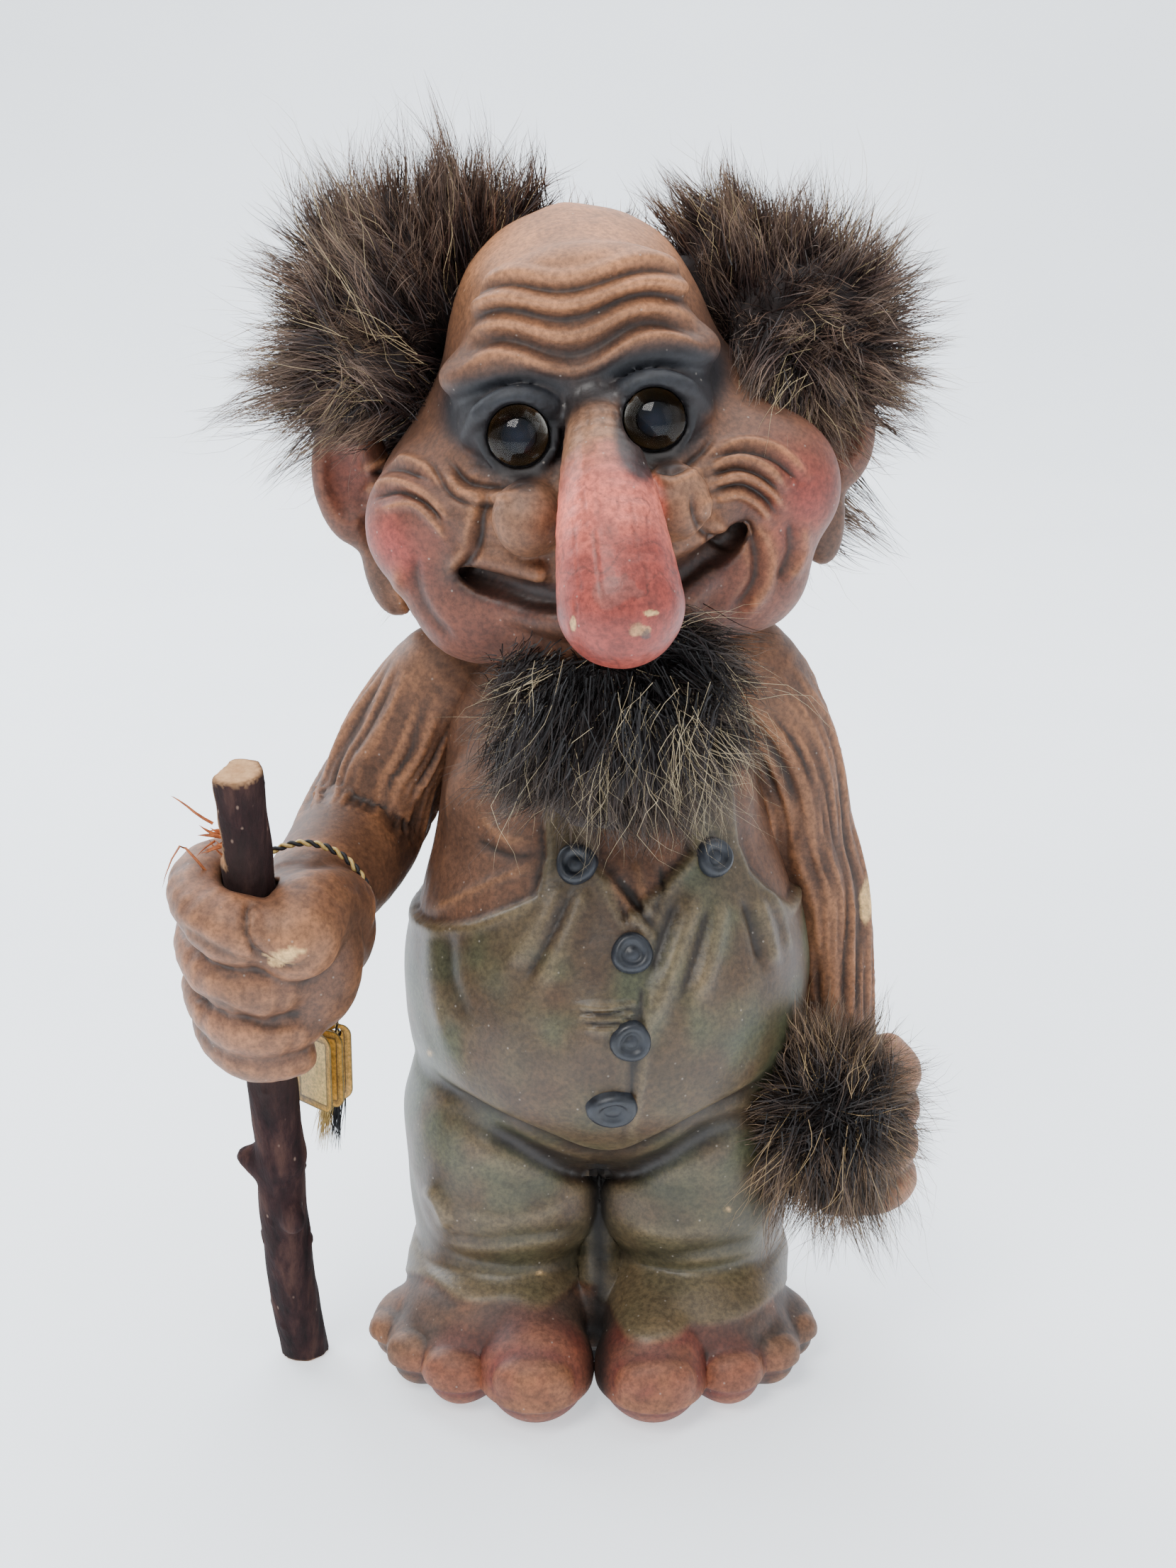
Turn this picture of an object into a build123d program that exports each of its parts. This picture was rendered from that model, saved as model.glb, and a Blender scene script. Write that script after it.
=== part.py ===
from build123d import *
import math
import os

# Sizes are in millimetres. The origin is on the floor, midway between the feet.
# The figure looks along -Y, so its right hand lies towards -X.

# Common to all pieces. The nominal height is the figure's without its hair, and the
# tables of places on the limbs, the face and the fur are shares of it.
figure_height = 250.0
overrun = 4.0
soft_gap = 0.3
cloth = 1.2
main_sides = 20
form_sides = 14
egg_sides = 10
limb_sides = 12
fur_sides = 9
lock_sides = 6
ridge_sides = 6
row_steps = 2
probe_count = 150
cap_angles = (30, 55, 75)
egg_angles = (-78, -50, -17, 17, 50, 78)

# Trunk, from the hips to the neck
trunk_base = 46.0
trunk_height = 120.0
belly_width = 83.0
belly_depth = 82.0
belly_x = 2.7
belly_y = -9.5
# Each row: height, shift sideways, shift in depth, width, depth
trunk_shares = (
    (0.00, 0.00, 0.03, 0.62, 0.50),
    (0.08, 0.00, 0.02, 0.84, 0.72),
    (0.17, 0.00, 0.01, 0.94, 0.88),
    (0.27, 0.00, 0.00, 0.99, 0.97),
    (0.37, 0.00, 0.00, 1.00, 1.00),
    (0.48, 0.00, 0.01, 0.94, 0.91),
    (0.60, -0.01, 0.03, 0.84, 0.77),
    (0.72, -0.02, 0.07, 0.78, 0.65),
    (0.83, -0.02, 0.10, 0.76, 0.56),
    (0.91, -0.02, 0.11, 0.60, 0.46),
    (0.96, -0.02, 0.11, 0.41, 0.38),
    (1.00, -0.02, 0.11, 0.36, 0.36),
)
# Edge of the overalls with their two straps, as shares of belly width and trunk height
bib_edge_shares = (
    (-0.75, -0.13),
    (-0.75, 0.43),
    (-0.49, 0.45),
    (-0.33, 0.50),
    (-0.17, 0.56),
    (-0.145, 0.62),
    (-0.19, 1.02),
    (-0.08, 1.02),
    (-0.03, 0.62),
    (0.04, 0.53),
    (0.20, 0.62),
    (0.15, 1.02),
    (0.26, 1.02),
    (0.31, 0.62),
    (0.34, 0.57),
    (0.44, 0.49),
    (0.72, 0.47),
    (0.72, -0.13),
)

# Moulded buttons: radius, height off the cloth, and places as shares of width and height
button_radius = 4.0
button_height = 2.2
button_groove = 0.5
button_shares = (
    (-0.075, 0.615),
    (0.255, 0.610),
    (0.055, 0.485),
    (0.050, 0.345),
    (0.010, 0.225),
)

# Trouser legs
leg_base = 13.0
leg_height = 56.0
leg_width = 43.0
leg_depth = 56.0
leg_spacing = 39.5
leg_x = 1.2
leg_y = -6.0
leg_shares = (
    (0.00, 0.00, 0.00, 0.80, 0.78),
    (0.10, 0.00, 0.00, 0.93, 0.90),
    (0.18, 0.00, 0.00, 0.92, 0.88),
    (0.45, 0.00, -0.01, 0.95, 0.94),
    (0.75, 0.00, -0.02, 0.99, 1.00),
    (1.00, 0.02, 0.00, 0.85, 0.92),
)

# Rounded forms on each leg, the seat behind and the knee in front. Each row: width,
# depth and height, then depth and height of the middle from the leg's base, as shares
# of the leg's height.
seat_shares = (0.661, 0.500, 0.607, 0.393, 0.661)
knee_shares = (0.607, 0.482, 0.536, -0.286, 0.500)

# Feet, four toes each
foot_height = 19.0
foot_width = 41.0
foot_length = 62.0
foot_spacing = 41.0
foot_y = -7.0
foot_shares = (
    (0.00, 0.00, 0.00, 0.97, 0.98),
    (0.35, 0.00, 0.00, 1.00, 1.00),
    (0.75, 0.00, 0.03, 0.90, 0.86),
    (1.00, 0.00, 0.08, 0.72, 0.66),
)
sole_web_width = 34.0
sole_web_length = 46.0
sole_web_height = 14.0
sole_web_y = -6.0
# Each row: toe width, height and length, then the place of its middle from the
# figure's middle line, in depth and above the floor, as shares of the foot's length.
# The turns outward are in degrees.
toe_shares = (
    (0.347, 0.315, 0.452, 0.194, -0.669, 0.135),
    (0.234, 0.226, 0.387, 0.445, -0.556, 0.097),
    (0.202, 0.202, 0.355, 0.574, -0.452, 0.087),
    (0.169, 0.177, 0.290, 0.655, -0.315, 0.077),
)
toe_turns = (4, 12, 20, 30)

# Base plug in the pour hole of the sole
plug_radius = 9.0
plug_depth = 3.0
plug_clearance = 0.1
plug_recess = 0.4
plug_y = -16.0

# Head, leaning over its own right shoulder by the roll
head_roll = 7.0
head_x = 0.2
head_y = 0.0
head_z = 190.0
jaw_drop = 31.0
head_height = 86.0
head_width = 88.0
head_depth = 76.0
head_shares = (
    (0.000, 0.00, -0.13, 0.45, 0.53),
    (0.047, 0.00, -0.13, 0.68, 0.74),
    (0.128, 0.00, -0.12, 0.86, 0.88),
    (0.244, 0.00, -0.105, 0.955, 0.96),
    (0.360, 0.00, -0.09, 1.00, 1.00),
    (0.453, 0.00, -0.08, 0.955, 1.00),
    (0.547, 0.00, -0.08, 0.80, 0.97),
    (0.663, 0.00, -0.066, 0.64, 0.93),
    (0.779, 0.00, -0.053, 0.56, 0.86),
    (0.884, 0.00, -0.04, 0.455, 0.70),
    (0.953, 0.00, -0.03, 0.295, 0.46),
    (1.000, 0.00, -0.02, 0.08, 0.13),
)
# Rounded forms of the face. Each row: sideways, depth and height of the middle in the
# head's frame, then width, depth and height. Paired forms stand on both sides.
face_pair_shares = (
    (0.128, -0.102, -0.004, 0.124, 0.108, 0.116),
    (0.054, -0.184, 0.010, 0.052, 0.052, 0.056),
    (0.052, -0.138, 0.110, 0.100, 0.056, 0.036),
    (0.098, -0.108, -0.072, 0.104, 0.096, 0.088),
)
face_single_shares = (
    (0.004, -0.128, -0.094, 0.160, 0.108, 0.060),
    (0.006, -0.172, -0.072, 0.124, 0.036, 0.028),
)
face_shift = 1.2
# Nose: sideways, depth and height of each ring, and its radius
nose_shares = (
    (0.010, -0.148, 0.084, 0.022),
    (0.010, -0.184, 0.060, 0.027),
    (0.011, -0.216, 0.032, 0.034),
    (0.012, -0.246, -0.004, 0.042),
    (0.012, -0.272, -0.042, 0.046),
)
# Mouth: a groove along the smile, through places in the head's frame
mouth_radius = 2.3
mouth_steps = 8
mouth_shares = (
    (-0.098, -0.146, -0.036),
    (-0.056, -0.176, -0.058),
    (0.004, -0.190, -0.066),
    (0.064, -0.174, -0.056),
    (0.102, -0.144, -0.032),
)
# Folds across the forehead
brow_fold_count = 4
brow_fold_radius = 1.7
brow_fold_first = 30.5
brow_fold_pitch = 4.6
brow_fold_dip = 1.6
brow_fold_sweep = 60
brow_fold_fade = 70
brow_fold_waves = 4
brow_fold_rings = 12
# Ears
ear_width = 15.0
ear_depth = 9.0
ear_height = 27.0
ear_u = 49.6
ear_v = 4.0
ear_w = 4.5
ear_hollow_share = 0.62
ear_lobe_width = 10.0
ear_lobe_depth = 8.0
ear_lobe_height = 24.0
ear_lobe_drop = 17.0
ear_lobe_inset = 5.0

# Eyes: a painted back with a clear dome on it, seated in a round socket
eye_spacing = 25.6
eye_u = 0.3
eye_v = -37.6
eye_w = 16.6
eye_tilt = 12.0
eye_radius = 6.0
eye_back_height = 1.6
pupil_radius = 2.9
pupil_height = 0.25
lens_edge = 0.9
lens_dome = 2.9
lid_radius = 1.9

# Staff: a straight upper length through the fist, then a slight bend at the branch stub
staff_radius = 5.1
staff_top_x = -67.6
staff_top_y = -55.2
staff_top_z = 144.6
staff_knot_x = -65.1
staff_knot_y = -33.2
staff_knot_z = 54.0
staff_shin_x = -65.2
staff_shin_y = -27.0
staff_shin_z = 30.0
staff_foot_x = -63.4
staff_foot_y = -19.8
stub_length = 8.6
stub_radius = 2.3
stub_rise = 3.0
peel_depth = 1.6
peel_length = 19.0
bore_clearance = 0.3
staff_steps = 9

# Right arm and fist, which is bored for the staff. Each row: a place and a radius.
right_arm_shares = (
    (-0.108, -0.004, 0.606, 0.034),
    (-0.126, 0.000, 0.590, 0.045),
    (-0.148, 0.004, 0.556, 0.049),
    (-0.172, 0.008, 0.510, 0.052),
    (-0.192, 0.000, 0.468, 0.054),
    (-0.208, -0.040, 0.446, 0.054),
    (-0.222, -0.086, 0.438, 0.050),
    (-0.233, -0.132, 0.438, 0.044),
    (-0.238, -0.176, 0.428, 0.048),
)
finger_ring = 10.6
finger_tilt = 13.0
finger_arc = 195
finger_steps = 8
finger_start = 135
# Each row: height of the finger on the staff and its thickness
finger_shares = (
    (0.463, 0.050),
    (0.417, 0.050),
    (0.376, 0.046),
    (0.346, 0.038),
)
palm_width = 25.0
palm_depth = 24.0
palm_height = 34.0
palm_x = -58.0
palm_y = -46.5
palm_z = 104.0
thumb_shares = (
    (-0.212, -0.174, 0.452, 0.030),
    (-0.220, -0.200, 0.460, 0.033),
    (-0.232, -0.230, 0.458, 0.033),
)

# Left arm, hanging, with a closed fist round the tail
left_arm_shares = (
    (0.108, 0.000, 0.616, 0.034),
    (0.124, 0.004, 0.596, 0.046),
    (0.144, 0.010, 0.560, 0.050),
    (0.162, 0.012, 0.504, 0.051),
    (0.170, 0.012, 0.448, 0.051),
    (0.188, 0.004, 0.388, 0.049),
    (0.199, -0.012, 0.328, 0.043),
    (0.202, -0.028, 0.280, 0.041),
    (0.204, -0.040, 0.248, 0.042),
)
left_fist_width = 27.0
left_fist_depth = 26.0
left_fist_height = 38.0
left_fist_x = 53.6
left_fist_y = -11.0
left_fist_z = 52.0
left_finger_thickness = 9.0
left_finger_length = 21.0
left_finger_pitch = 8.2
left_finger_count = 4
left_finger_x = 56.5
left_finger_y = -18.5
left_finger_z = 64.0

# Tail, from the small of the back round the left hip to the fist
tail_shares = (
    (0.032, 0.108, 0.268, 0.025),
    (0.084, 0.126, 0.252, 0.022),
    (0.140, 0.112, 0.236, 0.019),
    (0.184, 0.064, 0.224, 0.018),
    (0.204, 0.016, 0.218, 0.017),
    (0.210, -0.024, 0.216, 0.017),
)

# Fur: each mass has rounded bodies with pointed locks. Each body row: place of the
# middle, then width, depth and height. Each lock row: root, tip and root radius.
fur_bend_share = 0.45
fur_mid_share = 0.72
right_hair_body_shares = (
    (-0.172, 0.032, 0.888, 0.168, 0.184, 0.184),
    (-0.096, 0.076, 0.928, 0.136, 0.104, 0.128),
)
right_hair_lock_shares = (
    (-0.184, 0.016, 0.928, -0.226, 0.016, 1.014, 0.032),
    (-0.160, 0.032, 0.936, -0.168, 0.024, 1.028, 0.036),
    (-0.120, 0.056, 0.944, -0.128, 0.032, 1.052, 0.036),
    (-0.080, 0.072, 0.944, -0.074, 0.064, 1.012, 0.032),
    (-0.056, 0.072, 0.936, -0.020, 0.068, 0.992, 0.024),
    (-0.200, 0.024, 0.888, -0.272, 0.008, 0.932, 0.032),
    (-0.200, 0.016, 0.856, -0.288, 0.000, 0.864, 0.036),
    (-0.200, 0.016, 0.832, -0.294, 0.008, 0.816, 0.034),
    (-0.192, 0.032, 0.816, -0.272, 0.032, 0.768, 0.028),
)
left_hair_body_shares = (
    (0.168, 0.016, 0.874, 0.168, 0.184, 0.180),
    (0.108, 0.064, 0.912, 0.128, 0.104, 0.128),
)
left_hair_lock_shares = (
    (0.096, 0.056, 0.936, 0.052, 0.052, 0.988, 0.024),
    (0.120, 0.040, 0.928, 0.108, 0.032, 1.000, 0.032),
    (0.160, 0.024, 0.920, 0.160, 0.016, 0.986, 0.036),
    (0.192, 0.024, 0.904, 0.220, 0.016, 0.968, 0.036),
    (0.200, 0.016, 0.888, 0.252, 0.008, 0.924, 0.034),
    (0.200, 0.016, 0.856, 0.272, 0.004, 0.864, 0.036),
    (0.192, 0.024, 0.832, 0.264, 0.020, 0.802, 0.032),
    (0.136, -0.064, 0.848, 0.108, -0.108, 0.800, 0.024),
)
back_hair_body_shares = (
    (0.000, 0.132, 0.820, 0.368, 0.112, 0.248),
    (0.000, 0.124, 0.728, 0.336, 0.096, 0.160),
)
back_hair_lock_shares = (
    (-0.096, 0.136, 0.688, -0.120, 0.144, 0.616, 0.032),
    (0.000, 0.144, 0.696, -0.004, 0.156, 0.608, 0.036),
    (0.096, 0.136, 0.696, 0.112, 0.144, 0.620, 0.032),
    (-0.136, 0.152, 0.824, -0.168, 0.184, 0.760, 0.036),
    (-0.064, 0.160, 0.856, -0.080, 0.196, 0.784, 0.036),
    (0.016, 0.164, 0.832, 0.020, 0.200, 0.752, 0.036),
    (0.096, 0.160, 0.856, 0.112, 0.192, 0.784, 0.036),
    (0.152, 0.144, 0.816, 0.184, 0.172, 0.752, 0.034),
    (-0.128, 0.128, 0.712, -0.184, 0.120, 0.640, 0.032),
    (-0.048, 0.140, 0.704, -0.064, 0.152, 0.624, 0.036),
    (0.048, 0.140, 0.704, 0.056, 0.152, 0.620, 0.036),
    (0.136, 0.120, 0.720, 0.176, 0.128, 0.648, 0.032),
    (0.168, 0.096, 0.744, 0.242, 0.080, 0.696, 0.032),
    (-0.160, 0.104, 0.784, -0.240, 0.096, 0.736, 0.032),
)
beard_base = 124.0
beard_height = 47.0
beard_width = 54.0
beard_depth = 25.0
beard_x = 2.5
beard_y = -48.5
beard_shares = (
    (0.00, -0.05, 0.00, 0.18, 0.32),
    (0.14, -0.02, 0.00, 0.55, 0.70),
    (0.30, 0.02, 0.00, 0.86, 0.98),
    (0.48, 0.03, 0.00, 1.00, 1.00),
    (0.66, 0.02, 0.05, 0.92, 0.94),
    (0.84, 0.00, 0.14, 0.72, 0.74),
    (1.00, 0.00, 0.22, 0.42, 0.48),
)
beard_lock_shares = (
    (-0.048, -0.200, 0.608, -0.106, -0.188, 0.584, 0.024),
    (-0.024, -0.200, 0.560, -0.056, -0.200, 0.508, 0.024),
    (0.048, -0.200, 0.560, 0.056, -0.200, 0.500, 0.024),
    (0.072, -0.196, 0.600, 0.128, -0.184, 0.548, 0.028),
    (0.072, -0.188, 0.640, 0.176, -0.180, 0.624, 0.026),
)
tuft_body_shares = (
    (0.194, -0.116, 0.248, 0.108, 0.092, 0.136),
)
tuft_lock_shares = (
    (0.176, -0.116, 0.256, 0.124, -0.096, 0.228, 0.028),
    (0.172, -0.112, 0.224, 0.140, -0.088, 0.108, 0.024),
    (0.196, -0.116, 0.216, 0.188, -0.096, 0.100, 0.028),
    (0.212, -0.112, 0.224, 0.264, -0.088, 0.100, 0.028),
    (0.184, -0.116, 0.280, 0.162, -0.104, 0.336, 0.028),
    (0.216, -0.116, 0.264, 0.272, -0.096, 0.256, 0.028),
)

# Tag cord: a loop round the right wrist, tied under it. The route runs from the knot
# round the wrist and back to the knot.
cord_radius = 0.75
cord_route = (
    (-55.6, -31.0, 93.4),
    (-49.2, -32.0, 97.2),
    (-45.0, -32.6, 104.0),
    (-44.8, -33.0, 112.4),
    (-49.4, -33.4, 119.8),
    (-56.8, -33.6, 123.2),
    (-64.6, -33.4, 121.2),
    (-70.6, -32.8, 115.4),
    (-72.2, -32.2, 107.2),
    (-69.6, -31.6, 99.6),
    (-63.8, -31.2, 94.6),
    (-57.7, -30.9, 92.9),
)
bend_share = 0.45
knot_radius = 2.4
knot_x = -56.6
knot_y = -30.4
knot_z = 92.7
drop_radius = 0.7

# Tag: a small folded booklet with its spine to the left. The turns of its leaves about
# the spine are in degrees.
tag_width = 12.5
tag_height = 17.0
tag_sheet = 0.3
tag_corner = 2.6
tag_inner = 1.6
tag_x = -62.8
tag_y = -26.0
tag_z = 63.5
tag_back_turn = -4
tag_leaf_turn = -27
tag_front_turn = -44
spine_radius = 0.9
tag_eyelet_x = 9.5
tag_eyelet_drop = 1.9
tag_eyelet_radius = 1.0
eyelet_ring = 1.3
eyelet_wire = 0.4
ends_length = 29.0
ends_width = 2.6
ends_sheet = 0.8
ends_spread = 1.6
ends_drift = 4.6
ends_behind = 0.95


def unit(vector):
    """Length one, same direction."""
    return vector / vector.length


def of_height(shares):
    """Lengths from shares of the figure's height."""
    return [figure_height * share for share in shares]


def oval(plane, half_width, half_depth, shift_x=0, shift_y=0, sides=form_sides):
    """The corners of a many-sided oval, the first on the plane's x axis."""
    corners = []
    for k in range(sides):
        turn = 2 * math.pi * k / sides
        place = Vector(shift_x + half_width * math.cos(turn), shift_y + half_depth * math.sin(turn), 0)
        corners.append(plane.from_local_coords(place))
    return corners


def stack(frame, height, width, depth, rows, grow=0, sides=form_sides):
    """Ovals of a rounded upright form, grown outward by a skin."""
    sections = []
    for up, side, fore, wide, deep in rows:
        plane = frame.offset(height * up)
        half_width = width * wide / 2 + grow
        half_depth = depth * deep / 2 + grow
        sections.append(oval(plane, half_width, half_depth, width * side, depth * fore, sides))
    return sections


def facet(*corners):
    """A flat face between corners."""
    return Face(Wire.make_polygon(corners))


def form(rings):
    """A solid with flat facets through rings of corners; its last ring may be a single point."""
    facets = [facet(*rings[0])]
    for low, high in zip(rings, rings[1:]):
        for k in range(len(low)):
            if len(high) == 1:
                facets.append(facet(low[k - 1], low[k], high[0]))
            else:
                facets.append(facet(low[k - 1], low[k], high[k]))
                facets.append(facet(low[k - 1], high[k], high[k - 1]))
    if len(rings[-1]) > 1:
        facets.append(facet(*rings[-1]))
    return Solid(Shell(facets))


def egg(frame, width, depth, height, sides=egg_sides):
    """A solid ellipsoid about the frame's origin."""
    sections = []
    for angle in egg_angles:
        rise = height / 2 * math.sin(math.radians(angle))
        share = math.cos(math.radians(angle))
        sections.append(oval(frame.offset(rise), width / 2 * share, depth / 2 * share, sides=sides))
    return form(sections)


def smoothed(rows):
    """The rows of a table with more rows set on a smooth curve between each two."""
    smooth = []
    for k in range(len(rows) - 1):
        before = rows[max(k - 1, 0)]
        after = rows[min(k + 2, len(rows) - 1)]
        for step in range(row_steps):
            t = step / row_steps
            row = []
            for p, a, b, q in zip(before, rows[k], rows[k + 1], after):
                row.append(a + t * (b - p + t * (2 * p - 5 * a + 4 * b - q + t * (3 * a - p - 3 * b + q))) / 2)
            smooth.append(row)
    smooth.append(list(rows[-1]))
    return smooth


def limb(rows, cross, round_start=True, round_end=True):
    """A round limb along rows of a place and a radius, with rounded ends."""
    places = [Vector(*row[:3]) for row in smoothed(rows)]
    radii = [row[3] for row in smoothed(rows)]
    last = len(places) - 1
    sections = []

    def ring(place, direction, radius):
        side = unit(cross - direction * cross.dot(direction))
        return oval(Plane(origin=place, x_dir=side, z_dir=direction), radius, radius, sides=limb_sides)

    def cap(place, direction, radius, end):
        for angle in cap_angles[::end]:
            lean = math.radians(angle)
            centre = place + direction * end * radius * math.sin(lean)
            sections.append(ring(centre, direction, radius * math.cos(lean)))

    for k, place in enumerate(places):
        direction = unit(places[min(k + 1, last)] - places[max(k - 1, 0)])
        if k == 0 and round_start:
            cap(place, direction, radii[k], -1)
        sections.append(ring(place, direction, radii[k]))
        if k == last and round_end:
            cap(place, direction, radii[k], 1)
    return form(sections)


def lock(row):
    """A lock of fur: a tapering body from its root to a point."""
    start = Vector(*row[:3])
    end = Vector(*row[3:6])
    radius = row[6]
    direction = unit(end - start)
    helper = Vector(0, 1, 0) if abs(direction.Y) < math.sqrt(1 / 2) else Vector(1, 0, 0)
    side = unit(helper - direction * helper.dot(direction))
    waist = Plane(origin=start + (end - start) * fur_bend_share, x_dir=side, z_dir=direction)
    sections = [
        oval(Plane(origin=start, x_dir=side, z_dir=direction), radius, radius, sides=lock_sides),
        oval(waist, radius * fur_mid_share, radius * fur_mid_share, sides=lock_sides),
        [end],
    ]
    return form(sections)


def fur_mass(body_shares, lock_shares):
    """Rounded bodies of fur and their pointed locks."""
    masses = []
    for shares in body_shares:
        x, y, z, width, depth, height = of_height(shares)
        masses.append(egg(Plane.XY.move(Location((x, y, z))), width, depth, height, fur_sides))
    return masses + [lock(of_height(shares)) for shares in lock_shares]


def between(rows, level, column):
    """The value of one column at a level, in line between the rows of a shares table."""
    for low, high in zip(rows, rows[1:]):
        if low[0] <= level <= high[0]:
            part = (level - low[0]) / (high[0] - low[0])
            return low[column] + (high[column] - low[column]) * part
    return rows[-1][column]


def belly_front(side_share, level):
    """The place on the front of the overalls at a share of the width and height."""
    half_width = belly_width * between(trunk_shares, level, 3) / 2 + cloth
    half_depth = belly_depth * between(trunk_shares, level, 4) / 2 + cloth
    middle_x = belly_width * between(trunk_shares, level, 1)
    middle_y = belly_y + belly_depth * between(trunk_shares, level, 2)
    across = (belly_width * side_share - middle_x) / half_width
    return Vector(
        belly_x + belly_width * side_share,
        middle_y - half_depth * math.sqrt(1 - across**2),
        trunk_base + trunk_height * level,
    )


def belly_normal(side_share, level):
    """The outward direction of the belly at the same place."""
    probe = 1 / probe_count
    here = belly_front(side_share, level)
    along = belly_front(side_share + probe, level) - here
    up = belly_front(side_share, level + probe) - here
    return unit(along.cross(up))


trunk_frame = Plane(origin=(belly_x, belly_y, trunk_base))
leg_frames = [Plane(origin=(leg_x + side * leg_spacing / 2, leg_y, leg_base)) for side in (-1, 1)]
foot_frames = [Plane(origin=(side * foot_spacing / 2, foot_y, 0)) for side in (-1, 1)]
roll = math.radians(head_roll)
head_frame = Plane(
    origin=(head_x, head_y, head_z),
    x_dir=(math.cos(roll), 0, math.sin(roll)),
    z_dir=(-math.sin(roll), 0, math.cos(roll)),
)
head_side = head_frame.x_dir
head_up = head_frame.z_dir


def on_head(side, depth, up):
    """A place in the head's own frame."""
    return head_frame.from_local_coords(Vector(side, depth, up))


def head_plane(side, depth, up):
    """A level plane of the head's own frame through a place."""
    return Plane(origin=on_head(side, depth, up), x_dir=head_side, z_dir=head_up)


# Overalls outline, as a solid right through the figure
with BuildPart() as bib_prism:
    with BuildSketch(Plane.XZ.offset(-belly_y)):
        with BuildLine():
            Polyline(
                *[(belly_x + belly_width * side, trunk_base + trunk_height * up) for side, up in bib_edge_shares],
                close=True,
            )
        make_face()
    extrude(amount=belly_depth, both=True)

with BuildPart() as overalls:
    add(form(stack(trunk_frame, trunk_height, belly_width, belly_depth, trunk_shares, cloth, main_sides)))
    add(bib_prism.part, mode=Mode.INTERSECT)

# Torso: bare skin with the overalls over it
with BuildPart() as torso:
    add(form(stack(trunk_frame, trunk_height, belly_width, belly_depth, trunk_shares, sides=main_sides)))
    add(overalls.part)

# Body casting: the torso with its legs and feet
foot_forms = []
for foot_frame in foot_frames:
    foot_forms.append(form(stack(foot_frame, foot_height, foot_width, foot_length, foot_shares)))
for side in (-1, 1):
    for shares, turn in zip(toe_shares, toe_turns):
        width, height, length, out, depth, up = [foot_length * share for share in shares]
        lean = math.radians(turn)
        toe_plane = Plane(
            origin=(side * out, depth, up),
            x_dir=(math.cos(lean), side * math.sin(lean), 0),
            z_dir=(side * math.sin(lean), -math.cos(lean), 0),
        )
        foot_forms.append(egg(toe_plane, width, height, length))

web_planes = [Plane.XY, Plane.XY.offset(sole_web_height)]
leg_rounds = []
for leg_frame in leg_frames:
    for shares in (seat_shares, knee_shares):
        width, depth, height, fore, up = [leg_height * share for share in shares]
        leg_rounds.append(egg(Plane(origin=leg_frame.origin + Vector(0, fore, up)), width, depth, height))

with BuildPart() as body_casting:
    add(torso.part)
    add(leg_rounds)
    add([form(stack(leg_frame, leg_height, leg_width, leg_depth, leg_shares)) for leg_frame in leg_frames])
    add(foot_forms)
    add(form([oval(plane, sole_web_width / 2, sole_web_length / 2, shift_y=sole_web_y) for plane in web_planes]))
    for side_share, level in button_shares:
        seat = Plane(origin=belly_front(side_share, level), z_dir=belly_normal(side_share, level))
        with BuildSketch(seat.offset(-button_height)):
            Circle(button_radius)
        extrude(amount=2 * button_height)
        with BuildSketch(seat.offset(button_height)):
            Circle(button_radius * 3 / 4)
            Circle(button_radius / 2, mode=Mode.SUBTRACT)
        extrude(amount=-button_groove, mode=Mode.SUBTRACT)
    split(bisect_by=Plane.XY, keep=Keep.TOP)
    with BuildSketch(Plane.XY):
        with Locations((0, plug_y)):
            Circle(plug_radius + plug_clearance)
    extrude(amount=plug_depth, mode=Mode.SUBTRACT)
body_casting.part.label = "body_casting"

with BuildPart() as base_plug:
    with BuildSketch(Plane.XY.offset(plug_recess)):
        with Locations((0, plug_y)):
            Circle(plug_radius)
    extrude(amount=plug_depth - plug_recess)
base_plug.part.label = "base_plug"

# Head casting
eye_lean = math.radians(eye_tilt)
eye_axis = head_frame.y_dir * -math.cos(eye_lean) + head_up * math.sin(eye_lean)
eye_planes = [
    Plane(origin=on_head(eye_u + side * eye_spacing / 2, eye_v, eye_w), x_dir=head_side, z_dir=eye_axis)
    for side in (-1, 1)
]
nose_path = []
for shares in nose_shares:
    side, depth, up, radius = of_height(shares)
    nose_path.append((*on_head(side, depth, up), radius))

head_forms = []
ear_hollows = []
for side in (-1, 1):
    for shares in face_pair_shares:
        out, depth, up, width, thick, height = of_height(shares)
        head_forms.append(egg(head_plane(face_shift + side * out, depth, up), width, thick, height))
    ear = head_plane(side * ear_u, ear_v, ear_w)
    head_forms.append(egg(ear, ear_width, ear_depth, ear_height))
    lobe = head_plane(side * (ear_u - ear_lobe_inset), ear_v, ear_w - ear_lobe_drop)
    head_forms.append(egg(lobe, ear_lobe_width, ear_lobe_depth, ear_lobe_height))
    hollow = head_plane(side * (ear_u + ear_width / 8), ear_v - ear_depth / 2, ear_w)
    bowl = egg(hollow, ear_width * ear_hollow_share, ear_depth * ear_hollow_share, ear_height * ear_hollow_share)
    ear_hollows.append(bowl)
for shares in face_single_shares:
    out, depth, up, width, thick, height = of_height(shares)
    head_forms.append(egg(head_plane(out, depth, up), width, thick, height))
head_forms.append(limb(nose_path, head_side, round_start=False))

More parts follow.
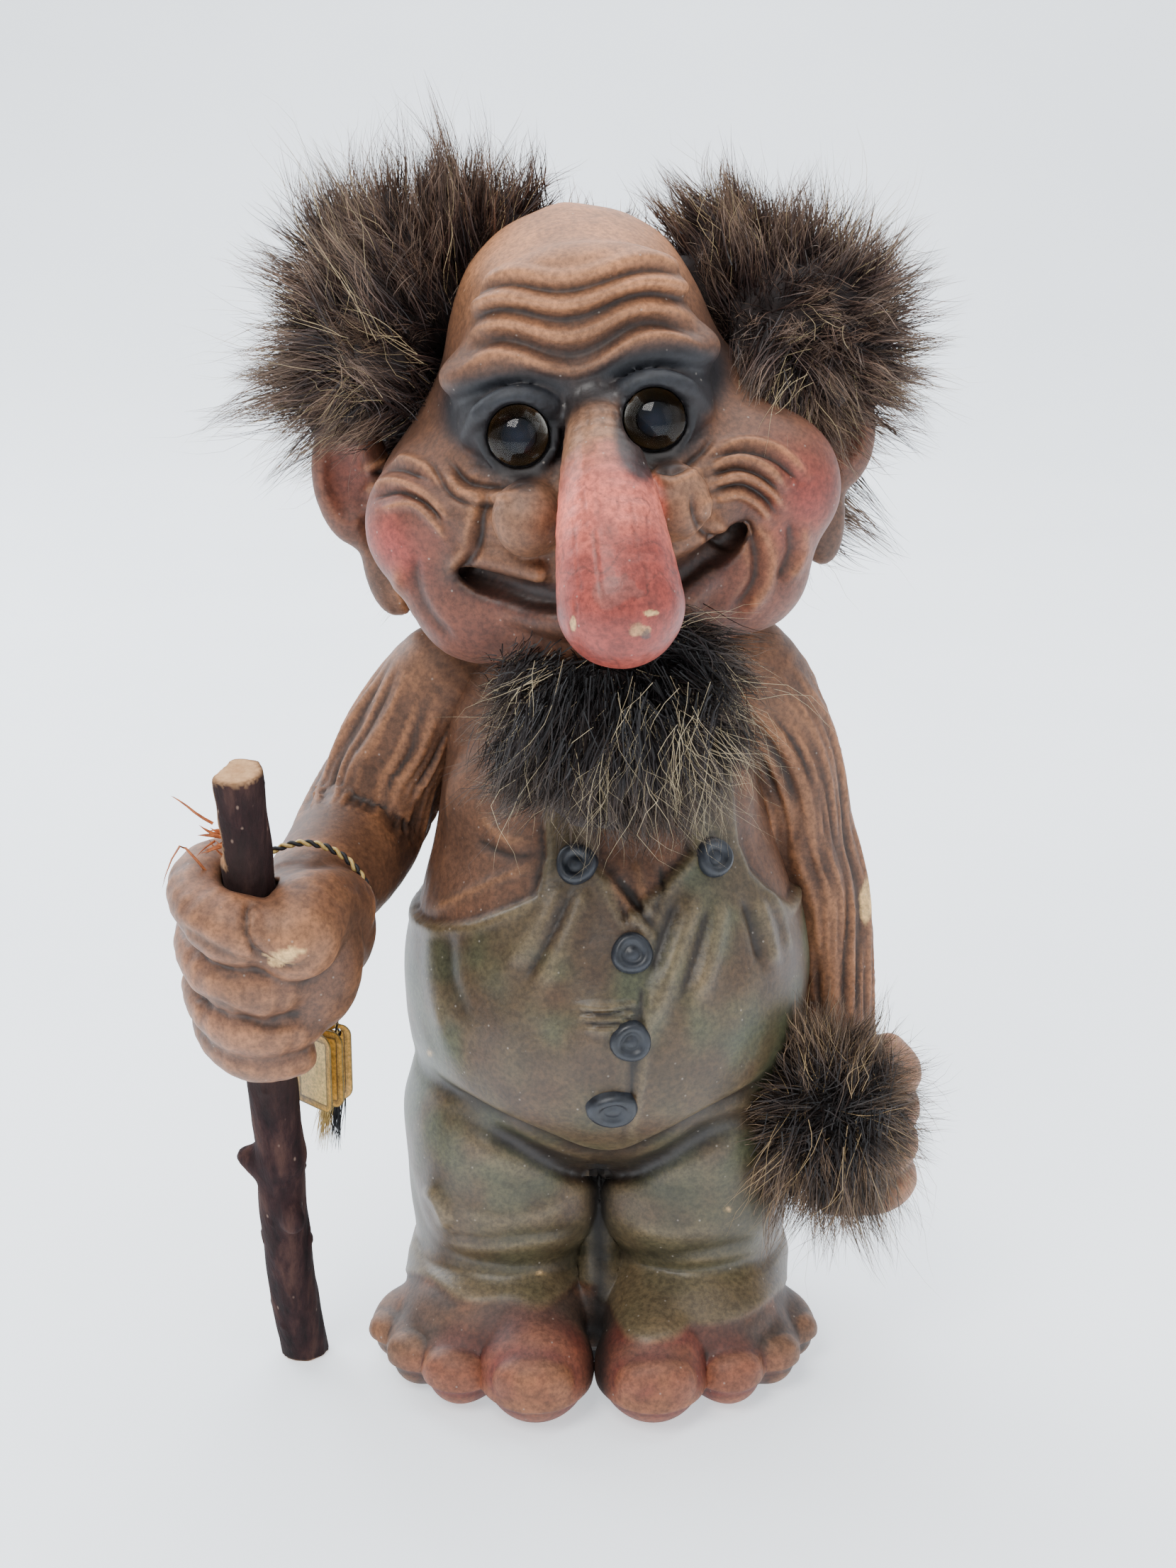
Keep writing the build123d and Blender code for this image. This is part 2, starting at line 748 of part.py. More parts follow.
for fold in range(brow_fold_count):
    level = brow_fold_first + fold * brow_fold_pitch
    share = (level + jaw_drop) / head_height
    half_width = head_width * between(head_shares, share, 3) / 2
    half_depth = head_depth * between(head_shares, share, 4) / 2
    middle = head_depth * between(head_shares, share, 2)
    ridge = []
    for k in range(brow_fold_rings + 1):
        angle = math.radians(brow_fold_sweep * (2 * k / brow_fold_rings - 1))
        rise = level + brow_fold_dip * math.cos(brow_fold_waves * angle)
        place = on_head(half_width * math.sin(angle), middle - half_depth * math.cos(angle), rise)
        along = unit(head_side * half_width * math.cos(angle) + head_frame.y_dir * half_depth * math.sin(angle))
        end_share = math.cos(math.pi / 2 * angle / math.radians(brow_fold_fade))
        ridge_plane = Plane(origin=place, x_dir=head_up, z_dir=along)
        ridge.append(oval(ridge_plane, brow_fold_radius * end_share, brow_fold_radius * end_share, sides=ridge_sides))
    head_forms.append(form(ridge))

with BuildLine() as mouth_line:
    Spline(*[on_head(*of_height(shares)) for shares in mouth_shares])
mouth_rings = []
for step in range(mouth_steps + 1):
    place = mouth_line.line @ (step / mouth_steps)
    frame = Plane(origin=place, x_dir=head_up, z_dir=mouth_line.line % (step / mouth_steps))
    mouth_rings.append(oval(frame, mouth_radius, mouth_radius, sides=ridge_sides))

with BuildPart() as head_casting:
    skull_frame = head_frame.offset(-jaw_drop)
    add(form(stack(skull_frame, head_height, head_width, head_depth, head_shares, sides=main_sides)))
    add(head_forms)
    add(ear_hollows, mode=Mode.SUBTRACT)
    add(form(mouth_rings), mode=Mode.SUBTRACT)
    for eye_plane in eye_planes:
        with BuildSketch(eye_plane.offset(-overrun)):
            Circle(eye_radius + lid_radius)
        extrude(amount=overrun + eye_back_height + lens_edge)
        with BuildSketch(eye_plane):
            Circle(eye_radius)
        extrude(amount=overrun + lens_dome, mode=Mode.SUBTRACT)
    add(torso.part, mode=Mode.SUBTRACT)
head_casting.part.label = "head_casting"

# Eyes
eye_parts = []
for side_name, eye_plane in zip(("right", "left"), eye_planes):
    with BuildPart() as eye_back:
        with BuildSketch(eye_plane):
            Circle(eye_radius)
        extrude(amount=eye_back_height)
        with BuildSketch(eye_plane.offset(eye_back_height)):
            Circle(pupil_radius)
        extrude(amount=pupil_height)
    eye_back.part.label = f"{side_name}_eye_back"
    rim = eye_back_height + lens_edge
    with BuildPart() as eye_lens:
        with BuildSketch(Plane(origin=eye_plane.origin, x_dir=eye_plane.x_dir, z_dir=-eye_plane.y_dir)):
            with BuildLine():
                Polyline((0, rim + lens_dome), (0, eye_back_height), (eye_radius, eye_back_height), (eye_radius, rim))
                RadiusArc((eye_radius, rim), (0, rim + lens_dome), -(eye_radius**2 + lens_dome**2) / (2 * lens_dome))
            make_face()
        revolve(axis=Axis(eye_plane.origin, eye_plane.z_dir))
        add(eye_back.part, mode=Mode.SUBTRACT)
    eye_lens.part.label = f"{side_name}_eye_lens"
    eye_parts += [eye_back.part, eye_lens.part]

# Staff
staff_top = Vector(staff_top_x, staff_top_y, staff_top_z)
staff_knot = Vector(staff_knot_x, staff_knot_y, staff_knot_z)
staff_shin = Vector(staff_shin_x, staff_shin_y, staff_shin_z)
staff_foot = Vector(staff_foot_x, staff_foot_y, 0)
staff_axis = unit(staff_top - staff_knot)


def on_staff(height):
    """The place on the staff's straight upper length at a height above the floor."""
    return staff_knot + staff_axis * ((height - staff_knot_z) / staff_axis.Z)


def staff_ring(place, direction, radius):
    """A ring of corners about the staff."""
    return oval(Plane(origin=place, x_dir=(1, 0, 0), z_dir=direction), radius, radius, sides=limb_sides)


with BuildLine() as shin_line:
    Spline(
        staff_knot,
        staff_shin,
        staff_foot - staff_axis * (overrun / staff_axis.Z),
        tangents=(-staff_axis, -staff_axis),
    )
staff_rings = [staff_ring(staff_top, -staff_axis, staff_radius)]
for step in range(staff_steps + 1):
    share = step / staff_steps
    staff_rings.append(staff_ring(shin_line.line @ share, shin_line.line % share, staff_radius))

with BuildPart() as staff:
    add(form(staff_rings))
    stub_lean = unit(Vector(-stub_length, 0, stub_rise))
    with BuildSketch(Plane(origin=staff_knot - staff_axis * stub_rise, x_dir=(0, 1, 0), z_dir=stub_lean)):
        Circle(stub_radius)
    extrude(amount=stub_length, taper=math.degrees(math.atan(stub_radius / stub_length / 3)))
    with BuildSketch(Plane(origin=staff_top, x_dir=(1, 0, 0), z_dir=staff_axis)):
        with Locations((-staff_radius, 0)):
            Rectangle(2 * peel_depth, 2 * staff_radius)
    extrude(amount=-peel_length, mode=Mode.SUBTRACT)
    split(bisect_by=Plane.XY, keep=Keep.TOP)
staff.part.label = "staff"

# Right arm casting: its fingers are rings round the staff
finger_lean = math.radians(finger_tilt)
finger_axis = unit(staff_axis * math.cos(finger_lean) + Vector(1, 0, 0) * math.sin(finger_lean))
finger_side = unit(Vector(1, 0, 0) - finger_axis * finger_axis.X)
finger_back = finger_axis.cross(finger_side)


def finger(height, thickness):
    """One finger, curled round the staff at a height."""
    rings = []
    for step in range(finger_steps + 1):
        turn = math.radians(finger_start + finger_arc * step / finger_steps)
        outward = finger_side * math.cos(turn) + finger_back * math.sin(turn)
        place = on_staff(height) + outward * finger_ring
        frame = Plane(origin=place, x_dir=outward, z_dir=finger_axis.cross(outward))
        rings.append(oval(frame, thickness / 2, thickness / 2, sides=fur_sides))
    return form(rings)


right_arm_forms = [
    limb([of_height(shares) for shares in right_arm_shares], Vector(1, 0, 0)),
    egg(Plane.XY.move(Location((palm_x, palm_y, palm_z))), palm_width, palm_depth, palm_height),
    limb([of_height(shares) for shares in thumb_shares], Vector(0, 0, 1)),
]
right_arm_forms += [finger(*of_height(shares)) for shares in finger_shares]
bore_radius = staff_radius + bore_clearance
bore = form([staff_ring(place, -staff_axis, bore_radius) for place in (staff_top, staff_knot)])
with BuildPart() as right_arm_casting:
    add(right_arm_forms)
    add(bore, mode=Mode.SUBTRACT)
    add(torso.part, mode=Mode.SUBTRACT)
right_arm_casting.part.label = "right_arm_casting"

# Left arm casting: a closed fist of four fingers
fist = Plane.XY.move(Location((left_fist_x, left_fist_y, left_fist_z)))
left_arm_forms = [
    limb([of_height(shares) for shares in left_arm_shares], Vector(1, 0, 0)),
    egg(fist, left_fist_width, left_fist_depth, left_fist_height),
]
for finger in range(left_finger_count):
    place = Location((left_finger_x, left_finger_y, left_finger_z - finger * left_finger_pitch))
    left_arm_forms.append(egg(Plane.XY.move(place), left_finger_length, left_finger_thickness, left_finger_thickness))
with BuildPart() as left_arm_casting:
    add(left_arm_forms)
    add(body_casting.part, mode=Mode.SUBTRACT)
left_arm_casting.part.label = "left_arm_casting"

# Tail
with BuildPart() as tail:
    add(limb([of_height(shares) for shares in tail_shares], Vector(0, 0, 1)))
    add(body_casting.part, mode=Mode.SUBTRACT)
    add(left_arm_casting.part, mode=Mode.SUBTRACT)
tail.part.label = "tail"

# Fur
with BuildPart() as right_hair:
    add(fur_mass(right_hair_body_shares, right_hair_lock_shares))
    add(head_casting.part, mode=Mode.SUBTRACT)
right_hair.part.label = "right_hair"

with BuildPart() as left_hair:
    add(fur_mass(left_hair_body_shares, left_hair_lock_shares))
    add(head_casting.part, mode=Mode.SUBTRACT)
left_hair.part.label = "left_hair"

with BuildPart() as back_hair:
    add(fur_mass(back_hair_body_shares, back_hair_lock_shares))
    add(head_casting.part, mode=Mode.SUBTRACT)
    add(right_hair.part, mode=Mode.SUBTRACT)
    add(left_hair.part, mode=Mode.SUBTRACT)
    add(torso.part, mode=Mode.SUBTRACT)
back_hair.part.label = "back_hair"

with BuildPart() as beard:
    chin_frame = Plane(origin=(beard_x, beard_y, beard_base))
    add(form(stack(chin_frame, beard_height, beard_width, beard_depth, beard_shares, sides=egg_sides)))
    add(fur_mass((), beard_lock_shares))
    add(head_casting.part, mode=Mode.SUBTRACT)
beard.part.label = "beard"

with BuildPart() as tail_tuft:
    add(fur_mass(tuft_body_shares, tuft_lock_shares))
    add(left_arm_casting.part, mode=Mode.SUBTRACT)
    add(body_casting.part, mode=Mode.SUBTRACT)
tail_tuft.part.label = "tail_tuft"

# Tag cord, its knot, and the drop that carries the tag
route = [Vector(*point) for point in cord_route]
bend_radii = []
for before, corner, after in zip(route, route[1:], route[2:]):
    run_in = corner - before
    run_out = after - corner
    half_turn = math.radians(run_in.get_angle(run_out)) / 2
    bend_radii.append(bend_share * min(run_in.length, run_out.length) / math.tan(half_turn))
print("cord bend radii:", ", ".join(f"{radius:.1f}" for radius in bend_radii))

with BuildPart() as tag_cord:
    with BuildLine() as loop_line:
        FilletPolyline(*route, radius=bend_radii)
    with BuildSketch(Plane(origin=loop_line.line @ 0, z_dir=loop_line.line % 0)):
        Circle(cord_radius)
    sweep(path=loop_line.line)
cord_length = sum(edge.length for edge in loop_line.edges())
print(f"cord length {cord_length:.1f}, volume {tag_cord.part.volume:.1f}",
      f"against {math.pi * cord_radius**2 * cord_length:.1f}")
tag_cord.part.label = "tag_cord"

knot_place = Vector(knot_x, knot_y, knot_z)
with BuildPart() as cord_knot:
    add(egg(Plane(origin=knot_place), 2 * knot_radius, 2 * knot_radius, 2 * knot_radius))
    add(tag_cord.part, mode=Mode.SUBTRACT)
cord_knot.part.label = "cord_knot"

spine = Vector(tag_x, tag_y, tag_z)


def leaf_plane(turn):
    """The upright plane of one leaf of the booklet, turned about the spine."""
    lean = math.radians(turn)
    return Plane(origin=spine, x_dir=(math.cos(lean), math.sin(lean), 0), z_dir=(math.sin(lean), -math.cos(lean), 0))


def leaf(turn, inner):
    """Adds one leaf with rounded outer corners to the part in progress."""
    with BuildSketch(leaf_plane(turn)) as outline:
        with Locations((inner, 0)):
            Rectangle(tag_width - inner, tag_height, align=(Align.MIN, Align.MIN))
        fillet(outline.vertices().group_by(Axis.X)[-1], radius=tag_corner)
    extrude(outline.sketch, amount=tag_sheet / 2, both=True)


back_plane = leaf_plane(tag_back_turn)
eyelet = back_plane.from_local_coords(Vector(tag_eyelet_x, tag_height - tag_eyelet_drop, 0))
eyelet_top = back_plane.from_local_coords(Vector(tag_eyelet_x, tag_height - tag_eyelet_drop + eyelet_ring, 0))

with BuildPart() as tag_back_cover:
    leaf(tag_back_turn, 0)
    with BuildSketch(Plane(origin=spine)):
        Circle(spine_radius)
    extrude(amount=tag_height)
    with BuildSketch(back_plane):
        with Locations((tag_eyelet_x, tag_height - tag_eyelet_drop)):
            Circle(tag_eyelet_radius)
    extrude(amount=overrun, both=True, mode=Mode.SUBTRACT)
tag_back_cover.part.label = "tag_back_cover"

with BuildPart() as tag_inner_leaf:
    leaf(tag_leaf_turn, tag_inner)
tag_inner_leaf.part.label = "tag_inner_leaf"

with BuildPart() as tag_front_cover:
    leaf(tag_front_turn, tag_inner)
tag_front_cover.part.label = "tag_front_cover"

with BuildPart() as cord_drop:
    hang = unit(eyelet_top - knot_place)
    drop_start = knot_place + hang * (knot_radius + soft_gap)
    with BuildSketch(Plane(origin=drop_start, z_dir=hang)):
        Circle(drop_radius)
    extrude(amount=(eyelet_top + Vector(0, 0, eyelet_ring) - drop_start).length)
    with BuildSketch(Plane(origin=eyelet_top, x_dir=(0, 0, -1), z_dir=back_plane.z_dir)):
        with Locations((eyelet_ring, 0)):
            RegularPolygon(eyelet_wire, ridge_sides)
    revolve(axis=Axis(eyelet_top, back_plane.x_dir))
cord_drop.part.label = "cord_drop"

with BuildPart() as cord_ends:
    for side in (-1, 1):
        tie = back_plane.from_local_coords(
            Vector(tag_eyelet_x + side * ends_width / 2, tag_height - tag_eyelet_drop, -ends_behind)
        )
        tip = back_plane.from_local_coords(
            Vector(tag_eyelet_x - ends_drift + side * ends_spread, tag_height - tag_eyelet_drop - ends_length, -ends_behind)
        )
        direction = unit(tip - tie)
        across = unit(back_plane.x_dir - direction * direction.dot(back_plane.x_dir))
        with BuildSketch(Plane(origin=tie, x_dir=across, z_dir=direction)) as tied:
            Rectangle(ends_width / 2, ends_sheet)
        with BuildSketch(Plane(origin=tip, x_dir=across, z_dir=direction)) as frayed:
            Rectangle(ends_width, ends_sheet)
        loft(sections=[tied.sketch, frayed.sketch])
cord_ends.part.label = "cord_ends"

pieces = [
    body_casting.part,
    base_plug.part,
    head_casting.part,
    right_arm_casting.part,
    left_arm_casting.part,
    tail.part,
    *eye_parts,
    right_hair.part,
    left_hair.part,
    back_hair.part,
    beard.part,
    tail_tuft.part,
    staff.part,
    tag_cord.part,
    cord_knot.part,
    cord_drop.part,
    cord_ends.part,
    tag_back_cover.part,
    tag_inner_leaf.part,
    tag_front_cover.part,
]
os.makedirs("parts", exist_ok=True)
for piece in pieces:
    export_step(piece, f"parts/{piece.label}.step")
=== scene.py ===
"""Looks of a standing folk figure of a long-nosed troll with a staff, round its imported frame."""

from __future__ import annotations

import logging
import math
from dataclasses import dataclass, field
from enum import Enum

import bpy
import numpy as np
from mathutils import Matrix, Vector


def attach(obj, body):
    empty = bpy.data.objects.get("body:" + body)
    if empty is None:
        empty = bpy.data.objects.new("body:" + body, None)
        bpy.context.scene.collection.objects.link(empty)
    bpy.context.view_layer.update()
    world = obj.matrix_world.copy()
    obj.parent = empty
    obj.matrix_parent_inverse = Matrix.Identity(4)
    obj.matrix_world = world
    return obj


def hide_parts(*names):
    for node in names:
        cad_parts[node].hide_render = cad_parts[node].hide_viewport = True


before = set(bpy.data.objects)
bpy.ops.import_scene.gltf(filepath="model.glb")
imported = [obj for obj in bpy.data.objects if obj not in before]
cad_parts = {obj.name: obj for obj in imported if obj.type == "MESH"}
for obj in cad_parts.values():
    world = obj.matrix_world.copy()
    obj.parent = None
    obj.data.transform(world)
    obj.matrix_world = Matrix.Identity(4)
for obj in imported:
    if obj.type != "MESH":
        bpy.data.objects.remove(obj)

log = logging.getLogger("figure")

# Shapes are worked out in millimetres in the row frame and made in metres.
MM = 0.001

Point = tuple[float, float, float]
Array = np.ndarray
Pair = tuple[Array, Array]
Rows = tuple[tuple[float, ...], ...]
Colour = tuple[float, float, float]
Material = bpy.types.Material
Socket = bpy.types.NodeSocket
Piece = bpy.types.Object
norm = np.linalg.norm


class Body(Enum):
    """The rigid bodies that pieces ride on."""

    FIGURE = "figure"
    STAFF = "staff"
    TAG = "tag"
    LEAF = "tag_leaf"
    FRONT = "tag_front"


# Small numeric helpers


def unit(vector: Array) -> Array:
    """A vector or rows of vectors scaled to length one."""
    length = norm(vector, axis=-1, keepdims=True)
    return vector / np.maximum(length, 1e-9)


def ease(low: float, high: float, value: Array) -> Array:
    """Zero below low, one above high, with a soft ramp between."""
    t = np.clip((value - low) / (high - low), 0, 1)
    return t * t * (3 - 2 * t)


def bell(distance: Array, width: float) -> Array:
    """One at no distance, falling softly over a width."""
    return np.exp(-((distance / width) ** 2))


def lattice(cells: Array, seed: int) -> Array:
    """A repeatable random number from -1 to 1 for each whole-number cell.

    Args:
        cells: Rows of three whole numbers.
        seed: Which of many patterns to give.

    Returns:
        One value for each row.
    """
    cells = cells.astype(np.int64)
    mixed = cells[..., 0] * 73856093 ^ cells[..., 1] * 19349663 ^ cells[..., 2] * 83492791 ^ (seed * 2654435)
    mixed = (mixed ^ (mixed >> 13)) * 1274126177 & 0x7FFFFFFF
    mixed = (mixed ^ (mixed >> 15)) & 0xFFFFF
    return mixed / float(0x7FFFF) - 1.0


def noise(points: Array, scale: float, seed: int = 0) -> Array:
    """Smooth random values over space.

    Args:
        points: Rows of places.
        scale: The size of one bump, in the points' unit.
        seed: Which of many patterns to give.

    Returns:
        One value from -1 to 1 for each row.
    """
    scaled = points / scale
    base = np.floor(scaled)
    t = scaled - base
    t = t * t * (3 - 2 * t)
    total = np.zeros(len(points))
    for i in (0, 1):
        for j in (0, 1):
            for k in (0, 1):
                weight = (
                    (t[:, 0] if i else 1 - t[:, 0])
                    * (t[:, 1] if j else 1 - t[:, 1])
                    * (t[:, 2] if k else 1 - t[:, 2])
                )
                total += weight * lattice(base + (i, j, k), seed)
    return total


def layered(points: Array, scale: float, seed: int = 0, layers: int = 3) -> Array:
    """Noise summed over layers, each half the size and half the strength of the last.

    Args:
        points: Rows of places.
        scale: The size of the largest bumps.
        seed: Which of many patterns to give.
        layers: How many layers are summed.

    Returns:
        One value for each row.
    """
    total = np.zeros(len(points))
    for layer in range(layers):
        total += noise(points, scale / 2**layer, seed + layer) / 2**layer
    return total


def resample(rows: Array, count: int) -> Array:
    """Rows of numbers brought to a count on a smooth curve through them.

    Args:
        rows: The rows that the curve goes through.
        count: How many rows to give.

    Returns:
        The new rows.
    """
    rows = np.asarray(rows, float)
    t = np.linspace(0, len(rows) - 1, count)
    k = np.clip(np.floor(t).astype(int), 0, len(rows) - 2)
    t = (t - k)[:, None]
    p, a, b, q = rows[np.maximum(k - 1, 0)], rows[k], rows[k + 1], rows[np.minimum(k + 2, len(rows) - 1)]
    return a + t * (b - p + t * (2 * p - 5 * a + 4 * b - q + t * (3 * a - p - 3 * b + q))) / 2


def line_distance(points: Array, line: Array) -> Pair:
    """How far each point is from a line of straight runs.

    Args:
        points: Rows of places.
        line: The line's corners in order.

    Returns:
        The distances, and for each the share of the line's length at its nearest point.
    """
    best = np.full(len(points), 1e9)
    along = np.zeros(len(points))
    lengths = norm(np.diff(line, axis=0), axis=1)
    starts = np.concatenate([[0], np.cumsum(lengths)])
    for k, length in enumerate(lengths):
        run = (line[k + 1] - line[k]) / max(length, 1e-9)
        t = np.clip((points - line[k]) @ run, 0, length)
        gap = norm(points - line[k] - t[:, None] * run, axis=1)
        closer = gap < best
        best[closer] = gap[closer]
        along[closer] = (starts[k] + t[closer]) / starts[-1]
    return best, along


# Camera place, which the strokes on the front also use

CAMERA = np.array([-1.3, -513.57, 290.87])
CAMERA_TILT = math.radians(18)
LENS_MM = 58.6


def seen_at(points: Array) -> Array:
    """Where points appear from the camera, as places on the upright plane through the origin.

    Args:
        points: Rows of places in millimetres.

    Returns:
        Rows of sideways place and height on the plane y = 0, in millimetres.
    """
    ray = points - CAMERA
    t = -CAMERA[1] / ray[:, 1]
    return np.stack([CAMERA[0] + t * ray[:, 0], CAMERA[2] + t * ray[:, 2]], axis=1)


# Clay: rounded forms blended on a grid, and the skin drawn over them


class Clay:
    """A block of clay, kept as distances on a grid."""

    def __init__(self, low: Point, high: Point, pitch: float) -> None:
        """Starts an empty block between two corners, with one grid step in millimetres.

        Args:
            low: The lower corner.
            high: The upper corner.
            pitch: One grid step in millimetres.
        """
        self.low = np.array(low, float)
        self.pitch = pitch
        counts = np.ceil((np.array(high, float) - self.low) / pitch).astype(int) + 1
        self.axes = [self.low[k] + pitch * np.arange(counts[k]) for k in range(3)]
        self.field = np.full(counts, 40, np.float32)

    def window(self, low: Array, high: Array) -> tuple[tuple[slice, ...], Array]:
        """The part of the grid between two corners, and its places.

        Args:
            low: The lower corner.
            high: The upper corner.

        Returns:
            The slices that cut the part out, and the place of each grid point in it.
        """
        cut = []
        for k in range(3):
            first = int(np.clip(np.searchsorted(self.axes[k], low[k]) - 1, 0, len(self.axes[k]) - 1))
            last = int(np.clip(np.searchsorted(self.axes[k], high[k]) + 1, first + 1, len(self.axes[k])))
            cut.append(slice(first, last))
        places = np.stack(np.meshgrid(*[self.axes[k][cut[k]] for k in range(3)], indexing="ij"), axis=-1)
        return tuple(cut), places

    def join(self, cut: tuple[slice, ...], distance: Array, soft: float, carve: bool = False) -> None:
        """Adds a form to the clay, or carves it out, with a soft seam of a given size.

        Args:
            cut: The part of the grid.
            distance: The form's distances there.
            soft: How far the seam blends.
            carve: True to take the form away.
        """
        old = self.field[cut]
        sign = -1.0 if carve else 1.0
        a = old * sign
        h = np.clip(0.5 + 0.5 * (a - distance) / soft, 0, 1)
        new = a * (1 - h) + distance * h - soft * h * (1 - h)
        self.field[cut] = (new * sign).astype(np.float32)

    def egg(self, centre: Point, radii: Point, soft: float = 2.0, turn: Array | None = None,
            carve: bool = False) -> None:
        """Adds or carves an ellipsoid.

        Args:
            centre: Its middle.
            radii: Its three half sizes.
            soft: How far its seam blends.
            turn: Rows of its own axes, or none for the frame's.
            carve: True to take it away.
        """
        centre, radii = np.array(centre, float), np.array(radii, float)
        reach = radii.max() + 3 * soft + 2 * self.pitch
        cut, places = self.window(centre - reach, centre + reach)
        local = places - centre
        if turn is not None:
            local = local @ np.asarray(turn).T
        near = norm(local / radii, axis=-1)
        slope = norm(local / radii**2, axis=-1)
        self.join(cut, near * (near - 1) / np.maximum(slope, 1e-6), soft, carve)

    def chain(self, rows: Array, soft: float = 2.0, carve: bool = False, count: int = 0) -> None:
        """Adds or carves a round limb along rows of a place and a radius.

        Args:
            rows: Rows of a place and a radius.
            soft: How far the seam blends.
            carve: True to take the limb away.
            count: How many rows to bring them to, or zero for none.
        """
        rows = np.asarray(rows, float)
        if count:
            rows = resample(rows, count)
        reach = rows[:, 3].max() + 3 * soft + 2 * self.pitch
        cut, places = self.window(rows[:, :3].min(axis=0) - reach, rows[:, :3].max(axis=0) + reach)
        shape = places.shape[:3]
        places = places.reshape(-1, 3)
        total = np.full(len(places), 1e3)
        for first, second in zip(rows, rows[1:]):
            run = second[:3] - first[:3]
            share = np.clip((places - first[:3]) @ run / max(run @ run, 1e-9), 0, 1)
            gap = norm(places - first[:3] - share[:, None] * run, axis=1)
            total = np.minimum(total, gap - (first[3] + (second[3] - first[3]) * share))
        self.join(cut, total.reshape(shape), soft, carve)

    def stack(self, origin: Point, size: Point, shares: Array, soft: float = 2.0, turn: Array | None = None,
              round_end: float = 3.0) -> None:
        """Adds a form of ovals one above another.

        Args:
            origin: The middle of the lowest oval's level.
            size: Full width, full depth and height.
            shares: Rows of height, shift sideways, shift in depth, width and depth.
            soft: How far its seam blends.
            turn: Rows of its own axes, or none for the frame's.
            round_end: How far the ends are rounded.
        """
        width, depth, height = size
        origin = np.array(origin, float)
        axes = np.eye(3) if turn is None else np.asarray(turn)
        middle = origin + axes[2] * height / 2
        reach = np.array([max(width, depth, height) * 0.75 + 3 * soft] * 3)
        cut, places = self.window(middle - reach, middle + reach)
        local = (places - origin) @ axes.T
        fine = resample(shares, 60)
        level = np.clip(local[..., 2] / height, 0, 1)
        side, fore, wide, deep = [np.interp(level, fine[:, 0], fine[:, k]) for k in (1, 2, 3, 4)]
        across = local[..., 0] - side * width
        inward = local[..., 1] - fore * depth
        half_width, half_depth = wide * width / 2, deep * depth / 2
        near = np.sqrt((across / half_width) ** 2 + (inward / half_depth) ** 2)
        slope = np.sqrt((across / half_width**2) ** 2 + (inward / half_depth**2) ** 2)
        ring = near * (near - 1) / np.maximum(slope, 1e-3)
        ends = np.maximum(-local[..., 2], local[..., 2] - height)
        h = np.clip(0.5 + 0.5 * (ends - ring) / round_end, 0, 1)
        self.join(cut, ring * (1 - h) + ends * h + round_end * h * (1 - h), soft)

    def floor(self, level: float) -> None:
        """Cuts the clay off flat below a level."""
        self.field = np.maximum(self.field, (level - self.axes[2])[None, None, :]).astype(np.float32)

    def skin(self) -> Pair:
        """The surface between clay and air.

        Returns:
            Rows of points, and rows of four point numbers for each face.
        """
        d = self.field
        inside = d < 0
        shape = np.array(d.shape) - 1
        total = np.zeros((*shape, 3), np.float32)
        count = np.zeros(shape, np.int16)
        crossings = []
        for axis in range(3):
            a = tuple(slice(0, -1) if k == axis else slice(None) for k in range(3))
            b = tuple(slice(1, None) if k == axis else slice(None) for k in range(3))
            change = inside[a] != inside[b]
            crossings.append((change, inside[a]))
            share = np.where(change, d[a] / np.where(change, d[a] - d[b], 1), 0)
            others = [k for k in range(3) if k != axis]
            for i in (0, 1):
                for j in (0, 1):
                    cut = [slice(None)] * 3
                    cut[others[0]] = slice(i, i + shape[others[0]])
                    cut[others[1]] = slice(j, j + shape[others[1]])
                    on = change[tuple(cut)]
                    count += on
                    total[..., axis] += np.where(on, share[tuple(cut)], 0)
                    total[..., others[0]] += np.where(on, i, 0)
                    total[..., others[1]] += np.where(on, j, 0)
        active = count > 0
        number = np.full(shape, -1, np.int64)
        number[active] = np.arange(active.sum())
        cells = np.argwhere(active)
        points = self.low + self.pitch * (cells + total[active] / count[active][:, None])
        faces = []
        for axis in range(3):
            change, start_inside = crossings[axis]
            others = [(axis + 1) % 3, (axis + 2) % 3]
            where = np.argwhere(change)
            keep = np.ones(len(where), bool)
            for other in others:
                keep &= (where[:, other] > 0) & (where[:, other] < shape[other])
            where = where[keep]
            corners = []
            for i, j in ((-1, -1), (0, -1), (0, 0), (-1, 0)):
                at = where.copy()
                at[:, others[0]] += i
                at[:, others[1]] += j
                corners.append(number[at[:, 0], at[:, 1], at[:, 2]])
            quads = np.stack(corners, axis=1)
            outward = start_inside[where[:, 0], where[:, 1], where[:, 2]]
            quads[~outward] = quads[~outward][:, ::-1]
            faces.append(quads)
        return points, np.concatenate(faces)


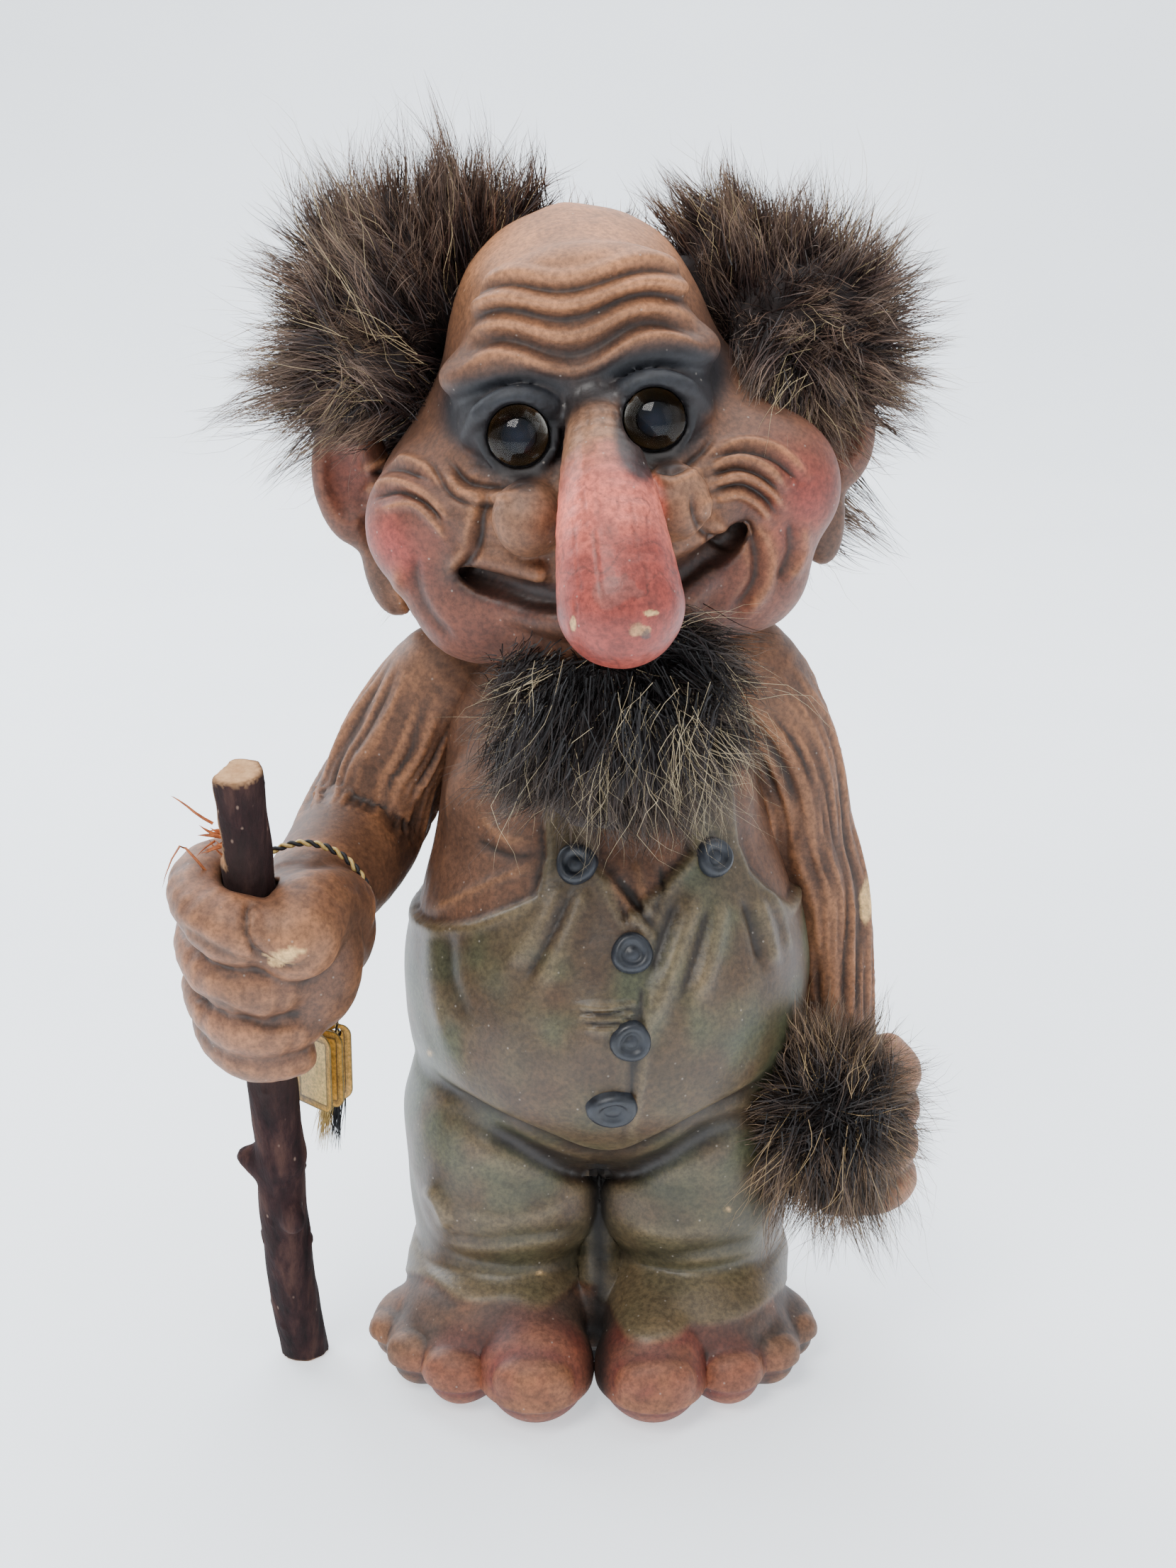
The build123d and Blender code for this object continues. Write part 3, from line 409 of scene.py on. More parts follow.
class Skin:
    """A surface that is being worked: its points, faces and the paint on it."""

    def __init__(self, points: Array, faces: Array) -> None:
        """Takes the points and four-cornered faces of a surface.

        Args:
            points: Rows of places.
            faces: Rows of four point numbers.
        """
        self.points = points
        self.faces = faces
        self.paint = np.zeros((len(points), 3))
        self.gloss = np.full(len(points), 0.5)

    def edges(self) -> Array:
        """Pairs of neighbouring point numbers."""
        rolled = np.roll(self.faces, -1, axis=1)
        return np.stack([self.faces.ravel(), rolled.ravel()], axis=1)

    def normals(self) -> Array:
        """Outward directions at the points.

        Returns:
            Rows of directions of length one.
        """
        a, b, c, d = [self.points[self.faces[:, k]] for k in range(4)]
        face_normals = np.cross(c - a, d - b)
        total = np.zeros_like(self.points)
        for k in range(4):
            for axis in range(3):
                total[:, axis] += np.bincount(self.faces[:, k], face_normals[:, axis], len(self.points))
        return unit(total)

    def averaged(self, values: Array) -> Array:
        """Each point's mean of its neighbours' values.

        Args:
            values: One value or row for each point.

        Returns:
            The means, shaped like the values.
        """
        pairs = self.edges()
        count = np.bincount(pairs[:, 0], minlength=len(self.points))
        columns = values.reshape(len(values), -1)
        mean = np.stack([np.bincount(pairs[:, 0], column[pairs[:, 1]], len(values)) for column in columns.T],
                        axis=1)
        return (mean / np.maximum(count, 1)[:, None]).reshape(values.shape)

    def relax(self, rounds: int, strength: float = 0.5) -> None:
        """Evens out the surface."""
        for _ in range(rounds):
            self.points = self.points + strength * (self.averaged(self.points) - self.points)

    def refine(self) -> None:
        """Splits every face in four, keeping the surface smooth."""
        count = len(self.points)
        pairs = np.sort(np.concatenate([self.faces[:, [k, (k + 1) % 4]] for k in range(4)]), axis=1)
        keys, back = np.unique(pairs[:, 0] * count + pairs[:, 1], return_inverse=True)
        middles = (self.points[keys // count] + self.points[keys % count]) / 2
        hearts = self.points[self.faces].mean(axis=1)
        sides = (back.reshape(4, -1) + count).T
        heart = np.arange(len(self.faces)) + count + len(keys)
        quads = [np.stack([self.faces[:, k], sides[:, k], heart, sides[:, k - 1]], axis=1) for k in range(4)]
        self.points = np.concatenate([self.points, middles, hearts])
        self.faces = np.concatenate(quads)
        self.paint = np.zeros((len(self.points), 3))
        self.gloss = np.full(len(self.points), 0.5)
        self.relax(1, 0.5)

    def push(self, amount: Array) -> None:
        """Moves the points along their outward directions."""
        self.points = self.points + self.normals() * amount[:, None]

    def hollows(self, rounds: int = 6) -> Array:
        """How far each point lies below its surroundings, in millimetres; ridges are below zero.

        Args:
            rounds: How wide the surroundings are, in rounds of averaging.

        Returns:
            One depth for each point.
        """
        around = self.points
        for _ in range(rounds):
            around = self.averaged(around)
        return np.einsum("ij,ij->i", around - self.points, self.normals())

    def tint(self, colour: Colour, amount: Array | float = 1.0) -> None:
        """Lays a colour over the paint, as thickly as the amount says."""
        share = np.clip(np.broadcast_to(amount, len(self.points)), 0, 1)[:, None]
        self.paint = self.paint * (1 - share) + np.array(colour) * share

    def make(self, name: str, finish: Material, body: Body, slot: str, replaces: tuple[str, ...] = ()
             ) -> Piece:
        """Makes the Blender object and hands it to the frame.

        Args:
            name: The object's name.
            finish: The material.
            body: The body that it rides on.
            slot: The record's material slot; not used.
            replaces: The CAD nodes that it stands for.

        Returns:
            The new object.
        """
        piece = mesh_piece(name, self.points, self.faces, finish, body, replaces)
        colours = np.concatenate([self.paint, self.gloss[:, None]], axis=1).astype(np.float32)
        attribute = piece.data.attributes.new("paint", "FLOAT_COLOR", "POINT")
        attribute.data.foreach_set("color", colours.ravel())
        return piece


def colour(red: int, green: int, blue: int) -> Colour:
    """A paint colour from 0 to 255 per channel, in the linear values that Blender works in."""
    return tuple(((c / 255 + 0.055) / 1.055) ** 2.4 if c > 10 else c / 255 / 12.92
                 for c in (red, green, blue))


def placed(name: str, data: bpy.types.ID) -> Piece:
    """Makes an object of a mesh, camera or lamp and links it to the scene.

    Args:
        name: The object's name.
        data: What the object shows.

    Returns:
        The new object.
    """
    made = bpy.data.objects.new(name, data)
    bpy.context.scene.collection.objects.link(made)
    return made


def mesh_piece(
    name: str, points: Array, faces: Array, finish: Material, body: Body,
    replaces: tuple[str, ...] = (), smooth: bool = True,
) -> Piece:
    """Makes a mesh object from points in millimetres and hands it to the frame.

    Args:
        name: The object's name.
        points: Rows of places in millimetres.
        faces: Rows of point numbers, all of one length, or a list of faces.
        finish: Its material.
        body: The body that it rides on.
        replaces: The CAD nodes that it stands for.
        smooth: True for a smooth surface.

    Returns:
        The new object.
    """
    mesh = bpy.data.meshes.new(name)
    if isinstance(faces, np.ndarray):
        corners = faces.shape[1]
        mesh.vertices.add(len(points))
        mesh.vertices.foreach_set("co", (np.asarray(points) * MM).astype(np.float32).ravel())
        mesh.loops.add(faces.size)
        mesh.loops.foreach_set("vertex_index", faces.astype(np.int32).ravel())
        mesh.polygons.add(len(faces))
        mesh.polygons.foreach_set("loop_start", np.arange(0, faces.size, corners, dtype=np.int32))
        mesh.update(calc_edges=True)
    else:
        mesh.from_pydata((np.asarray(points) * MM).tolist(), [], faces)
    mesh.validate()
    mesh.polygons.foreach_set("use_smooth", [smooth] * len(mesh.polygons))
    mesh.materials.append(finish)
    piece = placed(name, mesh)
    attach(piece, body.value)
    if replaces:
        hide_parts(*replaces)
    return piece


# Finishes


class Nodes:
    """Short calls for building one material's node tree."""

    def __init__(self, name: str) -> None:
        """Starts a material with its surface shader.

        Args:
            name: The material's name.
        """
        self.material = bpy.data.materials.new(name)
        self.material.use_nodes = True
        self.tree = self.material.node_tree
        self.shader = self.tree.nodes["Principled BSDF"]

    def node(self, kind: str, **values: object) -> bpy.types.Node:
        """Adds a node and sets its properties.

        Args:
            kind: The node's type.
            values: Properties by name.

        Returns:
            The new node.
        """
        made = self.tree.nodes.new(kind)
        for key, value in values.items():
            setattr(made, key, value)
        return made

    def link(self, source: Socket, target: Socket) -> None:
        """Joins an output to an input."""
        self.tree.links.new(source, target)

    def texture(self, kind: str, scale: float, stretch: Point) -> bpy.types.Node:
        """Adds a texture that lies in the object's own space; scale is in bumps to the metre.

        Args:
            kind: The node's type.
            scale: How many bumps go to the metre.
            stretch: How the pattern is squeezed along each axis.

        Returns:
            The new node.
        """
        place = self.node("ShaderNodeTexCoord")
        spread = self.node("ShaderNodeMapping")
        spread.inputs["Scale"].default_value = stretch
        self.link(place.outputs["Object"], spread.inputs["Vector"])
        made = self.node(kind)
        made.inputs["Scale"].default_value = scale
        self.link(spread.outputs["Vector"], made.inputs["Vector"])
        return made

    def noise(self, scale: float, detail: float = 4, rough: float = 0.55, stretch: Point = (1, 1, 1)
              ) -> Socket:
        """Soft mottling.

        Args:
            scale: How many bumps go to the metre.
            detail: How many finer layers it has.
            rough: How strong the finer layers are.
            stretch: How the pattern is squeezed along each axis.

        Returns:
            The pattern's value.
        """
        made = self.texture("ShaderNodeTexNoise", scale, stretch)
        made.inputs["Detail"].default_value = detail
        made.inputs["Roughness"].default_value = rough
        return made.outputs["Fac"]

    def cells(self, scale: float, stretch: Point = (1, 1, 1)) -> Socket:
        """Distances from the hearts of scattered cells, for flecks."""
        return self.texture("ShaderNodeTexVoronoi", scale, stretch).outputs["Distance"]

    def ramp(self, source: Socket, stops: list[tuple[float, Colour]]) -> Socket:
        """Colours along a value.

        Args:
            source: The output that it works on.
            stops: Places from zero to one, each with its colour.

        Returns:
            The colour.
        """
        made = self.node("ShaderNodeValToRGB")
        while len(made.color_ramp.elements) < len(stops):
            made.color_ramp.elements.new(0.5)
        for element, (place, tone) in zip(made.color_ramp.elements, stops):
            element.position = place
            element.color = (*tone, 1)
        self.link(source, made.inputs["Fac"])
        return made.outputs["Color"]

    def band(self, source: Socket, low: float, high: float, start: float = 0.0, end: float = 1.0
             ) -> Socket:
        """A value brought from one range to another.

        Args:
            source: The output that it works on.
            low: The value that becomes the start.
            high: The value that becomes the end.
            start: The new range's start.
            end: The new range's end.

        Returns:
            The new value.
        """
        made = self.node("ShaderNodeMapRange")
        for socket, value in (("From Min", low), ("From Max", high), ("To Min", start), ("To Max", end)):
            made.inputs[socket].default_value = value
        self.link(source, made.inputs["Value"])
        return made.outputs["Result"]

    def blend(self, share: Socket | float, first: Socket | Colour, second: Socket | Colour, mode: str = "MIX"
              ) -> Socket:
        """Mixes two colours by a share, each a socket or plain values.

        Args:
            share: The second colour's share.
            first: The first colour.
            second: The second colour.
            mode: How they are mixed.

        Returns:
            The mixed colour.
        """
        made = self.node("ShaderNodeMix", data_type="RGBA", blend_type=mode)
        for number, value in ((0, share), (6, first), (7, second)):
            if isinstance(value, (tuple, float)):
                made.inputs[number].default_value = (*value, 1) if isinstance(value, tuple) else value
            else:
                self.link(value, made.inputs[number])
        return made.outputs[2]

    def bump(self, height: Socket, distance: float, strength: float = 1.0,
             under: Socket | None = None) -> Socket:
        """Relief from a height, its distance in metres.

        Args:
            height: The height's output.
            distance: How far it rises.
            strength: How strongly it shows.
            under: Relief that it lies on.

        Returns:
            The surface's direction.
        """
        made = self.node("ShaderNodeBump")
        made.inputs["Strength"].default_value = strength
        made.inputs["Distance"].default_value = distance
        self.link(height, made.inputs["Height"])
        if under is not None:
            self.link(under, made.inputs["Normal"])
        return made.outputs["Normal"]

    def dress(self, base: Socket, rough: Socket | float,
              normal: Socket | None = None) -> Material:
        """Joins colour, roughness and relief to the shader.

        Args:
            base: The colour's output.
            rough: The roughness, an output or a plain value.
            normal: The relief's output.

        Returns:
            The finished material.
        """
        self.link(base, self.shader.inputs["Base Color"])
        if isinstance(rough, float):
            self.shader.inputs["Roughness"].default_value = rough
        else:
            self.link(rough, self.shader.inputs["Roughness"])
        if normal is not None:
            self.link(normal, self.shader.inputs["Normal"])
        return self.material


@dataclass(frozen=True)
class PaintedCasting:
    """Hand-painted cast clay: the paint laid on the surface, painted shade and highlights among it, with
    airbrush grain, dust and fine relief.
    """

    name: str
    grain: float = 900.0
    mottle: float = 90.0
    grain_depth: float = 0.00012
    shine: float = 0.0

    def make(self) -> Material:
        """Builds the material.

        Returns:
            The finished material.
        """
        nodes = Nodes(self.name)
        paint = nodes.node("ShaderNodeAttribute", attribute_name="paint")
        mottle = nodes.noise(self.mottle, 5, 0.6)
        grain = nodes.noise(self.grain, 3, 0.7)
        flecks = nodes.cells(300)
        tone = nodes.ramp(mottle, [(0.36, (0.78, 0.77, 0.76)), (0.5, (1, 1, 1)), (0.64, (1.18, 1.15, 1.12))])
        base = nodes.blend(1.0, paint.outputs["Color"], tone, "MULTIPLY")
        fine = nodes.ramp(grain, [(0.36, (0.5, 0.47, 0.45)), (0.5, (1, 1, 1)), (0.64, (1.5, 1.44, 1.38))])
        base = nodes.blend(nodes.band(grain, 0, 1, 0.55, 0.75), base, fine, "MULTIPLY")
        dust = nodes.band(flecks, 0.02, 0.09, 0.4, 0)
        base = nodes.blend(dust, base, (0.5, 0.44, 0.38))
        gloss = nodes.band(paint.outputs["Alpha"], 0, 1, 0.72 - self.shine, 0.3 - self.shine)
        relief = nodes.bump(grain, self.grain_depth, 0.6)
        relief = nodes.bump(mottle, 0.0005, 0.25, relief)
        return nodes.dress(base, gloss, relief)


@dataclass(frozen=True)
class FurFinish:
    """Fur that is dark at its roots and paler at its tips, each hair with a tone of its own."""

    name: str
    root: Colour
    middle: Colour
    tip: Colour
    pale: Colour

    def make(self) -> Material:
        """Builds the material; the map holds each hair's tone and the share of its length.

        Returns:
            The finished material.
        """
        nodes = Nodes(self.name)
        place = nodes.node("ShaderNodeUVMap", uv_map="OFBake")
        split = nodes.node("ShaderNodeSeparateXYZ")
        nodes.link(place.outputs["UV"], split.inputs["Vector"])
        along = nodes.ramp(split.outputs["Y"], [(0, self.root), (0.45, self.middle), (0.95, self.tip)])
        patch = nodes.band(nodes.noise(160, 3), 0.35, 0.7, 0, 0.5)
        along = nodes.blend(patch, along, self.root)
        bright = nodes.ramp(split.outputs["X"],
                            [(0, (0.42, 0.42, 0.42)), (0.5, (0.95, 0.95, 0.95)), (0.9, (1.9, 1.8, 1.65))])
        base = nodes.blend(1.0, along, bright, "MULTIPLY")
        pale = nodes.band(split.outputs["X"], 0.9, 0.93, 0, 1)
        base = nodes.blend(pale, base, self.pale)
        nodes.shader.inputs["Specular IOR Level"].default_value = 0.35
        return nodes.dress(base, 0.48)


@dataclass(frozen=True)
class BarkFinish:
    """Twig bark with pale flecks, fine cracks along it and darker patches."""

    name: str = "twig bark"

    def make(self) -> Material:
        """Builds the material.

        Returns:
            The finished material.
        """
        nodes = Nodes(self.name)
        paint = nodes.node("ShaderNodeAttribute", attribute_name="paint")
        streak = nodes.noise(260, 6, 0.65, (1, 1, 0.22))
        grain = nodes.noise(700, 4, 0.6, (1, 1, 0.15))
        patch = nodes.noise(45, 3)
        flecks = nodes.cells(330, (1, 1, 0.6))
        base = nodes.ramp(streak,
                          [(0.34, colour(20, 11, 13)), (0.5, colour(44, 27, 28)), (0.66, colour(72, 50, 45))])
        base = nodes.blend(nodes.band(patch, 0.45, 0.65, 0, 0.55), base, colour(48, 36, 33))
        base = nodes.blend(nodes.band(flecks, 0.03, 0.12, 0.9, 0), base, colour(126, 104, 92))
        wood = nodes.ramp(grain, [(0.3, (0.78, 0.72, 0.66)), (0.7, (1.08, 1.06, 1.04))])
        wood = nodes.blend(1.0, paint.outputs["Color"], wood, "MULTIPLY")
        base = nodes.blend(paint.outputs["Alpha"], wood, base)
        relief = nodes.bump(streak, 0.001, 1)
        relief = nodes.bump(flecks, 0.0003, 0.4, relief)
        nodes.shader.inputs["Specular IOR Level"].default_value = 0.2
        return nodes.dress(base, nodes.band(streak, 0.3, 0.7, 0.8, 1), relief)


@dataclass(frozen=True)
class GrainFinish:
    """A plain stuff with its own mottled grain: cut wood, card, thread or plug."""

    name: str
    dark: Colour
    light: Colour
    scale: float = 300.0
    stretch: Point = (1, 1, 1)
    rough: float = 0.6
    depth: float = 0.0001
    metal: float = 0.0

    def make(self) -> Material:
        """Builds the material.

        Returns:
            The finished material.
        """
        nodes = Nodes(self.name)
        grain = nodes.noise(self.scale, 5, 0.6, self.stretch)
        base = nodes.ramp(grain, [(0.32, self.dark), (0.68, self.light)])
        nodes.shader.inputs["Metallic"].default_value = self.metal
        rough = nodes.band(grain, 0.3, 0.7, self.rough - 0.08, self.rough + 0.1)
        return nodes.dress(base, rough, nodes.bump(grain, self.depth, 0.6))


@dataclass(frozen=True)
class EyeFinish:
    """A doll's eye: a dark brown iris with fine rays and an amber-dark rim, and a blue-grey painted
    reflection at its middle.
    """

    name: str
    centre: Point
    radius: float

    def make(self) -> Material:
        """Builds the material, its rings by distance from the eye's middle.

        Returns:
            The finished material.
        """
        nodes = Nodes(self.name)
        place = nodes.node("ShaderNodeTexCoord")
        shift = nodes.node("ShaderNodeVectorMath", operation="DISTANCE")
        nodes.link(place.outputs["Object"], shift.inputs[0])
        shift.inputs[1].default_value = tuple(c * MM for c in self.centre)
        rays = nodes.noise(900, 3)
        # the blue-grey middle is a painted reflection; outward come the dark pupil, the brown iris and the
        # amber-dark rim
        rings = nodes.ramp(
            nodes.band(shift.outputs["Value"], 0, self.radius * MM),
            [(0, colour(40, 50, 70)), (0.46, colour(18, 24, 36)), (0.54, colour(30, 24, 20)),
             (0.78, colour(58, 44, 26)), (0.9, colour(84, 66, 34)), (1, colour(10, 9, 8))],
        )
        base = nodes.blend(nodes.band(rays, 0.4, 0.75, 0, 0.2), rings, colour(60, 44, 22))
        nodes.shader.inputs["Specular IOR Level"].default_value = 0.1
        return nodes.dress(base, 0.6)


@dataclass(frozen=True)
class ClearFinish:
    """A clear dome with a faint smoky tint and tiny scratches."""

    name: str = "clear dome"

    def make(self) -> Material:
        """Builds the material.

        Returns:
            The finished material.
        """
        nodes = Nodes(self.name)
        haze = nodes.noise(700, 4)
        base = nodes.ramp(haze, [(0.3, (0.62, 0.58, 0.5)), (0.7, (0.74, 0.71, 0.66))])
        nodes.shader.inputs["Transmission Weight"].default_value = 1.0
        nodes.shader.inputs["IOR"].default_value = 1.3
        return nodes.dress(base, nodes.band(haze, 0.3, 0.8, 0.03, 0.12))


# Strokes: folds and creases drawn on the front


def draw_strokes(skin: Skin, rows: Rows, crease_shade: Colour, light: Colour) -> None:
    """Presses folds into a skin, with painted shade in the creases and a painted highlight on the ridges.

    Args:
        skin: The surface that is worked.
        rows: For each stroke its half breadth, its height or, below zero, its depth, and its course:
            places sideways and in height, as the camera sees them on the upright plane through the origin.
        crease_shade: The colour of the painted shade in the creases.
        light: The colour of the painted highlight on the ridges.
    """
    seen = seen_at(skin.points)
    facing = ease(0.05, 0.35, -skin.normals()[:, 1])
    total, dark, pale = np.zeros((3, len(seen)))
    for width, depth, *course in rows:
        places = np.reshape(course, (-1, 2))
        low, high = places.min(axis=0) - 3 * width, places.max(axis=0) + 3 * width
        near = np.all((seen > low) & (seen < high), axis=1) & (facing > 0)
        if near.any():
            gap, along = line_distance(seen[near], resample(places, 4 * len(places)))
            fade = ease(0, 0.2, along) * ease(0, 0.2, 1 - along)
            weight = bell(gap, width) * (0.25 + 0.75 * fade) * facing[near]
            total[near] += 1.1 * depth * weight
            paint = dark if depth < 0 else pale
            paint[near] = np.maximum(paint[near], weight * min(1, abs(depth)))
    skin.push(total)
    # painted shade in the creases, then a painted highlight on the ridges
    skin.tint(crease_shade, dark * 0.85)
    skin.tint(light, pale * 0.272)


def worn_spot(skin: Skin, row: tuple[float, ...], ragged: Array,
              fade: tuple[float, float] = (0.8, 1.1)) -> Array:
    """How strongly a worn spot shows at each point of a skin.

    Args:
        skin: The surface.
        row: The spot's place sideways and in height, as the camera sees it, and its two half sizes.
        ragged: Each point's factor for an uneven edge.
        fade: Where the edge starts and ends, as shares of the half sizes.

    Returns:
        A value from zero to one for each point.
    """
    x, height, wide, tall = row
    seen = seen_at(skin.points)
    gap = np.hypot((seen[:, 0] - x) / wide, (seen[:, 1] - height) / tall) * ragged
    return 1 - ease(*fade, gap)


def inside_distance(places: Array, outline: Array) -> Array:
    """Distance from an outline on a plane, below zero inside it.

    Args:
        places: Rows of places.
        outline: The outline's corners in order.

    Returns:
        One distance for each place.
    """
    best = np.full(len(places), 1e9)
    inside = np.zeros(len(places), bool)
    for first, second in zip(outline, np.roll(outline, -1, axis=0)):
        run = second - first
        share = np.clip((places - first) @ run / max(run @ run, 1e-9), 0, 1)
        best = np.minimum(best, norm(places - first - share[:, None] * run, axis=1))
        crossing = (first[1] > places[:, 1]) != (second[1] > places[:, 1])
        with np.errstate(divide="ignore", invalid="ignore"):
            at = first[0] + (places[:, 1] - first[1]) / (second[1] - first[1]) * run[0]
        inside ^= crossing & (places[:, 0] < at)
    return np.where(inside, -best, best)


# The paint box

SKIN = colour(92, 61, 43)
PALE_SKIN_AND_HIGHLIGHT = colour(182, 124, 82)
DARK_SKIN_AND_SHADE = colour(48, 31, 23)
ARM = colour(92, 61, 42)
ARM_SHADE = colour(40, 27, 20)
ROSY = colour(146, 54, 48)
NOSE = colour(208, 102, 84)
NOSE_TIP = colour(116, 40, 34)
SOCKET = colour(14, 17, 24)
SOCKET_LID_AND_HIGHLIGHT = colour(33, 38, 45)
LIP = colour(76, 40, 34)
MOUTH = colour(20, 12, 13)
CHIP = colour(210, 172, 116)
OLIVE = colour(74, 61, 41)
OLIVE_GREEN = colour(64, 70, 50)
OLIVE_BROWN = colour(64, 44, 30)
OLIVE_HIGHLIGHT = colour(106, 92, 68)
OLIVE_SHADE = colour(32, 25, 18)
TOE = colour(110, 45, 35)
TOE_OCHRE = colour(104, 64, 38)
GREY_DUST_AND_TOP_HIGHLIGHT = colour(88, 80, 74)
BROW_SHADE = colour(34, 28, 28)
NOSE_BRIDGE = colour(170, 118, 82)
BODY_HOLLOW_SHADE = colour(30, 22, 17)
FACE_HOLLOW_SHADE = colour(40, 26, 20)
KNUCKLE = colour(146, 98, 70)
THUMB = colour(128, 88, 54)
FIST_SIDE = colour(150, 98, 70)
FOOT = colour(64, 47, 37)
LEG_GAP_SHADE = colour(12, 9, 8)
EYE_RIM = colour(16, 16, 20)
NOSE_STAIN = colour(70, 60, 56)
CUT_WOOD = colour(206, 164, 122)
PEELED_WOOD = colour(216, 150, 98)
PEEL_EDGE = colour(150, 98, 62)
PITH = colour(176, 130, 88)
CUT_RIM = colour(150, 108, 74)
CARD_FRAME = colour(208, 158, 70)
CARD_LINE = colour(52, 54, 52)
CARD_SHADE = colour(120, 112, 84)
CARD_EDGE = colour(92, 84, 44)
CARD_FOLD = colour(196, 146, 62)
CARD_CREAM = colour(232, 196, 122)
CARD_GOLD = colour(214, 164, 72)


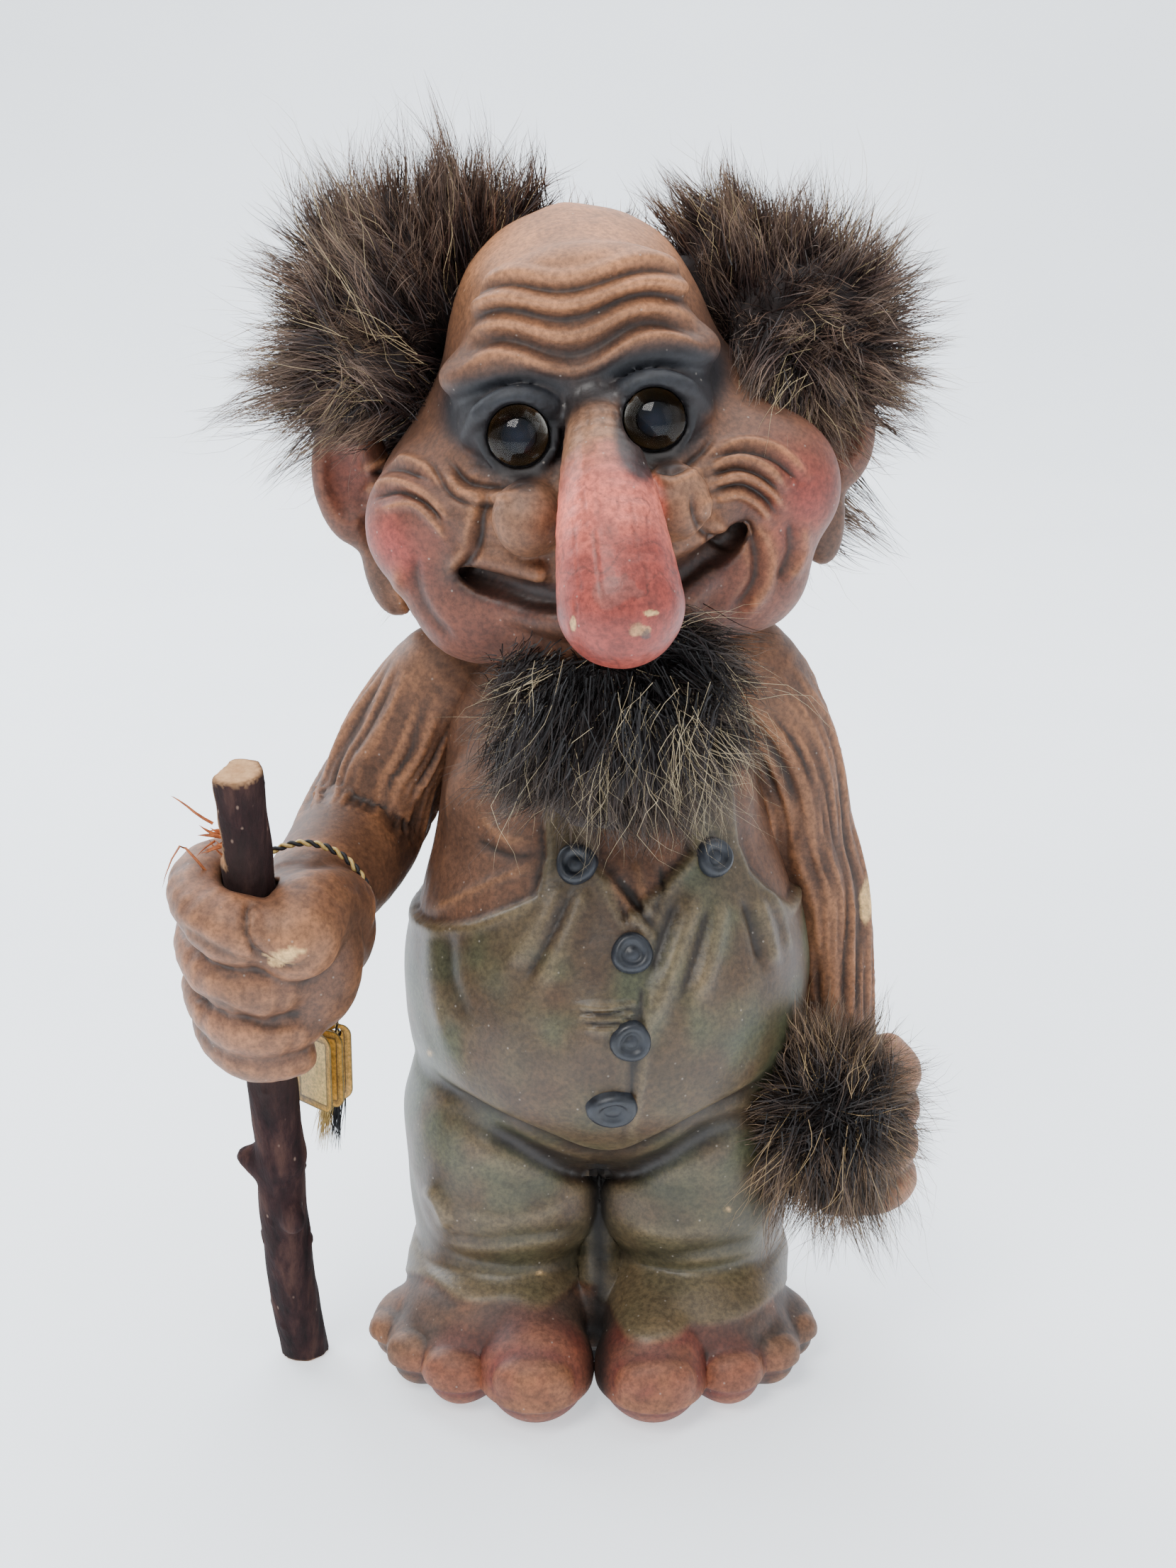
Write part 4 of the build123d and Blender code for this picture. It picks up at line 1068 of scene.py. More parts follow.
@dataclass
class Torso:
    """The cast body: belly and chest in bib overalls, trouser legs, and bare feet with four toes each."""

    belly_width: float = 83.0
    belly_depth: float = 82.0
    belly_x: float = 2.7
    belly_y: float = -9.5
    base: float = 46.0
    height: float = 120.0
    cloth: float = 1.2
    pitch: float = 0.85
    plug_y: float = -16.0
    plug_radius: float = 9.2
    rows: Rows = (
        (0, 0, 0.03, 0.62, 0.5), (0.08, 0, 0.02, 0.84, 0.72), (0.17, 0, 0.01, 0.94, 0.88),
        (0.27, 0, 0, 0.99, 0.97), (0.37, 0, 0, 1, 1), (0.48, 0, 0.01, 0.94, 0.91),
        (0.6, -0.01, 0.03, 0.84, 0.77), (0.72, -0.02, 0.07, 0.78, 0.65), (0.83, -0.02, 0.1, 0.76, 0.56),
        (0.91, -0.02, 0.11, 0.6, 0.46), (0.96, -0.02, 0.11, 0.41, 0.38), (1, -0.02, 0.11, 0.36, 0.36),
    )
    bib: Rows = (
        (-0.75, -0.33), (-0.75, 0.43), (-0.49, 0.45), (-0.33, 0.5), (-0.17, 0.56), (-0.145, 0.62),
        (-0.19, 1.02), (-0.08, 1.02), (-0.03, 0.62), (0.04, 0.53), (0.2, 0.62), (0.15, 1.02), (0.26, 1.02),
        (0.31, 0.62), (0.34, 0.57), (0.44, 0.49), (0.72, 0.47), (0.72, -0.33),
    )
    leg_size: Point = (43, 56, 56)
    leg_base: float = 13.0
    leg_x: tuple[float, float] = (-18.55, 20.95)
    leg_y: float = -6.0
    leg_rows: Rows = (
        (0, 0, 0, 0.86, 0.84), (0.05, 0, 0, 0.93, 0.9), (0.15, 0, 0, 0.94, 0.91), (0.2, 0, 0, 0.9, 0.87),
        (0.45, 0, -0.01, 0.96, 0.95), (0.75, 0, -0.02, 0.99, 1), (1, 0.02, 0, 0.85, 0.92),
    )
    foot_size: Point = (41, 62, 19)
    foot_rows: Rows = (
        (0, 0, 0, 0.97, 0.98), (0.35, 0, 0, 1, 1), (0.75, 0, 0.03, 0.9, 0.86), (1, 0, 0.08, 0.72, 0.66),
    )
    toes: Rows = (
        (21.5, 19.5, 28, 12, -41.5, 8.4, 4), (16.5, 15.5, 26, 27, -34.5, 6.6, 12),
        (14.8, 14.5, 24, 35, -27.5, 6.2, 20), (13.5, 13, 21, 39.6, -18.5, 5.8, 30),
    )
    buttons: Rows = (
        (-0.075, 0.615), (0.255, 0.61), (0.055, 0.485), (0.05, 0.345), (0.01, 0.225),
    )
    creases: Rows = (
        (1.1, 1.2, 1.3, 104.5, 6.4, 97.2, 12.2, 89.5), (1.2, -0.8, 4.5, 104, 9.4, 96.5, 14.2, 90.5),
        (2.1, 1.1, 22.6, 100.3, 19.2, 90.2, 14.8, 76.4, 12.3, 66.6),
        (1.5, -0.9, 17.6, 98.3, 15.2, 90.2, 12.2, 80.4), (2.3, 1, 27.3, 99.7, 25.6, 87.4, 21.9, 73.6),
        (1.3, -0.7, 24.9, 97.7, 22.6, 86.4, 18.9, 74.6), (2.4, 0.9, -6.9, 103, -11.4, 92.9, -18.5, 81.9),
        (2.4, 0.8, -1.9, 101.7, -5.7, 90.2, -11.5, 76.4), (1.2, -0.6, -4.4, 100.7, -8.7, 91.2, -15.5, 78.4),
        (0.8, 0.8, -3.8, 73.3, 2.6, 72.5, 9.7, 74.2), (0.6, -0.7, -3.4, 72, 2.6, 71.2, 9.7, 73),
        (0.8, 0.7, -2.8, 70.6, 3.3, 70, 9.3, 72), (0.6, -0.7, -2.4, 69.3, 3.3, 68.7, 9, 70.8),
        (0.8, 0.6, -1.9, 68, 3.3, 67.5, 8.8, 69.4), (0.8, 0.5, -1.2, 50.8, 3.3, 49.8, 7.9, 51.5),
        (0.9, -0.8, 11.1, 79.8, 9.8, 69.4, 8.4, 53.9, 6.4, 41.1),
        (1.2, 0.6, 12.6, 79.8, 11.5, 69.4, 10, 53.9, 7.9, 42.1), (1.6, 1, 34.5, 99.7, 37.2, 91.5, 39.1, 81.9),
        (1.2, -0.8, 32, 98.7, 34.4, 91.5, 36.4, 82.9), (1.4, 0.7, 36.7, 101.7, 40.1, 94.2, 42.2, 84.7),
        (2, 0.7, -34.4, 92.4, -35.2, 80.4, -32.2, 66.2), (1.6, -0.5, -31.4, 91.4, -31.2, 80.4, -27.2, 69.2),
        (1.3, -0.35, -34.6, 18, -25.1, 16.2, -13.1, 17.4, -3.2, 19.2),
        (1.8, 0.35, -34.6, 16.2, -25.1, 14.2, -13.1, 15.4, -3.2, 17.2),
        (1.3, -0.35, 4.4, 14, 14.7, 12.5, 28, 14, 37.9, 17),
        (1.8, 0.35, 4.4, 12, 14.7, 10.5, 28, 12, 37.9, 15),
        (2.2, 0.4, -30.3, 25.1, -22.4, 21.4, -11.8, 22.9, -5.8, 26.5),
        (2.2, 0.4, 7.4, 19.2, 18.7, 17.4, 29.2, 19.2), (1.8, 1.2, -37.4, 30.2, -34.2, 25.1, -32.3, 19.2),
        (1.5, -2, -39.3, 63, -34.6, 55, -23.5, 47, -11, 40.8, -1.7, 36.8, 6.3, 36.4, 14.2, 40, 23.9, 45.6,
         35.1, 52.8, 43, 61.5),
        (2.6, -1.7, -30, 47.5, -17, 39.2, -4, 33.6, 6.3, 33, 15.5, 36.2, 26, 43, 36, 50.5),
        (1.4, -0.4, 0.6, 34.5, 0.9, 25, 1, 14, 0.6, 5),
        (1.3, 0.5, -36.8, 94.2, -29.1, 98.3, -17.7, 103.7, -10.7, 105.7),
        (0.9, 0.8, 8.9, 106.7, 10.2, 100.3, 12.1, 93.5), (0.8, -0.7, 13.9, 106.4, 14.6, 100.7, 12.8, 94.2),
        (1.1, -0.6, -26, 112, -18, 108, -12, 108.5), (1.2, 0.6, -24, 117, -19, 112, -14, 111.5),
    )

    def sculpt(self) -> Skin:
        """Builds the body's form from rounded masses.

        Returns:
            The new surface.
        """
        clay = Clay((-62, -72, -2), (64, 48, 170), self.pitch)
        size = (self.belly_width, self.belly_depth, self.height)
        origin = (self.belly_x, self.belly_y, self.base)
        for x in self.leg_x:
            clay.stack((x, self.leg_y, self.leg_base), self.leg_size, self.leg_rows, 1, round_end=1.5)
            clay.egg((x * 0.93, -21, 40), (18.4, 13.5, 16), 1.6)
            clay.egg((x, 16, 50), (18.5, 14, 17), 5)
        clay.egg((1.2, -12, 30), (6, 13, 18), 2)
        clay.egg((1, -12, 17), (6, 17.5, 12), 2)
        clay.stack(origin, size, self.rows, 1.6, round_end=4)
        clay.egg((2, -26, 80), (33, 25.5, 24), 3)
        for side in (-1, 1):
            clay.egg((self.belly_x - 1.5 + side * 16, -19, 128), (15, 9, 12), 6)
        for side in (-1, 1):
            clay.stack((side * 20.5, -7, 0), self.foot_size, self.foot_rows, 2.5, round_end=4)
            clay.egg((side * 20.5, -21.5, 13), (19.5, 20.5, 12), 5)
            for width, height, length, out, depth, up, turn in self.toes:
                lean = math.radians(turn)
                axes = np.array(((math.cos(lean), side * math.sin(lean), 0),
                                 (side * math.sin(lean), -math.cos(lean), 0), (0, 0, 1)))
                heart = np.array((side * out, depth, up))
                clay.egg(heart, (width / 2, length / 2, height / 2), 2.4, axes)
                tip = heart + axes[1] * length * 0.36 + (0, 0, height * 0.16)
                clay.egg(tip, (width * 0.33, length * 0.13, height * 0.22), 1.2, axes)
                clay.chain([(side * (out * 0.55 + 7.5), -25, 16, width * 0.4),
                            (side * out, depth - 1, up + 1, width * 0.46)], 2.2)
        clay.egg((0, self.plug_y + 10, 7), (17, 23, 7), 2)
        clay.floor(0)
        points, faces = clay.skin()
        skin = Skin(points, faces)
        skin.relax(1, 0.4)
        return skin

    def cloth_cover(self, points: Array) -> Array:
        """How far inside the overalls each point lies: distance to their upper edge, below zero inside."""
        outline = np.array(self.bib) * (self.belly_width, self.height) + (self.belly_x, self.base)
        return inside_distance(points[:, [0, 2]], outline)

    def dress(self, skin: Skin) -> None:
        """Presses in the cloth's edge and folds, and paints skin, cloth and feet, with painted shade in
        hollows, creases and the gap between the legs, and painted highlights on ridges and upward faces.

        Args:
            skin: The surface that is worked.
        """
        edge = self.cloth_cover(skin.points)
        z = skin.points[:, 2]
        cover = 1 - ease(-0.7, 0.7, edge)
        hem = bell(edge + 1.2, 1.1) * (z > 90)
        soft = layered(skin.points, 11, 3, 2)
        skin.push(self.cloth * cover + 0.5 * hem + 0.35 * soft * cover)
        wood = noise(skin.points * (1, 1, 0.2), 2.6, 5)
        skin.push(0.28 * wood * (1 - cover) * (z > 95))
        ahead = ease(-6, -30, skin.points[:, 1])
        level = 13.2 + np.where(skin.points[:, 0] < 1.2, 7.5, 4.5) * ahead + 0.8 * noise(skin.points, 9, 13)
        cuff = ease(-0.7, 0.7, z - level)
        foot = 1 - cuff
        skin.push(0.7 * cuff * (1 - ease(5, 9, z - level)))
        skin.tint(SKIN)
        skin.tint(ARM, 0.5 + 0.4 * layered(skin.points, 9, 8, 2))
        patch = layered(skin.points, 16, 11, 3)
        cloth_mask = cover * cuff
        skin.tint(OLIVE, cloth_mask)
        skin.tint(OLIVE_GREEN, cloth_mask * ease(0, 0.7, patch + 0.3 * bell(z - 62, 28))
                  * (0.4 + 0.4 * ease(36, 60, z)))
        skin.tint(OLIVE_BROWN, cloth_mask * 0.8
                  * ease(0, 0.9, -patch + 0.5 * bell(z - 100, 12) + 0.3 * bell(z - 45, 14)))
        # a painted highlight on the cloth's upward faces, where the light from above falls
        upward = skin.normals()[:, 2]
        skin.tint(OLIVE_HIGHLIGHT, cloth_mask * ease(0.25, 0.95, upward + 0.25 * soft) * 0.4)
        skin.tint(FOOT, foot)
        toe = ease(0, 1, (-skin.points[:, 1] - 37) / 9 + 0.25 * patch) * foot
        skin.tint(TOE, toe * 0.7)
        skin.tint(TOE_OCHRE, foot * ease(0.2, 0.9, layered(skin.points, 7, 21, 2)) * 0.6)
        # a grey painted highlight on the feet's upward faces
        skin.tint(GREY_DUST_AND_TOP_HIGHLIGHT, foot * ease(0.6, 1, upward) * 0.28)
        skin.gloss[:] = 0.28 + 0.38 * cloth_mask
        # painted shade in the creases of the folds and a painted highlight on their ridges
        draw_strokes(skin, self.creases, OLIVE_SHADE, OLIVE_HIGHLIGHT)
        # painted shade in the hollows, fine and broad, and painted highlights on the ridges
        hollow = skin.hollows(8)
        skin.tint(BODY_HOLLOW_SHADE, ease(0.06, 0.55, hollow) * 0.85)
        skin.tint(BODY_HOLLOW_SHADE, ease(0.15, 1.8, skin.hollows(40)) * 0.6)
        skin.tint(OLIVE_HIGHLIGHT, cloth_mask * ease(0.04, 0.28, -hollow) * 0.45)
        skin.tint(PALE_SKIN_AND_HIGHLIGHT, (1 - cloth_mask) * ease(0.05, 0.3, -hollow) * 0.22)
        # a near-black strip of painted shade in the gap between the legs, without gloss
        middle = bell(skin.points[:, 0] - 1.2, 2.6) * (z < 50) * (skin.points[:, 1] < 8)
        skin.tint(LEG_GAP_SHADE, middle * 0.92)
        skin.gloss *= 1 - 0.9 * middle
        front = skin.normals()[:, 1] < 0
        seen = seen_at(skin.points)
        for x, height in ((-36, 62), (30, 24), (-12, 8)):
            skin.tint(CHIP, bell(np.hypot(seen[:, 0] - x, seen[:, 1] - height), 0.5) * 0.9 * front)
        plug = np.hypot(skin.points[:, 0], skin.points[:, 1] - self.plug_y) < self.plug_radius
        skin.points[plug & (z < 0.5), 2] = 3.0

    def surface(self, skin: Skin, side_share: float, level: float) -> Pair:
        """The place and outward direction at a spot on the front.

        Args:
            skin: The surface that is worked.
            side_share: The spot's share of the belly's width.
            level: Its share of the trunk's height.

        Returns:
            The place, and the direction of length one.
        """
        x = self.belly_x + self.belly_width * side_share
        z = self.base + self.height * level
        normals = skin.normals()
        front = normals[:, 1] < -0.2
        gap = np.hypot(skin.points[:, 0] - x, skin.points[:, 2] - z) + (~front) * 99
        near = np.argsort(gap)[:40]
        return skin.points[near].mean(axis=0), unit(normals[near].mean(axis=0))

    def make_buttons(self, skin: Skin, finish: Material) -> None:
        """Sets a moulded button with a rim and a dished middle at each place.

        Args:
            skin: The body's surface.
            finish: The buttons' material.
        """
        profile = [(0, 1.35), (0.9, 1.3), (1.3, 0.95), (1.8, 0.9), (2.2, 1.5), (3, 1.85), (3.7, 1.5),
                   (4.1, 0.6), (4.2, -1.4)]
        sides = 36
        for number, (side_share, level) in enumerate(self.buttons, start=1):
            place, outward = self.surface(skin, side_share, level)
            across = unit(np.cross((0, 0, 1), outward))
            up = np.cross(outward, across)
            points, faces = [place + outward * profile[0][1]], []
            wide = 1.25 if number == len(self.buttons) else 1.0
            for radius, rise in profile[1:]:
                for k in range(sides):
                    angle = 2 * math.pi * k / sides
                    wobble = 1 + 0.03 * math.sin(3 * angle + number)
                    points.append(place + outward * rise + radius * wobble
                                  * (across * math.cos(angle) * wide + up * math.sin(angle)))
            faces += [[0, 1 + k, 1 + (k + 1) % sides] for k in range(sides)]
            for ring in range(len(profile) - 2):
                a = 1 + ring * sides
                faces += [[a + k, a + sides + k, a + sides + (k + 1) % sides, a + (k + 1) % sides]
                          for k in range(sides)]
            mesh_piece(f"overall_button_{number}", np.array(points), faces, finish, Body.FIGURE)

    def build(self, painted: Material, button: Material) -> None:
        """Makes the body casting and its buttons.

        Args:
            painted: The painted casting's material.
            button: The buttons' material.
        """
        skin = self.sculpt()
        self.dress(skin)
        skin.make("body_skin", painted, Body.FIGURE, "painted_overalls", ("body_casting",))
        self.make_buttons(skin, button)


@dataclass
class Head:
    """The cast head: bald crown with waved folds, hooded eye sockets, long nose, cheeks, smile and ears."""

    origin: Point = (0.2, 0, 190)
    roll: float = 7.0
    jaw_drop: float = 31.0
    size: Point = (88, 76, 86)
    pitch: float = 0.7
    rows: Rows = (
        (0, 0, -0.13, 0.45, 0.53), (0.047, 0, -0.13, 0.68, 0.74), (0.128, 0, -0.12, 0.86, 0.88),
        (0.244, 0, -0.105, 0.955, 0.96), (0.36, 0, -0.09, 1, 1), (0.453, 0, -0.08, 0.955, 1),
        (0.547, 0, -0.08, 0.8, 0.97), (0.663, 0, -0.066, 0.64, 0.93), (0.779, 0, -0.053, 0.56, 0.86),
        (0.884, 0, -0.04, 0.455, 0.7), (0.953, 0, -0.03, 0.295, 0.46), (1, 0, -0.02, 0.08, 0.13),
    )
    eye_middle: float = 0.3
    eye_reach: float = 12.8
    eye_v: float = -37.6
    eye_w: float = 16.6
    eye_radius: float = 6.0
    nose: Rows = (
        (2.5, -36, 21, 5), (2.6, -45, 15, 6.8), (2.8, -53.5, 8, 8.7), (2.9, -61.5, -1, 10.4),
        (3.1, -68, -10.5, 11.6),
    )
    creases: Rows = (
        (0.8, -0.9, -29.5, 193.5, -25.8, 188.9, -20, 187.7, -14.2, 189.2),
        (1.1, 0.8, -30.5, 191, -26.8, 186.6, -20, 185.4, -15.2, 186.6),
        (0.7, -0.7, -33.4, 193.5, -29.6, 186.6, -23.9, 183.8, -19.1, 184.2),
        (0.8, -0.9, 9.8, 192.6, 15.6, 190.8, 21.3, 194.3, 24.1, 198.3),
        (1.1, 0.7, 11.8, 190.2, 16.6, 188.8, 22.3, 191.8),
        (1, 1.1, 23.3, 191.6, 29, 193.5, 34.8, 191.6, 38.7, 187.7),
        (0.7, -1, 23.3, 190, 29, 191.6, 34.3, 189.6, 38, 185.9),
        (1, 1.1, 24.3, 188.4, 30, 189.9, 35.4, 187.5, 38.4, 183.8),
        (0.7, -1, 24, 186.7, 29.8, 188, 34.6, 185.4, 37, 182.2),
        (1, 0.9, 23.8, 184.9, 29.6, 186.1, 34, 183.4, 36, 180.4),
        (1, 0.9, 24.2, 195.5, 30.8, 197, 37.6, 195.3, 43.5, 190),
        (0.7, -0.9, 24.2, 193.7, 30.8, 195.2, 37, 193.3, 42, 188.6),
        (1, 0.9, -47, 186.7, -41.2, 188.9, -34.5, 186.2, -29.8, 181.3),
        (0.7, -0.9, -46, 184.9, -40.2, 186.9, -34.3, 184, -30.8, 179.3),
        (1, 0.8, -44.2, 182.8, -37.4, 184.1, -32.7, 180.6, -29.8, 175.9),
        (1, 0.8, -46.8, 191.6, -40.1, 193.7, -34.4, 191.8, -30.5, 187.5),
        (0.7, -0.8, -46.3, 189.9, -40.1, 191.6, -34.4, 189.4),
        (1, -0.9, -21, 188.2, -22.8, 181.8, -23.6, 175.9, -28, 168.9),
        (1.3, 0.7, -23.6, 187.2, -25.6, 180.8, -27, 174.9, -31, 168.9),
        (0.9, -0.9, 19.9, 186.7, 20.9, 180.8, 23.7, 177.2, 27.9, 174.9),
        (1.2, 0.6, 22.4, 186.2, 23.9, 181.3, 27.5, 178.2),
        (1.2, -0.9, 30.2, 181.8, 33, 174.9, 33, 167.9, 28.4, 160.9),
        (1.4, 0.8, 33.2, 180.8, 36, 174.9, 36, 167.9, 31.6, 160.9),
        (1.2, -0.8, -36.6, 173.9, -36.8, 166.9, -34, 160.4, -28.7, 154.8),
        (1.4, 0.7, -40.6, 171.9, -40.2, 164.9, -37, 158.9),
        (1.3, -0.9, 39.9, 180.9, 40.6, 173.9, 37.7, 167.9), (1.2, 0.6, 42.9, 179.9, 43.1, 173.9, 40.2, 167.9),
    )

    def axes(self) -> Array:
        """The head's own sideways, depth and upward directions, one to a row."""
        a = math.radians(self.roll)
        return np.array([(math.cos(a), 0, math.sin(a)), (0, 1, 0), (-math.sin(a), 0, math.cos(a))])

    def eye_u(self, side: int) -> float:
        """How far sideways an eye's middle lies in the head's own frame."""
        return self.eye_middle + side * self.eye_reach

    def world(self, local: Array) -> Array:
        """Places in the head's own frame brought to the row frame."""
        return np.asarray(local) @ self.axes() + self.origin

    def local(self, points: Array) -> Array:
        """Places in the row frame brought to the head's own frame."""
        return (points - self.origin) @ self.axes().T

    def sculpt(self) -> Skin:
        """Builds the head's form in its own frame.

        Returns:
            The new surface.
        """
        clay = Clay((-66, -84, -36), (66, 40, 60), self.pitch)
        clay.stack((0, 0, -self.jaw_drop), self.size, self.rows, 2, round_end=5)
        clay.egg((2, -30, 40), (20, 9, 10), 8)
        for side in (-1, 1):
            eye_u = self.eye_u(side)
            clay.egg((eye_u + side * 0.5, -31.5, 28), (13.5, 8.5, 6), 7)
            clay.egg((eye_u + side * 0.5, -43.5, 17), (12.5, 10.5, 10), 3.5, carve=True)
            clay.egg((eye_u + side, -33, 18.5), (10.5, 8.6, 9.2), 1.5)
            clay.chain([(eye_u - 9.5, -36, 17, 1.4), (eye_u - 6.5, -40.6, 22, 2.1), (eye_u, -41.6, 24.4, 2.4),
                        (eye_u + 6.5, -40.2, 22, 2.1), (eye_u + 9.5, -35.5, 16.5, 1.4)], 1.6, count=13)
            clay.chain([(eye_u - 7.5, -38.5, 10.5, 1.2), (eye_u, -41.5, 7.8, 1.9),
                        (eye_u + 7.5, -38, 10.5, 1.2)], 2, count=9)
            clay.egg((1.2 + side * 31, -24.5, -1), (15.5, 13.5, 15), 7)
            clay.egg((1.2 + side * 22, -34, 3.5), (12, 8, 6), 5)
            clay.egg((1.2 + side * 13.8, -46, 2.4), (6.6, 6.6, 7.2), 2.4)
            clay.egg((1.2 + side * 25, -27, -18), (13, 12, 11), 7)
            clay.egg((side * 49.6, 4, 4.5), (8.4, 4.6, 14.2), 2)
            clay.egg((side * 44.6, 4, -12.5), (5.6, 4.2, 12.6), 3)
            clay.egg((side * 51, -1.2, 5.5), (5.2, 4, 9.6), 1.2, carve=True)
            clay.egg((side * 46.6, -0.4, -6), (2.8, 2.8, 5), 1.5, carve=True)
        clay.egg((1, -33, -24), (21, 13, 8.5), 6)
        clay.egg((1.5, -43.5, -17.5), (15, 4.5, 3.6), 3)
        clay.chain(self.nose, 2.2, count=15)
        clay.chain([(-27, -35, -7, 1.6), (-22.5, -37.5, -9.5, 2.6), (-12, -43.5, -13.5, 1.9),
                    (1, -46, -15.5, 1.6), (14.5, -42.5, -13, 2.1), (24, -37, -8, 2.7),
                    (28, -34, -3.5, 1.7)], 2.6, carve=True, count=25)
        clay.chain([(-18, -40, -16.5, 1.7), (-8, -44.5, -19, 2.3), (1, -46, -20, 2.3),
                    (12, -44, -18.5, 2.3), (20, -39, -14.5, 1.7)], 2, count=17)
        clay.chain([(-27.5, -37.5, -3.5, 1.7), (-20, -40.5, -5.5, 2.2), (-12, -44.5, -8.5, 1.8)], 2.2,
                   count=9)
        clay.chain([(28, -36, 0.5, 1.7), (20.5, -40.5, -4, 2.2), (13, -44, -7, 1.8)], 2.2, count=9)
        for side in (-1, 1):
            lean = math.radians(12)
            axis = np.array((0, -math.cos(lean), math.sin(lean)))
            heart = np.array((self.eye_u(side), self.eye_v, self.eye_w))
            cut, places = clay.window(heart - 14, heart + 14)
            offset = places - heart
            along = offset @ axis
            across = norm(offset - along[..., None] * axis, axis=-1)
            collar = np.maximum(across - (self.eye_radius + 1.7), np.abs(along + 1) - 3.4)
            clay.join(cut, collar, 1)
            bore = np.maximum(across - self.eye_radius, -along)
            clay.join(cut, bore, 0.3, carve=True)
        points, faces = clay.skin()
        skin = Skin(points, faces)
        skin.relax(1, 0.35)
        skin.refine()
        return skin

    def folds(self, local: Array) -> Pair:
        """The waved folds across the forehead.

        Args:
            local: Points in the head's own frame.

        Returns:
            The push outward in millimetres, and how deep in a groove each point lies.
        """
        u, v, w = local.T
        angle = np.arctan2(u - 1.5, -(v + 2))
        height = ease(26, 50, w)
        wave = -(2.6 - 1.5 * height) * np.cos(8.2 * angle + 0.35) - 2.2 * angle**2
        phase = (w - 30 - wave + 0.5 * noise(local, 9, 31)) / (6.2 - 0.9 * height)
        band = ease(-0.45, 0.1, phase) * (1 - ease(2.6, 3.6, phase))
        side = 1 - ease(0.42, 0.62 + 0.3 * height, np.abs(angle))
        ridge = np.cos(2 * math.pi * phase)
        sharp = np.where(ridge > 0, np.abs(ridge) ** 0.8, -np.abs(ridge) ** 1.4)
        mask = band * side * (v < 5)
        return 1.05 * sharp * mask, np.clip(-ridge, 0, 1) ** 0.7 * mask

    def dress(self, skin: Skin) -> None:
        """Presses in folds and creases and paints the face, with painted shade in hollows, grooves, under the
        brow and round the mouth, and painted highlights on ridges.

        Args:
            skin: The surface that is worked.
        """
        local = skin.points.copy()
        push, groove = self.folds(local)
        skin.push(push)
        skin.points = self.world(skin.points)
        u, v, w = local.T
        normal = skin.normals()
        skin.push(0.1 * layered(local, 6, 41, 2))
        skin.tint(SKIN)
        skin.tint(PALE_SKIN_AND_HIGHLIGHT, ease(30, 52, w) * 0.75)
        skin.tint(ARM, ease(0.1, 0.9, layered(local, 12, 43, 3)) * 0.35)
        # painted shade in the grooves of the forehead folds and a painted highlight on their ridges
        skin.tint(DARK_SKIN_AND_SHADE, groove * 0.72)
        skin.tint(PALE_SKIN_AND_HIGHLIGHT, np.clip(push, 0, 1) * 0.4)
        front = v < -8
        # painted shade under the brow and between the brows
        brow_shade = bell((w - 27 + 0.012 * (np.abs(u) - 13) ** 2) / 3, 1) * (1 - ease(20, 29, np.abs(u)))
        skin.tint(BROW_SHADE, np.maximum(brow_shade * 0.8, bell(np.hypot(u / 5.5, (w - 25) / 5), 1) * 0.75) * front)
        sockets = np.zeros(len(u))
        for side in (-1, 1):
            eye_u = self.eye_u(side)
            cheek = bell(norm((local - (side * 39, -30, -2)) / (9.5, 13, 9), axis=1), 1)
            skin.tint(ROSY, cheek * (0.75 + 0.25 * noise(local, 5, 47)))
            jowl = bell(norm((local - (side * 26, -32, -19)) / (14, 12, 9), axis=1), 1)
            skin.tint(ROSY, jowl * 0.3)
            arch = np.hypot((u - eye_u - side * 1.5) / 15.5, (w - 21 - 1.5 * (side > 0)) / 9)
            lower = np.hypot((u - eye_u) / 10.5, (w - 15.5) / 8.5)
            shade = np.maximum(1 - ease(0.72, 1.12, arch), 1 - ease(0.75, 1.15, lower)) * front
            skin.tint(SOCKET, shade * 0.95)
            sockets = np.maximum(sockets, shade)
            lid = bell(np.hypot((u - eye_u) / 8.5, (w - 24.6) / 2.4), 1) * front
            skin.tint(SOCKET_LID_AND_HIGHLIGHT, lid * 0.62)
            bag = bell(np.hypot((u - eye_u) / 10, (w - 5.6) / 2.6), 1) * front
            skin.tint(GREY_DUST_AND_TOP_HIGHLIGHT, bag * 0.55)
            wing = bell(norm((local - (1.2 + side * 13.8, -46, 3)) / (8, 8, 8), axis=1), 1)
            skin.tint(PALE_SKIN_AND_HIGHLIGHT, wing * 0.45)
            bowl = bell(norm((local - (side * 50.5, 0, 5.5)) / (6, 6, 10), axis=1), 1)
            skin.tint(ROSY, bowl * 0.4)
            # painted shade in the ear's bowl
            skin.tint(DARK_SKIN_AND_SHADE, bowl * 0.25)
        path = resample(self.nose, 15)
        gap, along = line_distance(local, path[:, :3])
        radius = np.interp(along, np.linspace(0, 1, len(path)), path[:, 3])
        nose = (1 - ease(1, 3.2, gap - radius)) * front
